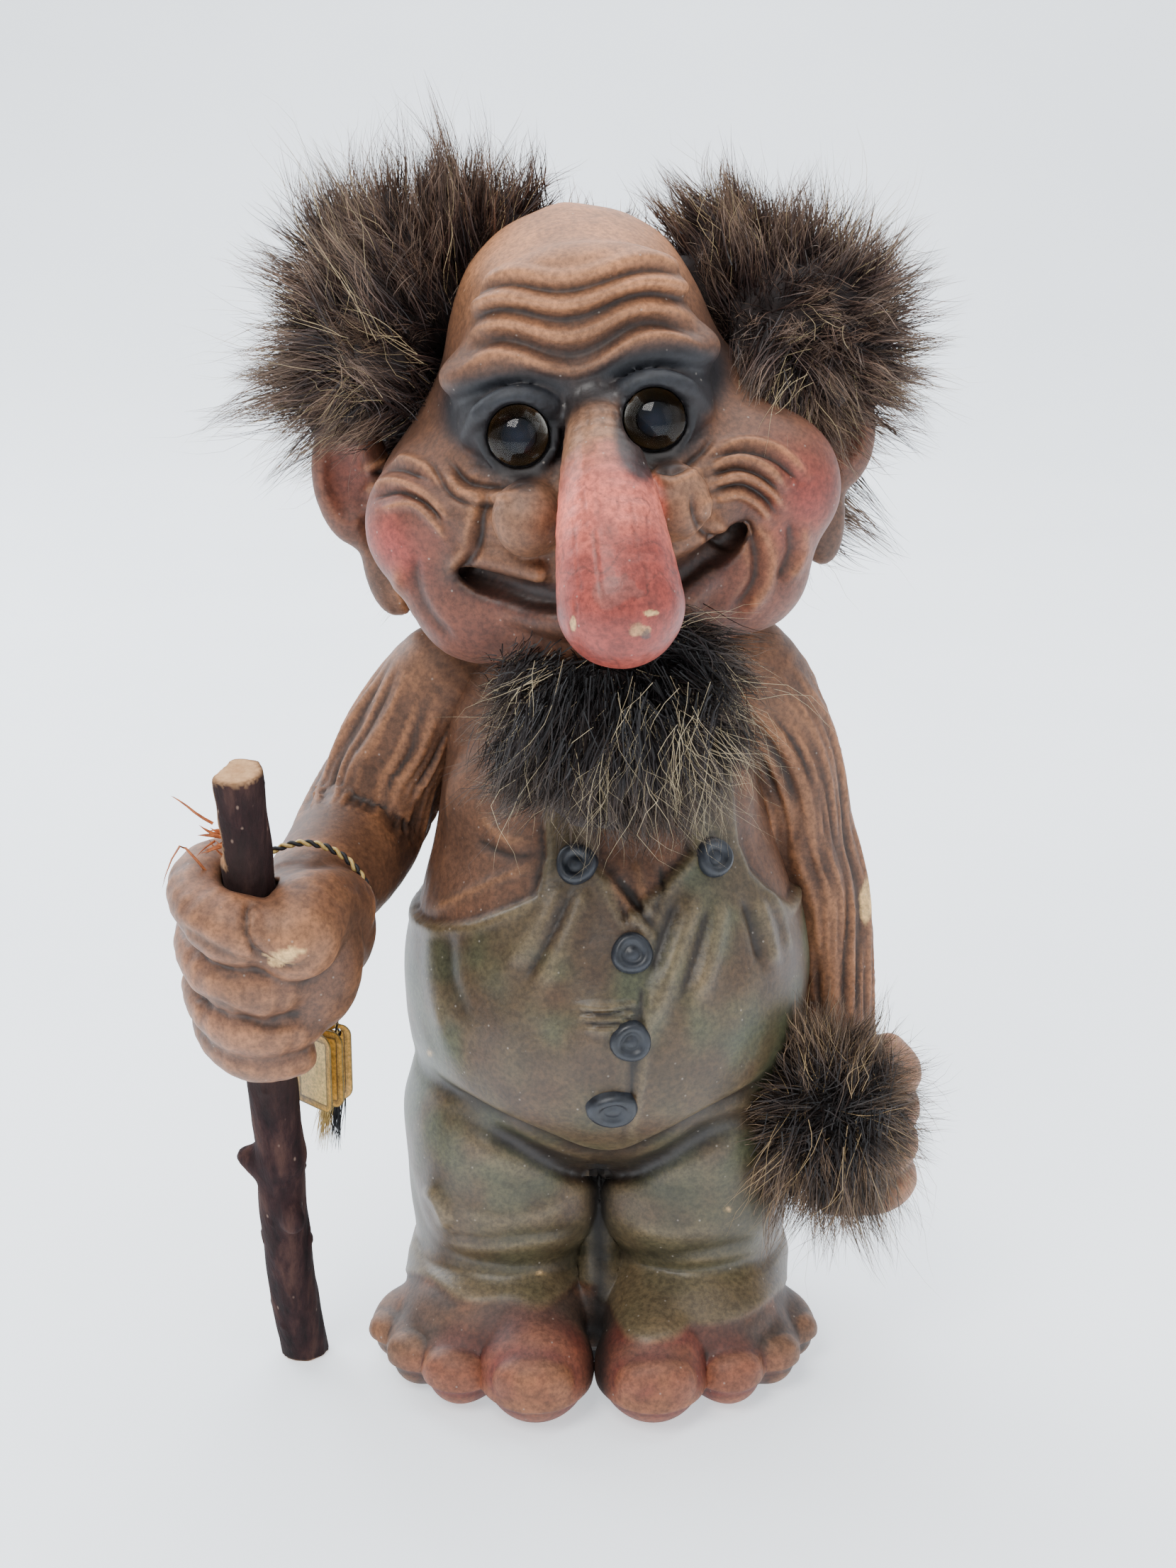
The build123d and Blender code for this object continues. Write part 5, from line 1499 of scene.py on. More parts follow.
        # painted shade at the top of the nose, between the brows
        skin.tint(BROW_SHADE, nose * (1 - ease(0.06, 0.24, along)) * 0.85)
        skin.tint(NOSE_BRIDGE, nose * ease(0.1, 0.26, along) * (1 - ease(0.3, 0.6, along)) * 0.8)
        skin.tint(NOSE, nose * ease(0.28, 0.6, along + 0.08 * noise(local, 4, 52)) * 0.9)
        skin.tint(NOSE_TIP, nose * ease(0.62, 1, along + 0.12 * noise(local, 7, 51)) * 0.8)
        skin.tint(GREY_DUST_AND_TOP_HIGHLIGHT, nose * bell(along - 0.25, 0.12) * 0.3)
        streak = noise(local * (1, 0.3, 0.3), 1.2, 53)
        skin.tint(DARK_SKIN_AND_SHADE, nose * ease(0.25, 0.8, streak) * 0.34)
        skin.push(-0.1 * nose * ease(0.2, 0.8, streak))
        mouth, share = line_distance(local, resample(
            [(-27, -35, -7), (-22.5, -38, -9.5), (-12, -43.5, -13.5), (1, -46, -15.5),
             (14.5, -42.5, -13), (24, -37, -8), (28, -34, -3.5)], 25))
        skin.tint(LIP, (1 - ease(3.4, 6.4, mouth)) * (w < -11) * front * 0.8)
        corner = ease(0.3, 0.5, np.abs(share - 0.5))
        # painted shade at the mouth's corners
        skin.tint(DARK_SKIN_AND_SHADE, (1 - ease(2.5, 7, mouth)) * corner * front * 0.6)
        skin.tint(MOUTH, (1 - ease(1.4, 3.8 + 2 * corner, mouth)) * front * 0.95)
        skin.gloss[:] = 0.32
        skin.gloss += 0.35 * nose + 0.2 * (1 - ease(3.4, 6.4, mouth))
        # painted shade in the creases and a painted highlight on their ridges
        draw_strokes(skin, self.creases, DARK_SKIN_AND_SHADE, PALE_SKIN_AND_HIGHLIGHT)
        # painted shade in the hollows, fine and broad, and painted highlights on the ridges, blue-grey inside
        # the sockets
        hollow = skin.hollows(10)
        skin.tint(FACE_HOLLOW_SHADE, ease(0.05, 0.4, hollow) * 0.75 * (1 - nose * 0.6))
        skin.tint(FACE_HOLLOW_SHADE, ease(0.1, 1.2, skin.hollows(40)) * 0.6 * (1 - nose * 0.7))
        skin.tint(PALE_SKIN_AND_HIGHLIGHT, ease(0.05, 0.25, -hollow) * 0.3 * (1 - nose) * (1 - sockets))
        skin.tint(SOCKET_LID_AND_HIGHLIGHT, ease(0.05, 0.25, -hollow) * 0.5 * sockets)
        # painted shade round the mouth
        skin.tint(DARK_SKIN_AND_SHADE, (1 - ease(1.5, 5.5, mouth)) * front * 0.6)
        for side in (-1, 1):
            lens = np.hypot(u - self.eye_u(side), w - self.eye_w) / self.eye_radius
            skin.tint(EYE_RIM, (1 - ease(1.12, 1.5, lens)) * front * 0.9)
        spots = ((12, 161.2, 1.9, 0.7, CHIP, 0.9), (9.2, 157.2, 2.6, 1.3, CHIP, 0.5),
                 (10.6, 156.4, 1.6, 1, NOSE_STAIN, 0.8), (-4.4, 158.5, 0.6, 1.6, CHIP, 0.7),
                 (4, 166, 5, 3, GREY_DUST_AND_TOP_HIGHLIGHT, 0.3))
        ragged = 1 + 0.5 * noise(skin.points, 1.3, 59)
        for *row, tone, strength in spots:
            skin.tint(tone, worn_spot(skin, row, ragged, (0.75, 1.05)) * strength * (normal[:, 1] < 0))
        cracks = np.abs(noise(local + 3 * noise(local, 5, 61)[:, None], 6.5, 63))
        skin.tint(DARK_SKIN_AND_SHADE, nose * (1 - ease(0, 0.03, cracks)) * ease(0.3, 0.6, along) * 0.55)

    def build(self, painted: Material) -> None:
        """Makes the head casting.

        Args:
            painted: The painted casting's material.
        """
        skin = self.sculpt()
        self.dress(skin)
        skin.make("head_skin", painted, Body.FIGURE, "painted_skin", ("head_casting",))


@dataclass(frozen=True)
class StaffLine:
    """The staff's course, from its cut top through the fist to the floor."""

    top: Point = (-67.6, -55.2, 144.6)
    knot: Point = (-65.1, -33.2, 54)
    shin: Point = (-65.2, -27, 30)
    foot: Point = (-63.4, -19.8, 0)
    radius: float = 5.1

    def axis(self) -> Array:
        """Upward direction of the straight upper length."""
        return unit(np.array(self.top) - self.knot)

    def at(self, height: float) -> Array:
        """The place on the straight upper length at a height above the floor."""
        axis = self.axis()
        return np.array(self.knot) + axis * ((height - self.knot[2]) / axis[2])


STAFF = StaffLine()
# The way that the staff's peeled strip faces.
PEELED_SIDE = unit(np.array((-0.9, 0.42, 0)))


def grooved_arm(skin: Skin, path: Array, seed: int, start: float, end: float, depth: float) -> Array:
    """Presses long wood-like grooves into an arm.

    Args:
        skin: The arm's surface.
        path: Rows of place and radius down the arm.
        seed: Which of many patterns to give.
        start: Share of the arm where the grooves begin.
        end: Share of the arm where they end.
        depth: Their depth in millimetres.

    Returns:
        How deep in a groove each point lies, from zero to one.
    """
    line = resample(np.asarray(path), 24)[:, :3]
    _, along = line_distance(skin.points, line)
    heart = np.stack([np.interp(along, np.linspace(0, 1, len(line)), line[:, k]) for k in range(3)], axis=1)
    out = skin.points - heart
    length = along * 110.0
    twist = 0.5 * noise(np.stack([length, length * 0, length * 0], axis=1), 30, seed)
    angle = np.arctan2(out[:, 1], out[:, 0]) + twist
    ring = np.stack([np.cos(angle) * 13, np.sin(angle) * 13, length * 0.075], axis=1)
    grain = 0.6 * noise(ring, 2.2, seed + 1) + 0.4 * noise(ring, 1.1, seed + 2)
    mask = ease(start - 0.06, start + 0.06, along) * (1 - ease(end - 0.07, end + 0.03, along))
    groove = np.clip(-grain, 0, 1)
    skin.push((grain - 0.25) * depth * mask)
    return ease(0.03, 0.5, groove) * mask


def paint_arm(skin: Skin, groove: Array, seed: int) -> None:
    """Lays an arm's brown, its paler patches from one of many patterns, and painted shade in its grooves.

    Args:
        skin: The surface that is worked.
        groove: How deep in a groove each point lies.
        seed: Which of many patterns to give.
    """
    skin.tint(ARM)
    skin.tint(PALE_SKIN_AND_HIGHLIGHT, ease(-0.2, 0.9, layered(skin.points, 10, seed, 2)) * 0.25)
    # painted shade in the grooves
    skin.tint(ARM_SHADE, groove * 0.65)


def shade_and_highlight_arm(skin: Skin) -> None:
    """Lays painted shade in an arm's hollows and a painted highlight on its ridges.

    Args:
        skin: The surface that is worked.
    """
    hollow = skin.hollows(9)
    skin.tint(ARM_SHADE, ease(0.06, 0.45, hollow) * 0.8)
    skin.tint(ARM_SHADE, ease(0.15, 1.6, skin.hollows(30)) * 0.5)
    skin.tint(PALE_SKIN_AND_HIGHLIGHT, ease(0.05, 0.3, -hollow) * 0.35)


@dataclass
class RightArm:
    """The cast right arm, its fist closed round the staff."""

    rows: Rows = (
        (-27, -1, 151.5, 8.5), (-31.5, 0, 147.5, 11.3), (-37, 1, 139, 12.2), (-43, 2, 127.5, 13),
        (-48, 0, 117, 13.4), (-52, -10, 111.5, 12.8), (-55.5, -21.5, 109.5, 11.6), (-58.3, -33, 109.5, 10.4),
        (-59.5, -44, 107, 11.4),
    )
    fingers: Rows = ((115.8, 12.8), (104.2, 12.8), (94, 11.8), (86.6, 9.6))
    creases: Rows = (
        (0.9, -1.1, -60.2, 100.7, -68.8, 101.8, -74, 96.9, -74.9, 90.4, -72, 84.7, -66.3, 82, -60.7, 84.3),
        (1, -0.6, -90.9, 92.9, -84.6, 88.3, -77.9, 84.3, -71.8, 82.7),
        (1, -0.6, -88.7, 76.4, -81.4, 73.1, -72.4, 68.9, -63.8, 68.9),
    )
    ring: float = 10.4
    tilt: float = 13.0
    pitch: float = 0.75

    def sculpt(self) -> Skin:
        """Builds the arm and fist.

        Returns:
            The new surface.
        """
        clay = Clay((-90, -76, 74), (-12, 26, 170), self.pitch)
        clay.chain(self.rows, 2, count=26)
        clay.egg((-57.5, -45, 103.5), (12, 11.5, 17), 3)
        clay.egg((-50.5, -33, 104), (6.5, 9, 9.5), 4)
        lean = math.radians(self.tilt)
        axis = unit(STAFF.axis() * math.cos(lean) + np.array((1, 0, 0)) * math.sin(lean))
        side = unit(np.array((1, 0, 0)) - axis * axis[0])
        other = np.cross(axis, side)
        for number, (height, thickness) in enumerate(self.fingers):
            middle = STAFF.at(height)
            rows = []
            for step in range(13):
                angle = math.radians(128 + step * (212 - 10 * number) / 12)
                bulge = 1 + 0.10 * math.sin(3 * angle + 0.4)
                place = middle + (side * math.cos(angle) + other * math.sin(angle)) * self.ring
                rows.append((*place, thickness / 2 * bulge))
            clay.chain(rows, 1.1)
        clay.chain([(-51.5, -37, 110, 8), (-53, -43.6, 112.5, 7.6), (-55.3, -50.5, 113.8, 8.3),
                    (-57.4, -56.5, 111.8, 8.8)], 1.2, count=12)
        clay.chain([(*STAFF.at(60), STAFF.radius + 0.15), (*STAFF.at(150), STAFF.radius + 0.15)], 0.3,
                   carve=True)
        skin = Skin(*clay.skin())
        skin.relax(1, 0.4)
        return skin

    def build(self, painted: Material) -> None:
        """Makes the arm casting.

        Args:
            painted: The painted casting's material.
        """
        skin = self.sculpt()
        groove = grooved_arm(skin, self.rows, 71, 0.12, 0.6, 1.5)
        high = skin.points[:, 2] > 80
        hand = ease(-26, -36, skin.points[:, 1])
        skin.push(0.16 * layered(skin.points, 4, 73, 2) * hand)
        paint_arm(skin, groove, 77)
        skin.tint(SKIN, hand * 0.75)
        knuckles = (
            (-72, -58, 118, 9), (-76, -52, 104, 8), (-70, -58, 92, 7), (-57, -60, 114, 9),
        )
        for x, y, height, reach in knuckles:
            near = bell(norm(skin.points - (x, y, height), axis=1), reach)
            skin.tint(KNUCKLE, near * 0.4 * hand)
        skin.tint(THUMB, bell(norm(skin.points - (-57, -63, 114), axis=1), 7) * 0.5)
        shade_and_highlight_arm(skin)
        skin.gloss[:] = 0.3 + 0.1 * hand
        # painted shade in the creases and a painted highlight on their ridges
        draw_strokes(skin, self.creases, ARM_SHADE, PALE_SKIN_AND_HIGHLIGHT)
        ragged = 1 + 0.5 * noise(skin.points, 1.2, 79)
        for row in ((-66.8, 84.8, 3.2, 1.1), (-64.2, 86, 2.4, 0.8), (-68.2, 83.4, 2.2, 0.6)):
            skin.tint(CHIP, worn_spot(skin, row, ragged) * (skin.points[:, 1] < -45) * 0.9)
        # painted shade on the fist where it closes round the staff
        gap = norm(np.cross(skin.points - STAFF.knot, STAFF.axis()), axis=1) - STAFF.radius
        skin.tint(ARM_SHADE, (1 - ease(0.3, 1.6, gap)) * 0.55 * high)
        skin.make("right_arm_skin", painted, Body.FIGURE, "painted_skin", ("right_arm_casting",))


@dataclass
class LeftArm:
    """The cast left arm, hanging, its fist closed round the tail."""

    rows: Rows = (
        (27, 0, 154, 8.5), (31, 1, 149, 11.5), (36, 2.5, 140, 12.4), (40.5, 3, 126, 12.8),
        (42.5, 3, 112, 12.8), (47, 1, 97, 12.2), (49.8, -3, 82, 10.8), (50.5, -7, 70, 10.2),
        (51, -10, 62, 10.6),
    )
    fist: Point = (53.6, -11, 52)
    finger_start: Point = (56.5, -18.5, 64)
    finger_pitch: float = 8.2
    pitch: float = 0.8

    def sculpt(self) -> Skin:
        """Builds the arm and fist.

        Returns:
            The new surface.
        """
        clay = Clay((12, -40, 26), (76, 24, 172), self.pitch)
        clay.chain(self.rows, 2, count=26)
        clay.egg(self.fist, (13.2, 12.6, 18.6), 3)
        x, y, z = self.finger_start
        for finger in range(4):
            height = z - finger * self.finger_pitch
            clay.chain([(x + 7, y + 12, height + 1, 4.4), (x + 8.6, y + 4, height, 4.9),
                        (x + 4, y - 2, height - 0.5, 4.9), (x - 5, y - 2.5, height - 1, 4.5)], 1, count=12)
        clay.chain([(47, -14, 66, 5.4), (45, -20, 60, 5.2), (46, -22, 54, 5)], 1.4, count=8)
        skin = Skin(*clay.skin())
        skin.relax(1, 0.4)
        return skin

    def build(self, painted: Material) -> None:
        """Makes the arm casting.

        Args:
            painted: The painted casting's material.
        """
        skin = self.sculpt()
        groove = grooved_arm(skin, self.rows, 81, 0.12, 0.9, 1.6)
        paint_arm(skin, groove, 87)
        hand = 1 - ease(62, 76, skin.points[:, 2])
        skin.tint(SKIN, hand * 0.7)
        skin.tint(FIST_SIDE, hand * ease(60, 70, skin.points[:, 0]) * 0.5)
        shade_and_highlight_arm(skin)
        skin.gloss[:] = 0.3
        ragged = 1 + 0.4 * noise(skin.points, 1.6, 89)
        skin.tint(CHIP, worn_spot(skin, (58.6, 97.5, 1.4, 5.2), ragged, (0.8, 1.15)) * 0.95)
        skin.make("left_arm_skin", painted, Body.FIGURE, "painted_skin", ("left_arm_casting",))


@dataclass
class Tail:
    """The cast tail, from the small of the back round the left hip to the fist."""

    rows: Rows = (
        (8, 26, 67, 6.4), (21, 31.5, 63, 5.4), (35, 28, 59, 4.8), (46, 16, 56, 4.4), (51, 4, 54.5, 4.2),
        (52.5, -6, 54, 4.2),
    )
    pitch: float = 0.8

    def build(self, painted: Material) -> None:
        """Makes the tail, ringed with shallow creases.

        Args:
            painted: The painted casting's material.
        """
        clay = Clay((-4, -14, 44), (62, 42, 78), self.pitch)
        clay.chain(self.rows, 0.5, count=24)
        skin = Skin(*clay.skin())
        skin.relax(2, 0.4)
        _, along = line_distance(skin.points, resample(self.rows, 24)[:, :3])
        ring = np.sin(along * 95 + 1.5 * noise(skin.points, 5, 91))
        skin.push(0.22 * ring)
        skin.tint(ARM)
        # painted shade in the grooves between the rings and a painted highlight on their ridges
        skin.tint(ARM_SHADE, ease(0.1, 1, -ring) * 0.55)
        skin.tint(PALE_SKIN_AND_HIGHLIGHT, ease(0.3, 1, ring) * 0.2)
        skin.gloss[:] = 0.3
        skin.make("tail_skin", painted, Body.FIGURE, "painted_skin", ("tail",))


@dataclass
class Staff:
    """The twig: bark with a bend, a knot and a side stub, cut clean at both ends and peeled near the top."""

    pitch: float = 0.7
    peel_length: float = 19.0

    def sculpt(self) -> Skin:
        """Builds the twig's form.

        Returns:
            The new surface.
        """
        clay = Clay((-82, -68, -1), (-50, -8, 152), self.pitch)
        top, axis, radius = np.array(STAFF.top), STAFF.axis(), STAFF.radius
        clay.chain([(*(top + axis * 4), radius), (*STAFF.at(100), radius), (*STAFF.knot, radius)], 0.5)
        clay.chain([(*STAFF.knot, radius), (-65.6, -30, 42, radius), (*STAFF.shin, radius),
                    (-64.5, -23.2, 14, radius), (-62.8, -18.8, -4, radius)], 1.5, count=22)
        clay.chain([(-66, -32.5, 50.5, 3.4), (-70.2, -32.5, 52.2, 2.2), (-72.4, -32.6, 53.2, 1.9)], 2.6,
                   count=8)
        clay.egg((-70.6, -32.3, 52), (2.2, 2.6, 2.9), 2)
        clay.egg((-62.8, -35.2, 40), (2.4, 1.8, 3.4), 2.5)
        window, places = clay.window(top - 14, top + 14)
        clay.join(window, -((places - top) @ axis), 0.3, carve=True)
        window, places = clay.window(top + np.array((-12, -12, -26)), top + np.array((4, 12, 6)))
        inward = -(places - top) @ PEELED_SIDE
        below = -((places - top) @ axis) - self.peel_length
        wave = 0.25 * np.sin(places[..., 2] * 0.9)
        clay.join(window, np.maximum(inward + radius - 1.5 + wave, below), 0.5, carve=True)
        clay.floor(0)
        skin = Skin(*clay.skin())
        skin.relax(1, 0.3)
        return skin

    def build(self, bark: Material, splinter: Material) -> None:
        """Makes the staff with its splinters.

        Args:
            bark: The bark's material.
            splinter: The torn wood's material.
        """
        skin = self.sculpt()
        points = skin.points
        top, axis = np.array(STAFF.top), STAFF.axis()
        depth = -((points - top) @ axis)
        normal = skin.normals()
        cut = (normal @ axis > 0.8) & (depth < 1) | (points[:, 2] < 0.2)
        outward = (points - top) @ PEELED_SIDE
        peeled = (outward > STAFF.radius - 1.95) & (depth < self.peel_length + 0.6) & (depth > -1)
        bare = skin.averaged((cut | peeled) * 1)
        bark_noise = noise(points * (1, 1, 0.25), 2, 101)
        warts = ease(0.55, 0.9, noise(points, 2.4, 103))
        skin.push((0.22 * bark_noise + 0.3 * warts) * (1 - bare))
        skin.tint(CUT_WOOD)
        skin.tint(PEELED_WOOD, peeled * ease(0, 0.7, noise(points * (1, 1, 0.15), 1.4, 105)) * 0.9)
        skin.tint(PEEL_EDGE, peeled * ease(self.peel_length - 4, self.peel_length, depth) * 0.6)
        heart = norm(np.cross(points - top, axis), axis=1)
        skin.tint(PITH, cut * bell(heart, 1.1) * 0.7)
        skin.tint(CUT_RIM, cut * ease(3.9, 4.9, heart) * 0.6)
        skin.gloss[:] = 1 - bare
        skin.make("staff_twig", bark, Body.STAFF, "bark", ("staff",))
        rng = np.random.default_rng(17)
        edge = top - axis * (self.peel_length - 1.5) + PEELED_SIDE * (STAFF.radius - 1.2)
        paths, widths = [], []
        for number in range(16):
            root = edge + axis * rng.uniform(-1.5, 3) + rng.normal(0, 1, 3)
            lean = unit(np.array((-0.8, -0.35, rng.uniform(-0.5, 0.7))) + rng.normal(0, 0.25, 3))
            reach = rng.uniform(2.2, 6.5)
            curl = unit(np.cross(lean, (0, 1, 0))) * rng.uniform(-2.5, 2.5)
            t = np.linspace(0, 1, 7)[:, None]
            paths.append(root + lean * reach * t + curl * t**2)
            widths.append(0.6 if number % 3 else 1.2)
        loose = (((-73.5, -50, 120.5), (-77.5, -52, 127), (-79.5, -52.5, 128.5), (-82, -52, 124),
                  (-83.5, -51, 119.5)),
                 ((-73, -52, 133), (-75.5, -53, 135), (-77.5, -53.5, 137), (-79.5, -53.5, 138.5),
                  (-80.5, -53.5, 139)))
        for course in loose:
            paths.append(resample(course, 7))
            widths.append(0.75)
        radii = np.array(widths) / 2
        strand_piece("staff_splinters", np.array(paths), radii, None, splinter, Body.STAFF)


def strand_mesh(paths: Array, radii: Array, sides: int = 3, fall: float = 0.93) -> tuple[Array, Array, Array]:
    """Thin tapered tubes along many paths at once.

    Args:
        paths: Places by strand and by step along it.
        radii: Each strand's radius at its root.
        sides: How many sides a tube has, or two for a flat ribbon.
        fall: The share of its radius that a strand has lost at its tip.

    Returns:
        The points, the faces, and each point's share of its strand's length.
    """
    strands, steps = paths.shape[:2]
    run = unit(np.gradient(paths, axis=1))
    helper = np.where(np.abs(run[:, :1, 2:]) > 0.8, [[[1, 0, 0]]], [[[0, 0, 1]]])
    if sides == 2:
        helper = np.random.default_rng(strands).normal(0, 1, (strands, 1, 3))
    across = unit(np.cross(run, np.broadcast_to(helper, run.shape)))
    other = np.cross(run, across)
    share = np.linspace(0, 1, steps)
    taper = 1 - fall * share**1.6
    angles = 2 * math.pi * np.arange(sides) / sides
    ring = across[:, :, None] * np.cos(angles)[:, None] + other[:, :, None] * np.sin(angles)[:, None]
    points = paths[:, :, None] + ring * (radii[:, None] * taper)[:, :, None, None]
    numbers = np.arange(strands * steps * sides).reshape(strands, steps, sides)
    a, b = numbers[:, :-1], numbers[:, 1:]
    faces = np.stack([a, np.roll(a, -1, axis=2), np.roll(b, -1, axis=2), b], axis=-1)
    faces = (faces[:, :, :1] if sides == 2 else faces).reshape(-1, 4)
    along = np.broadcast_to(share[None, :, None], (strands, steps, sides)).reshape(-1)
    return points.reshape(-1, 3), faces, along


def strand_piece(name: str, paths: Array, radii: Array, tones: Array | None, finish: Material, body: Body,
                 replaces: tuple[str, ...] = (), sides: int = 3) -> Piece:
    """Makes one object of many strands, with each hair's tone and length share on its map.

    Args:
        name: The object's name.
        paths: Places by strand and by step, in millimetres.
        radii: Each strand's radius at its root.
        tones: Each strand's tone from zero to one, or none for one tone.
        finish: The material.
        body: The body that it rides on.
        replaces: The CAD nodes that it stands for.
        sides: How many sides each strand has.

    Returns:
        The new object.
    """
    points, faces, along = strand_mesh(paths, radii, sides)
    piece = mesh_piece(name, points, faces, finish, body, replaces)
    tone = np.full(len(paths), 0.5) if tones is None else tones
    per_point = np.repeat(tone, len(points) // len(paths))
    corners = np.zeros(len(piece.data.loops), np.int32)
    piece.data.loops.foreach_get("vertex_index", corners)
    layer = piece.data.uv_layers.new(name="OFBake")
    places = np.stack([per_point[corners], along[corners]], axis=1)
    layer.data.foreach_set("uv", places.astype(np.float32).ravel())
    return piece


@dataclass
class FurPiece:
    """A piece of glued-on fur: a felted base, short under-fur, combed locks and stray guard hairs."""

    name: str
    slot: str
    bodies: Rows
    locks: Rows
    seed: int
    hairs: int = 15500
    guards: int = 640
    radius: float = 0.115
    wave: float = 1.0
    droop: float = 1.2
    spread: float = 0.85
    steps: int = 7
    core: float = 0.7
    guard_reach: float = 1.2
    clumps: float = 2.2
    clump_size: int = 18
    tangle: float = 1.0
    under: tuple[float, float] = (9, 20)
    under_share: float = 0.42
    pale_share: float = 0.6
    longest: float = 1.16
    stray: float = 1.5
    guard_radius: float = 0.075
    farthest: Point = (80.5, 63, 276)
    lowest: float = 20.0
    keep_clear: Rows = ()

    def tufts(self) -> list[tuple[Array, Array, float]]:
        """Each lock's root, the place of its tip, and its thickness at the root."""
        return [(np.array(row[:3]), np.array(row[3:6]), row[6]) for row in self.locks]

    def base(self, finish: Material) -> None:
        """Makes the dark felted base under the hairs.

        Args:
            finish: The felt's material.
        """
        low = np.min([np.array(row[:3]) - np.array(row[3:6]) / 2 for row in self.bodies], axis=0) - 14
        high = np.max([np.array(row[:3]) + np.array(row[3:6]) / 2 for row in self.bodies], axis=0) + 14
        clay = Clay(tuple(low), tuple(high), 1.3)
        for row in self.bodies:
            clay.egg(row[:3], tuple(np.array(row[3:6]) / 2 * self.core), 4)
        for root, tip, thick in self.tufts():
            reach = root + (tip - root) * 0.45
            clay.chain([(*root, thick * 0.62), (*reach, thick * 0.22)], 3)
        skin = Skin(*clay.skin())
        skin.push(0.8 * noise(skin.points, 2.6, self.seed))
        skin.tint((0.02, 0.015, 0.013))
        mesh_piece(f"{self.name}_felt", skin.points, skin.faces, finish, Body.FIGURE, (self.name,))

    def comb(self, places: Array) -> Array:
        """The direction that hairs are combed in at places, from the locks near them.

        Args:
            places: Rows of places.

        Returns:
            Rows of directions of length one.
        """
        total = np.zeros_like(places)
        for root, tip, thick in self.tufts():
            near = bell(norm(places - (root * 0.6 + tip * 0.4), axis=1), 14) + 1e-4
            total += near[:, None] * unit(tip - root)
        return unit(total)

    def grow(self, rng: np.random.Generator, roots: Array, tips: Array, curl: Array, wave: float) -> Array:
        """Paths from roots to tips, with a bow, a droop and a waver.

        Args:
            rng: The seeded source of chance.
            roots: Where the hairs start.
            tips: Where they end.
            curl: Rows of a sideways direction, a phase, beats and a bow that neighbours share.
            wave: The waver's size in millimetres.

        Returns:
            Places by hair and by step along it.
        """
        count = len(roots)
        t = np.linspace(0, 1, self.steps)[None, :, None]
        run = tips - roots
        length = norm(run, axis=1)[:, None, None]
        sideways = unit(np.cross(run, curl[:, :3] + rng.normal(0, 0.35, run.shape)))[:, None]
        other = unit(np.cross(run, sideways[:, 0]))[:, None]
        phase = (curl[:, 3] + rng.normal(0, 0.5, count))[:, None, None]
        beats = (curl[:, 4] * rng.uniform(0.85, 1.15, count))[:, None, None]
        bow = (curl[:, 5] + rng.normal(0, 0.05, count))[:, None, None] * length
        size = wave * rng.uniform(0.35, 1.1, (count, 1, 1)) * np.minimum(length / 16, 1.4)
        paths = roots[:, None] + run[:, None] * t + sideways * bow * np.sin(math.pi * t * 0.9)
        paths += sideways * size * t**0.8 * np.sin(phase + beats * t)
        paths += other * 0.7 * size * t**0.8 * np.cos(phase * 1.7 + beats * 0.8 * t)
        paths[..., 2] -= (self.droop * t[..., 0] ** 2) * rng.uniform(0.3, 1.3, (count, 1))
        return paths

    def curls(self, rng: np.random.Generator, count: int) -> Array:
        """Rows of a sideways direction, a phase, beats and a bow.

        Args:
            rng: The seeded source of chance.
            count: How many to make.

        Returns:
            One row for each hair.
        """
        return np.concatenate([
            rng.normal(0, 1, (count, 3)), rng.uniform(0, 2 * math.pi, (count, 1)),
            rng.uniform(3, 8.5, (count, 1)), rng.normal(0, 0.09, (count, 1))], axis=1)

    def lock_hairs(self, rng: np.random.Generator, count: int, reach: tuple[float, float], spread: float
                   ) -> tuple[Array, Array, Array]:
        """Roots, tips and curls of hairs that gather in small clumps along the locks.

        Args:
            rng: The seeded source of chance.
            count: How many to make.
            reach: The shortest and longest share of a lock's length.
            spread: How wide the tips fan out.

        Returns:
            Roots, tips and curls.
        """
        roots, tips = [], []
        for root, tip, thick in self.tufts():
            number = max(6, round(thick * self.clumps))
            ball = unit(rng.normal(0, 1, (number, 3))) * rng.uniform(0, 1, (number, 1)) ** 0.4
            start = root - (tip - root) * rng.uniform(0, 0.35, (number, 1)) + ball * thick * 1.25
            part = rng.uniform(0.62, self.longest, (number, 1))
            end = root + (tip - root) * part
            roots.append(start)
            tips.append(end + (ball * 0.95 + rng.normal(0, 0.32, (number, 3))) * thick * spread)
        start, end = np.concatenate(roots), np.concatenate(tips)
        curl = self.curls(rng, len(start))
        pick = rng.integers(0, len(start), count)
        root = start[pick] + rng.normal(0, 1.9, (count, 3))
        part = rng.uniform(*reach, (count, 1))
        tip = root + (end[pick] - root) * part + rng.normal(0, self.tangle, (count, 3))
        return root, tip, curl[pick]

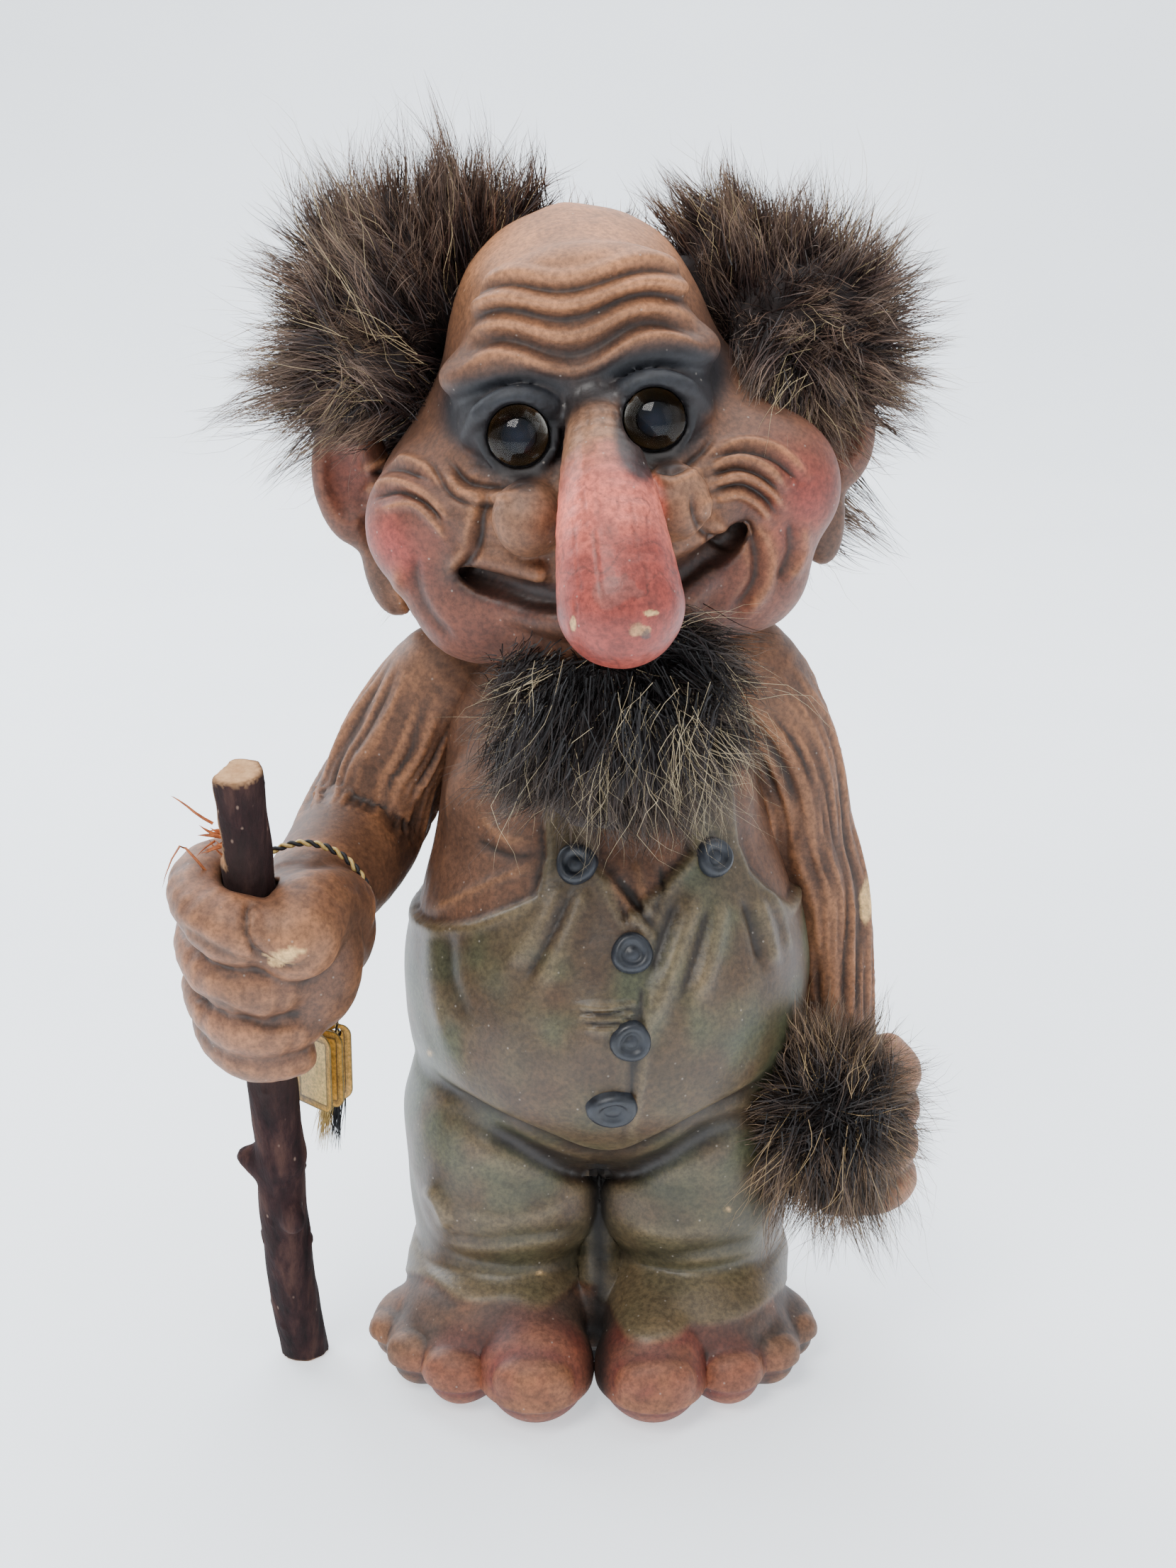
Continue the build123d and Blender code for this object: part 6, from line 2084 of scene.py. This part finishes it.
    def body_hairs(self, rng: np.random.Generator, count: int) -> tuple[Array, Array, Array]:
        """Roots, tips and curls of the shorter hairs all over the bodies, laid the way that the locks run.

        Args:
            rng: The seeded source of chance.
            count: How many to make.

        Returns:
            Roots, tips and curls.
        """
        sizes = np.array([row[3] * row[5] + row[4] * row[5] for row in self.bodies])
        counts = rng.multinomial(count // self.clump_size, sizes / sizes.sum())
        roots, tips = [], []
        for row, number in zip(self.bodies, counts):
            out = unit(rng.normal(0, 1, (number, 3)))
            start = np.array(row[:3]) + out * np.array(row[3:6]) / 2 * self.core
            lean = unit(out * 0.6 + self.comb(start) + rng.normal(0, 0.25, (number, 3)))
            roots.append(start)
            tips.append(start + lean * rng.uniform(*self.under, (number, 1)))
        start, end = np.concatenate(roots), np.concatenate(tips)
        curl = self.curls(rng, len(start))
        pick = np.repeat(np.arange(len(start)), self.clump_size)
        root = start[pick] + rng.normal(0, 2, (len(pick), 3))
        part = rng.uniform(0.55, 1.1, (len(pick), 1))
        tip = root + (end[pick] - root) * part + rng.normal(0, 0.55, (len(pick), 3))
        return root, tip, curl[pick]

    def clear(self, paths: Array) -> Array:
        """Which strands stay out of the places that are to be seen bare.

        Args:
            paths: Places by strand and by step.

        Returns:
            True for each strand that stays.
        """
        keep = np.all(paths < self.farthest, axis=(1, 2)) & np.all(paths[..., 2] > self.lowest, axis=1)
        for row in self.keep_clear:
            inside = norm((paths - np.array(row[:3])) / np.array(row[3:6]), axis=2) < 1
            keep &= ~inside.any(axis=1)
        return keep

    def build(self, felt: Material, fur: Material) -> None:
        """Makes the base, the fur and the guard hairs.

        Args:
            felt: The felt's material.
            fur: The hairs' material.
        """
        self.base(felt)
        rng = np.random.default_rng(self.seed)
        under = self.body_hairs(rng, int(self.hairs * self.under_share))
        upper = self.lock_hairs(rng, int(self.hairs * (1 - self.under_share)), (0.5, 1.02), self.spread)
        roots, tips, curl = [np.concatenate(pair) for pair in zip(under, upper)]
        paths = self.grow(rng, roots, tips, curl, self.wave)
        tones = rng.uniform(0, 0.89, len(paths))
        radii = self.radius * rng.uniform(0.7, 1.25, len(paths))
        keep = self.clear(paths)
        strand_piece(f"{self.name}_fur", paths[keep], radii[keep], tones[keep], fur, Body.FIGURE,
                     (), 2)
        roots, tips, curl = self.lock_hairs(rng, self.guards, (0.7, self.guard_reach),
                                            self.spread * self.stray)
        curl = self.curls(rng, len(curl))
        paths = self.grow(rng, roots, tips, curl, self.wave * 2.4)
        pale = rng.uniform(0, 1, len(paths)) < self.pale_share
        tones = np.where(pale, rng.uniform(0.94, 1, len(paths)), 0.7)
        keep = self.clear(paths)
        radii = self.guard_radius * rng.uniform(0.7, 1.15, len(paths))
        strand_piece(f"{self.name}_guard_hairs", paths[keep], radii[keep], tones[keep], fur, Body.FIGURE)


@dataclass
class Eyes:
    """The two glass-like doll's eyes, set in the head's sockets."""

    head: Head = field(default_factory=Head)
    tilt: float = 12.0
    back_height: float = 1.6
    edge: float = 0.9
    dome: float = 2.9

    def build(self) -> None:
        """Gives each eye's back its iris and each dome its clear finish."""
        clear = ClearFinish().make()
        lean = math.radians(self.tilt)
        axis = np.array((0, -math.cos(lean), math.sin(lean))) @ self.head.axes()
        across = np.array((1, 0, 0)) @ self.head.axes()
        up = np.cross(axis, across)
        radius = self.head.eye_radius
        rim = self.back_height + self.edge
        arc = (radius**2 + self.dome**2) / (2 * self.dome)
        profile = [(radius * 0.99, self.back_height + 0.02), (radius, self.back_height + 0.3), (radius, rim)]
        for step in range(1, 15):
            angle = math.asin(radius / arc) * (1 - step / 15)
            profile.append((arc * math.sin(angle), rim + self.dome - arc * (1 - math.cos(angle))))
        for side, name in ((-1, "right"), (1, "left")):
            heart = self.head.world((self.head.eye_u(side), self.head.eye_v, self.head.eye_w))
            finish = EyeFinish(f"{name} iris", tuple(heart + axis * self.back_height), radius).make()
            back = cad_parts[f"{name}_eye_back"]
            back.data.materials.clear()
            back.data.materials.append(finish)
            points, sides = [], 48
            for ring_radius, height in profile:
                for k in range(sides):
                    angle = 2 * math.pi * k / sides
                    points.append(heart + axis * height
                                  + ring_radius * (across * math.cos(angle) + up * math.sin(angle)))
            points.append(heart + axis * (rim + self.dome))
            points.append(heart + axis * (self.back_height + 0.02))
            faces: list[list[int]] = []
            for ring in range(len(profile) - 1):
                a = ring * sides
                faces += [[a + k, a + (k + 1) % sides, a + sides + (k + 1) % sides, a + sides + k]
                          for k in range(sides)]
            last = (len(profile) - 1) * sides
            faces += [[last + k, last + (k + 1) % sides, len(points) - 2] for k in range(sides)]
            faces += [[(k + 1) % sides, k, len(points) - 1] for k in range(sides)]
            mesh_piece(f"{name}_eye_dome", np.array(points), faces, clear, Body.FIGURE,
                       (f"{name}_eye_lens",))


@dataclass
class TagCord:
    """The two-ply cord round the wrist, its knot, the drop to the tag and the frayed ends below."""

    route: tuple[Point, ...] = (
        (-55.6, -31, 93.4), (-49.2, -32, 97.2), (-45, -32.6, 104), (-44.8, -33, 112.4), (-49.4, -33.4, 119.8),
        (-56.8, -33.6, 123.2), (-64.6, -33.4, 121.2), (-70.6, -32.8, 115.4), (-72.2, -32.2, 107.2),
        (-69.6, -31.6, 99.6), (-63.8, -31.2, 94.6), (-57.7, -30.9, 92.9),
    )
    length: float = 85.8
    diameter: float = 1.5
    knot: Point = (-56.6, -30.4, 92.7)
    eyelet: Point = (-53.32, -26.66, 78.6)
    ply_pitch: float = 3.6

    def centreline(self) -> Array:
        """Points along the smooth spline that has the route as its control points.

        Returns:
            Rows of places.
        """
        curve = bpy.data.curves.new("cord_route", "CURVE")
        curve.dimensions = "3D"
        curve.resolution_u = 24
        spline = curve.splines.new("NURBS")
        spline.points.add(len(self.route) - 1)
        for point, place in zip(spline.points, self.route):
            point.co = (*(c * MM for c in place), 1)
        spline.order_u = 3
        spline.use_endpoint_u = True
        holder = bpy.data.objects.new("cord_route", curve)
        mesh = bpy.data.meshes.new_from_object(holder)
        places = np.array([vertex.co[:] for vertex in mesh.vertices]) / MM
        bpy.data.objects.remove(holder)
        return places

    def plies(self, line: Array, offset: float) -> Pair:
        """Two strands laid round a line as steps of places, one opposite the other.

        Args:
            line: The cord's middle.
            offset: How far a strand runs from it.

        Returns:
            Each strand's places.
        """
        steps = norm(np.diff(line, axis=0), axis=1)
        run = np.concatenate([[0], np.cumsum(steps)])
        fine = np.linspace(0, run[-1], max(int(run[-1] / 0.28), 8))
        line = np.stack([np.interp(fine, run, line[:, k]) for k in range(3)], axis=1)
        tangent = unit(np.gradient(line, axis=0))
        across = unit(np.cross(tangent[0], (0.3, 1, 0.2)))
        frames = []
        for direction in tangent:
            across = unit(across - direction * (across @ direction))
            frames.append(across)
        across = np.array(frames)
        other = np.cross(tangent, across)
        turn = (2 * math.pi * fine / self.ply_pitch)[:, None]
        helix = across * np.cos(turn) + other * np.sin(turn)
        return line + helix * offset, line - helix * offset

    def rope(self, name: str, line: Array, width: float, threads: tuple[Material, Material],
             body: Body, replaces: tuple[str, ...]) -> Piece:
        """Makes a twisted two-ply cord along a line.

        Args:
            name: The object's name.
            line: The cord's middle.
            width: Its thickness.
            threads: The two strands' materials.
            body: The body that it rides on.
            replaces: The CAD nodes that it stands for.

        Returns:
            The new object.
        """
        points, faces, count = [], [], 0
        for path in self.plies(line, width * 0.25):
            made, quads, _ = strand_mesh(path[None], np.array([width * 0.27]), 8, 0)
            points.append(made)
            faces.append(quads + count)
            count += len(made)
        piece = mesh_piece(name, np.concatenate(points), np.concatenate(faces), threads[0], body,
                           replaces)
        piece.data.materials.append(threads[1])
        half = len(faces[0])
        piece.data.polygons.foreach_set("material_index", [0] * half + [1] * len(faces[1]))
        return piece

    def build(self, gold: Material, black: Material) -> None:
        """Makes the loop, the knot, the drop and the frayed ends.

        Args:
            gold: The gold thread's material.
            black: The black thread's material.
        """
        line = self.centreline()
        threads = (gold, black)
        loop = self.rope("tag_cord_loop", line, self.diameter, threads, Body.FIGURE, ("tag_cord",))
        heart = np.array(self.knot)
        turn = np.linspace(0, 2 * math.pi, 60)
        trefoil = heart + 0.62 * np.stack(
            [np.sin(turn) + 2 * np.sin(2 * turn), 0.9 * np.sin(3 * turn),
             np.cos(turn) - 2 * np.cos(2 * turn)], axis=1)
        knot = self.rope("cord_knot_wraps", trefoil, 1.25, threads, Body.FIGURE, ("cord_knot",))
        eyelet = np.array(self.eyelet)
        ring_angle = np.linspace(-math.pi, math.pi, 20)
        ring = eyelet + (0, 0, 1.3) + 1.35 * np.stack(
            [0 * ring_angle, np.sin(ring_angle), np.cos(ring_angle)], axis=1)
        start = heart + unit(eyelet - heart) * 2.7
        hang = np.linspace(start, eyelet + (0, 0, 2.65), 10)
        self.rope("cord_drop_twist", np.concatenate([hang, ring[8:], ring[:8]]), 0.75, (black, gold),
                  Body.TAG, ("cord_drop",))
        rng = np.random.default_rng(29)
        for colour_name, thread, drift, count in (("gold", gold, -3.6, 70), ("black", black, -1.4, 60)):
            root = eyelet + (0.3 * (drift + 2.5), 0.7, -0.3)
            paths = []
            for _ in range(count):
                end = root + (drift + rng.normal(0, 0.75), 0.4 + rng.normal(0, 0.35), -rng.uniform(21, 28))
                t = np.linspace(0, 1, 8)[:, None]
                side = rng.normal(0, 0.5, 3) * (1, 0.5, 0)
                paths.append(root + rng.normal(0, 0.25, 3) + (end - root) * t + side * np.sin(t * 5 + drift))
            strand_piece(f"cord_end_{colour_name}", np.array(paths), np.full(count, 0.24), None, thread,
                         Body.TAG, ("cord_ends",))


@dataclass
class Tag:
    """The small folded booklet: two covers and a leaf between, fanned open about their spine."""

    spine: Point = (-62.8, -26, 63.5)
    width: float = 12.5
    height: float = 17.0
    sheet: float = 0.3
    corner: float = 2.6
    inner: float = 1.6
    eyelet: tuple[float, float] = (9.5, 15.1)
    eyelet_radius: float = 1.0

    def leaf(self, name: str, turn: float, inner: float, body: Body, finish: Material, node: str,
             panel: Colour, hole: bool = False) -> None:
        """Makes one leaf with rounded outer corners, a printed border and a plain panel.

        Args:
            name: The object's name.
            turn: The leaf's turn about the spine, in degrees.
            inner: How far from the spine it starts.
            body: The body that it rides on.
            finish: The printed card.
            node: The CAD node that it stands for.
            panel: The colour inside the border.
            hole: True for a leaf with the cord's eyelet.
        """
        lean = math.radians(turn)
        along = np.array((math.cos(lean), math.sin(lean), 0))
        out = np.array((math.sin(lean), -math.cos(lean), 0))
        rows, columns = 86, 60
        places, sides = [], []
        for level in (0.5, -0.5):
            for row in range(rows):
                y = self.height * row / (rows - 1)
                near = min(y, self.height - y)
                limit = self.width
                if near < self.corner:
                    limit -= self.corner - math.sqrt(max(self.corner**2 - (self.corner - near) ** 2, 0))
                x = inner + (limit - inner) * np.arange(columns) / (columns - 1)
                curl = 0.25 * np.sin(math.pi * y / self.height) * (x / self.width) ** 2
                places.append(np.array(self.spine) + x[:, None] * along + np.array((0, 0, y))
                              + (level * self.sheet + curl * 0.4)[:, None] * out)
                corner_gap = np.minimum(limit - x, near)
                sides.append(np.stack([x, np.full(columns, y), corner_gap], axis=1))
        points, local = np.concatenate(places), np.concatenate(sides)
        faces = []
        for side in (0, 1):
            base = side * rows * columns
            grid = base + np.arange(rows * columns).reshape(rows, columns)
            a, b = grid[:-1, :-1].ravel(), grid[:-1, 1:].ravel()
            c, d = grid[1:, 1:].ravel(), grid[1:, :-1].ravel()
            quads = np.stack([a, b, c, d] if side == 0 else [d, c, b, a], axis=1)
            if hole:
                heart = local[quads, :2].mean(axis=1)
                quads = quads[norm(heart - self.eyelet, axis=1) > self.eyelet_radius]
            faces.append(quads)
        grid = np.arange(rows * columns).reshape(rows, columns)
        rim = np.concatenate([grid[0], grid[1:, -1], grid[-1, -2::-1], grid[-2::-1, 0]])
        below = rim + rows * columns
        faces.append(np.stack([rim[:-1], below[:-1], below[1:], rim[1:]], axis=1))
        skin = Skin(points, np.concatenate(faces))
        gap = np.minimum(local[:, 2], local[:, 0] - inner + 0.6)
        skin.tint(CARD_FRAME)
        skin.tint(panel, ease(1.55, 1.7, gap))
        skin.tint(CARD_LINE, bell(gap - 1.5, 0.16))
        skin.tint(CARD_SHADE, bell(gap - 1.05, 0.2) * 0.5)
        skin.tint(CARD_EDGE, (1 - ease(0.1, 0.4, gap)) * 0.85)
        skin.gloss[:] = 0.55
        skin.make(name, finish, body, "gold_card", (node,))

    def build(self, finish: Material) -> None:
        """Makes the leaves and the rounded spine.

        Args:
            finish: The printed card's material.
        """
        self.leaf("tag_back_card", -4, 0, Body.TAG, finish, "tag_back_cover", CARD_GOLD, True)
        self.leaf("tag_leaf_card", -27, self.inner, Body.LEAF, finish, "tag_inner_leaf", CARD_GOLD)
        self.leaf("tag_front_card", -44, self.inner, Body.FRONT, finish, "tag_front_cover", CARD_CREAM)
        clay = Clay((-65.5, -28.6, 62.3), (-60.1, -23.4, 81.7), 0.2)
        low, high = np.array(self.spine) + (0, 0, 0.3), np.array(self.spine) + (0, 0, self.height - 0.3)
        window, places = clay.window(np.array((-65.5, -28.6, 62.3)), np.array((-60.1, -23.4, 81.7)))
        round_part = norm(places[..., :2] - low[:2], axis=-1) - 0.85
        ends = np.maximum(low[2] - places[..., 2], places[..., 2] - high[2])
        clay.join(window, np.maximum(round_part, ends), 0.2)
        skin = Skin(*clay.skin())
        skin.tint(CARD_FOLD)
        near_end = np.minimum(skin.points[:, 2] - low[2], high[2] - skin.points[:, 2]) < 0.4
        skin.tint(CARD_EDGE, near_end * 0.8)
        skin.make("tag_spine_fold", finish, Body.TAG, "gold_card", ("tag_back_cover",))


RIGHT_HAIR = FurPiece(
    "right_hair", "fur",
    bodies=((-43, 8, 222, 42, 46, 46), (-24, 19, 232, 34, 26, 32)),
    locks=(
        (-46, 4, 232, -56.5, 4, 253.5, 8), (-40, 8, 234, -42, 6, 257, 9), (-30, 14, 236, -32, 8, 263, 9),
        (-20, 18, 236, -18.5, 16, 253, 8), (-14, 18, 234, -5, 17, 248, 6), (-50, 6, 222, -68, 2, 233, 8),
        (-50, 4, 214, -72, 0, 216, 9), (-50, 4, 208, -73.5, 2, 204, 8.5), (-48, 8, 204, -68, 8, 192, 7),
        (-44, -8, 226, -52, -14, 244, 8), (-42, -10, 214, -50, -18, 222, 8), (-44, -6, 206, -54, -12, 200, 6),
    ),
    seed=3, keep_clear=((-4, -24, 206, 31, 32, 40), (0, 0, 225, 22, 30, 24)),
)
LEFT_HAIR = FurPiece(
    "left_hair", "fur",
    bodies=((42, 4, 218.5, 42, 46, 45), (27, 16, 228, 32, 26, 32)),
    locks=(
        (24, 14, 234, 13, 13, 247, 6), (30, 10, 232, 27, 8, 250, 8), (40, 6, 230, 40, 4, 246.5, 9),
        (48, 6, 226, 55, 4, 242, 9), (50, 4, 222, 63, 2, 231, 8.5), (50, 4, 214, 68, 1, 216, 9),
        (48, 6, 208, 66, 5, 200.5, 8), (34, -16, 212, 27, -27, 200, 6), (38, -14, 210, 37, -26, 196, 6),
        (44, -10, 212, 52, -18, 202, 7), (42, -10, 222, 46, -20, 226, 8),
    ),
    seed=5, keep_clear=((0, -24, 206, 25, 30, 40), (0, 0, 225, 20, 30, 24)),
)
BACK_HAIR = FurPiece(
    "back_hair", "fur",
    bodies=((0, 33, 205, 92, 28, 62), (0, 31, 182, 84, 24, 40)),
    locks=(
        (-24, 34, 172, -30, 36, 154, 8), (0, 36, 174, -1, 39, 152, 9), (24, 34, 174, 28, 36, 155, 8),
        (-34, 38, 206, -42, 46, 190, 9), (-16, 40, 214, -20, 49, 196, 9), (4, 41, 208, 5, 50, 188, 9),
        (24, 40, 214, 28, 48, 196, 9), (38, 36, 204, 46, 43, 188, 8.5), (-32, 32, 178, -46, 30, 160, 8),
        (-12, 35, 176, -16, 38, 156, 9), (12, 35, 176, 14, 38, 155, 9), (34, 30, 180, 44, 32, 162, 8),
        (42, 24, 186, 60.5, 20, 174, 8), (-40, 26, 196, -60, 24, 184, 8), (-20, 34, 226, -24, 38, 240, 8),
        (4, 34, 228, 6, 40, 238, 8), (24, 32, 224, 28, 38, 236, 8),
    ),
    seed=7, radius=0.16,
)
BEARD = FurPiece(
    "beard", "dark_fur",
    bodies=((3.5, -47, 150, 50, 24, 38), (1.5, -49, 140, 36, 22, 28)),
    locks=(
        (-8, -48, 156, -25, -52, 147, 7), (-10, -52, 152, -20, -56, 137, 8), (-6, -54, 150, -12, -58, 130, 9),
        (0, -55, 150, -3, -58, 127, 9), (6, -55, 150, 6, -57, 126, 9), (12, -54, 150, 15, -57, 127, 9),
        (16, -52, 152, 24, -54, 131, 8), (18, -50, 155, 31, -51, 138, 8), (18, -48, 160, 34, -50, 148, 7),
        (18, -46, 164, 38, -46, 160, 6), (14, -46, 166, 30, -46, 171, 5), (-14, -46, 160, -24, -49, 158, 5),
    ),
    seed=11, wave=1.6, droop=0.3, guards=1000, radius=0.12, guard_reach=1, core=0.64, pale_share=0.8,
    stray=2.3, guard_radius=0.055, clumps=2.6, longest=0.7, lowest=128,
    keep_clear=(
        (1, -66, 184, 14, 15, 21), (-16, -50, 190, 20, 30, 21), (20, -50, 196, 24, 30, 21),
        (-13, -54, 123, 13, 18, 12),
    ),
)
TUFT = FurPiece(
    "tail_tuft", "dark_fur",
    bodies=((48.5, -29, 62, 27, 23, 34),),
    locks=(
        (44, -29, 64, 31, -26, 57, 7), (43, -30, 58, 33, -26, 38, 7), (45, -30, 56, 38, -26, 28, 7),
        (49, -31, 56, 48, -28, 29, 8), (53, -30, 56, 60, -26, 31, 8), (55, -28, 56, 66, -23, 26, 7),
        (46, -29, 70, 41, -27, 84, 7), (52, -30, 70, 55, -29, 82, 6), (54, -29, 66, 68, -25, 65, 7),
        (55, -29, 60, 67, -26, 50, 7),
    ),
    seed=13, wave=1.1, droop=0.6, guards=420, hairs=12000, core=0.6, guard_reach=1.18, stray=1.9,
)


@dataclass
class Stage:
    """The pale floor that runs up into a plain backdrop, the soft lights and the camera."""

    span: float = 3.2
    depth: float = 1.6

    def camera(self) -> None:
        """Sets the camera where the photographer stood."""
        data = bpy.data.cameras.new("camera")
        data.lens = LENS_MM
        data.sensor_width = 36.0
        data.clip_start = 0.01
        holder = placed("camera", data)
        holder.location = CAMERA * MM
        holder.rotation_euler = (math.pi / 2 - CAMERA_TILT, 0, 0)
        bpy.context.scene.camera = holder

    def floor(self) -> None:
        """Makes the floor and backdrop as one sweep."""
        finish = GrainFinish("pale paper", colour(232, 237, 242), colour(240, 244, 248), 6, rough=0.75,
                             depth=0.0002).make()
        glow = finish.node_tree.nodes["Principled BSDF"].inputs
        glow["Emission Color"].default_value = (0.9, 0.95, 1, 1)
        glow["Emission Strength"].default_value = 0.8
        rows = []
        for step in range(40):
            t = step / 39
            if t < 0.5:
                rows.append((-self.depth + (self.depth + 1) * t * 2, 0))
            elif t < 0.75:
                turn = (t - 0.5) * 4 * math.pi / 2
                rows.append((1 + 0.6 * math.sin(turn), 0.6 - 0.6 * math.cos(turn)))
            else:
                rows.append((1.6, 0.6 + (t - 0.75) * 8))
        points = [(x, y, z) for y, z in rows for x in (-self.span, self.span)]
        faces = [[2 * k, 2 * k + 1, 2 * k + 3, 2 * k + 2] for k in range(len(rows) - 1)]
        mesh = bpy.data.meshes.new("backdrop")
        mesh.from_pydata(points, [], faces)
        mesh.polygons.foreach_set("use_smooth", [True] * len(faces))
        mesh.materials.append(finish)
        placed("backdrop", mesh)

    def light(self, name: str, place: Point, target: Point, size: float, watts: float, tone: Colour) -> None:
        """Hangs one soft light.

        Args:
            name: The lamp's name.
            place: Where it hangs, in metres.
            target: What it points at.
            size: Its width.
            watts: Its power.
            tone: Its colour.
        """
        data = bpy.data.lights.new(name, "AREA")
        data.size = size
        data.energy = watts
        data.color = tone
        holder = placed(name, data)
        holder.location = place
        holder.rotation_euler = (Vector(target) - Vector(place)).to_track_quat("-Z", "Y").to_euler()

    def build(self) -> None:
        """Makes the floor, the lights and the sky."""
        self.floor()
        middle = (0, 0, 0.13)
        self.light("key", (-0.4, -0.8, 1.15), middle, 0.6, 13, (1, 0.985, 0.96))
        self.light("fill", (0.95, -0.7, 0.6), middle, 1.1, 3, (0.95, 0.97, 1))
        self.light("rim", (-0.8, 0.7, 0.75), middle, 0.7, 12, (0.88, 0.94, 1))
        self.light("top", (0.15, 0.35, 1.3), middle, 1.2, 18, (0.97, 0.98, 1))
        world = bpy.data.worlds.new("sky")
        world.use_nodes = True
        world.node_tree.nodes["Background"].inputs["Color"].default_value = (0.86, 0.9, 0.95, 1)
        world.node_tree.nodes["Background"].inputs["Strength"].default_value = 0.7
        bpy.context.scene.world = world


def build_figure() -> None:
    """Makes every piece of the figure in order."""
    cord = TagCord()
    gold_thread = GrainFinish("gold thread", colour(168, 134, 66), colour(226, 196, 124), 1500, (1, 1, 0.4),
                              0.45, 0.00008).make()
    black_thread = GrainFinish("black thread", colour(10, 10, 12), colour(34, 34, 38), 1500, (1, 1, 0.4), 0.6,
                               0.00008).make()
    cord.build(gold_thread, black_thread)
    log.info("cord made")
    painted = PaintedCasting("painted casting").make()
    button = GrainFinish("button paint", colour(22, 25, 30), colour(44, 48, 56), 420, rough=0.42,
                         depth=0.00012).make()
    Torso().build(painted, button)
    log.info("body made")
    Head().build(painted)
    log.info("head made")
    RightArm().build(painted)
    LeftArm().build(painted)
    Tail().build(painted)
    log.info("arms and tail made")
    Eyes().build()
    bark = BarkFinish().make()
    splinter = GrainFinish("torn wood", colour(128, 62, 30), colour(198, 116, 62), 900, (1, 1, 0.3),
                           0.7).make()
    Staff().build(bark, splinter)
    log.info("staff made")
    card = PaintedCasting("printed card", grain=1600, mottle=300, grain_depth=0.00003).make()
    Tag().build(card)
    log.info("tag made")
    felt = GrainFinish("felted roots", colour(26, 20, 20), colour(48, 38, 36), 900, rough=0.9,
                       depth=0.0004).make()
    fur = FurFinish("grey brown fur", colour(26, 19, 20), colour(74, 57, 52), colour(148, 125, 108),
                    colour(196, 174, 134)).make()
    dark = FurFinish("dark fur", colour(14, 11, 12), colour(38, 31, 31), colour(88, 75, 66),
                     colour(204, 186, 150)).make()
    tawny = FurFinish("tail fur", colour(12, 9, 10), colour(50, 38, 33), colour(134, 110, 88),
                      colour(176, 148, 108)).make()
    for piece, finish in ((RIGHT_HAIR, fur), (LEFT_HAIR, fur), (BACK_HAIR, fur), (BEARD, dark),
                          (TUFT, tawny)):
        piece.build(felt, finish)
        log.info("%s made", piece.name)
    plug = GrainFinish("plug", colour(20, 20, 21), colour(44, 43, 42), 500, rough=0.75).make()
    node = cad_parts["base_plug"]
    node.data.materials.clear()
    node.data.materials.append(plug)


def main() -> None:
    """Builds the stage and the figure."""
    logging.basicConfig(level=logging.INFO, format="%(message)s")
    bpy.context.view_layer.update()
    stage = Stage()
    stage.camera()
    build_figure()
    stage.build()
    log.info("sizes written")


if __name__ == "__main__":
    main()
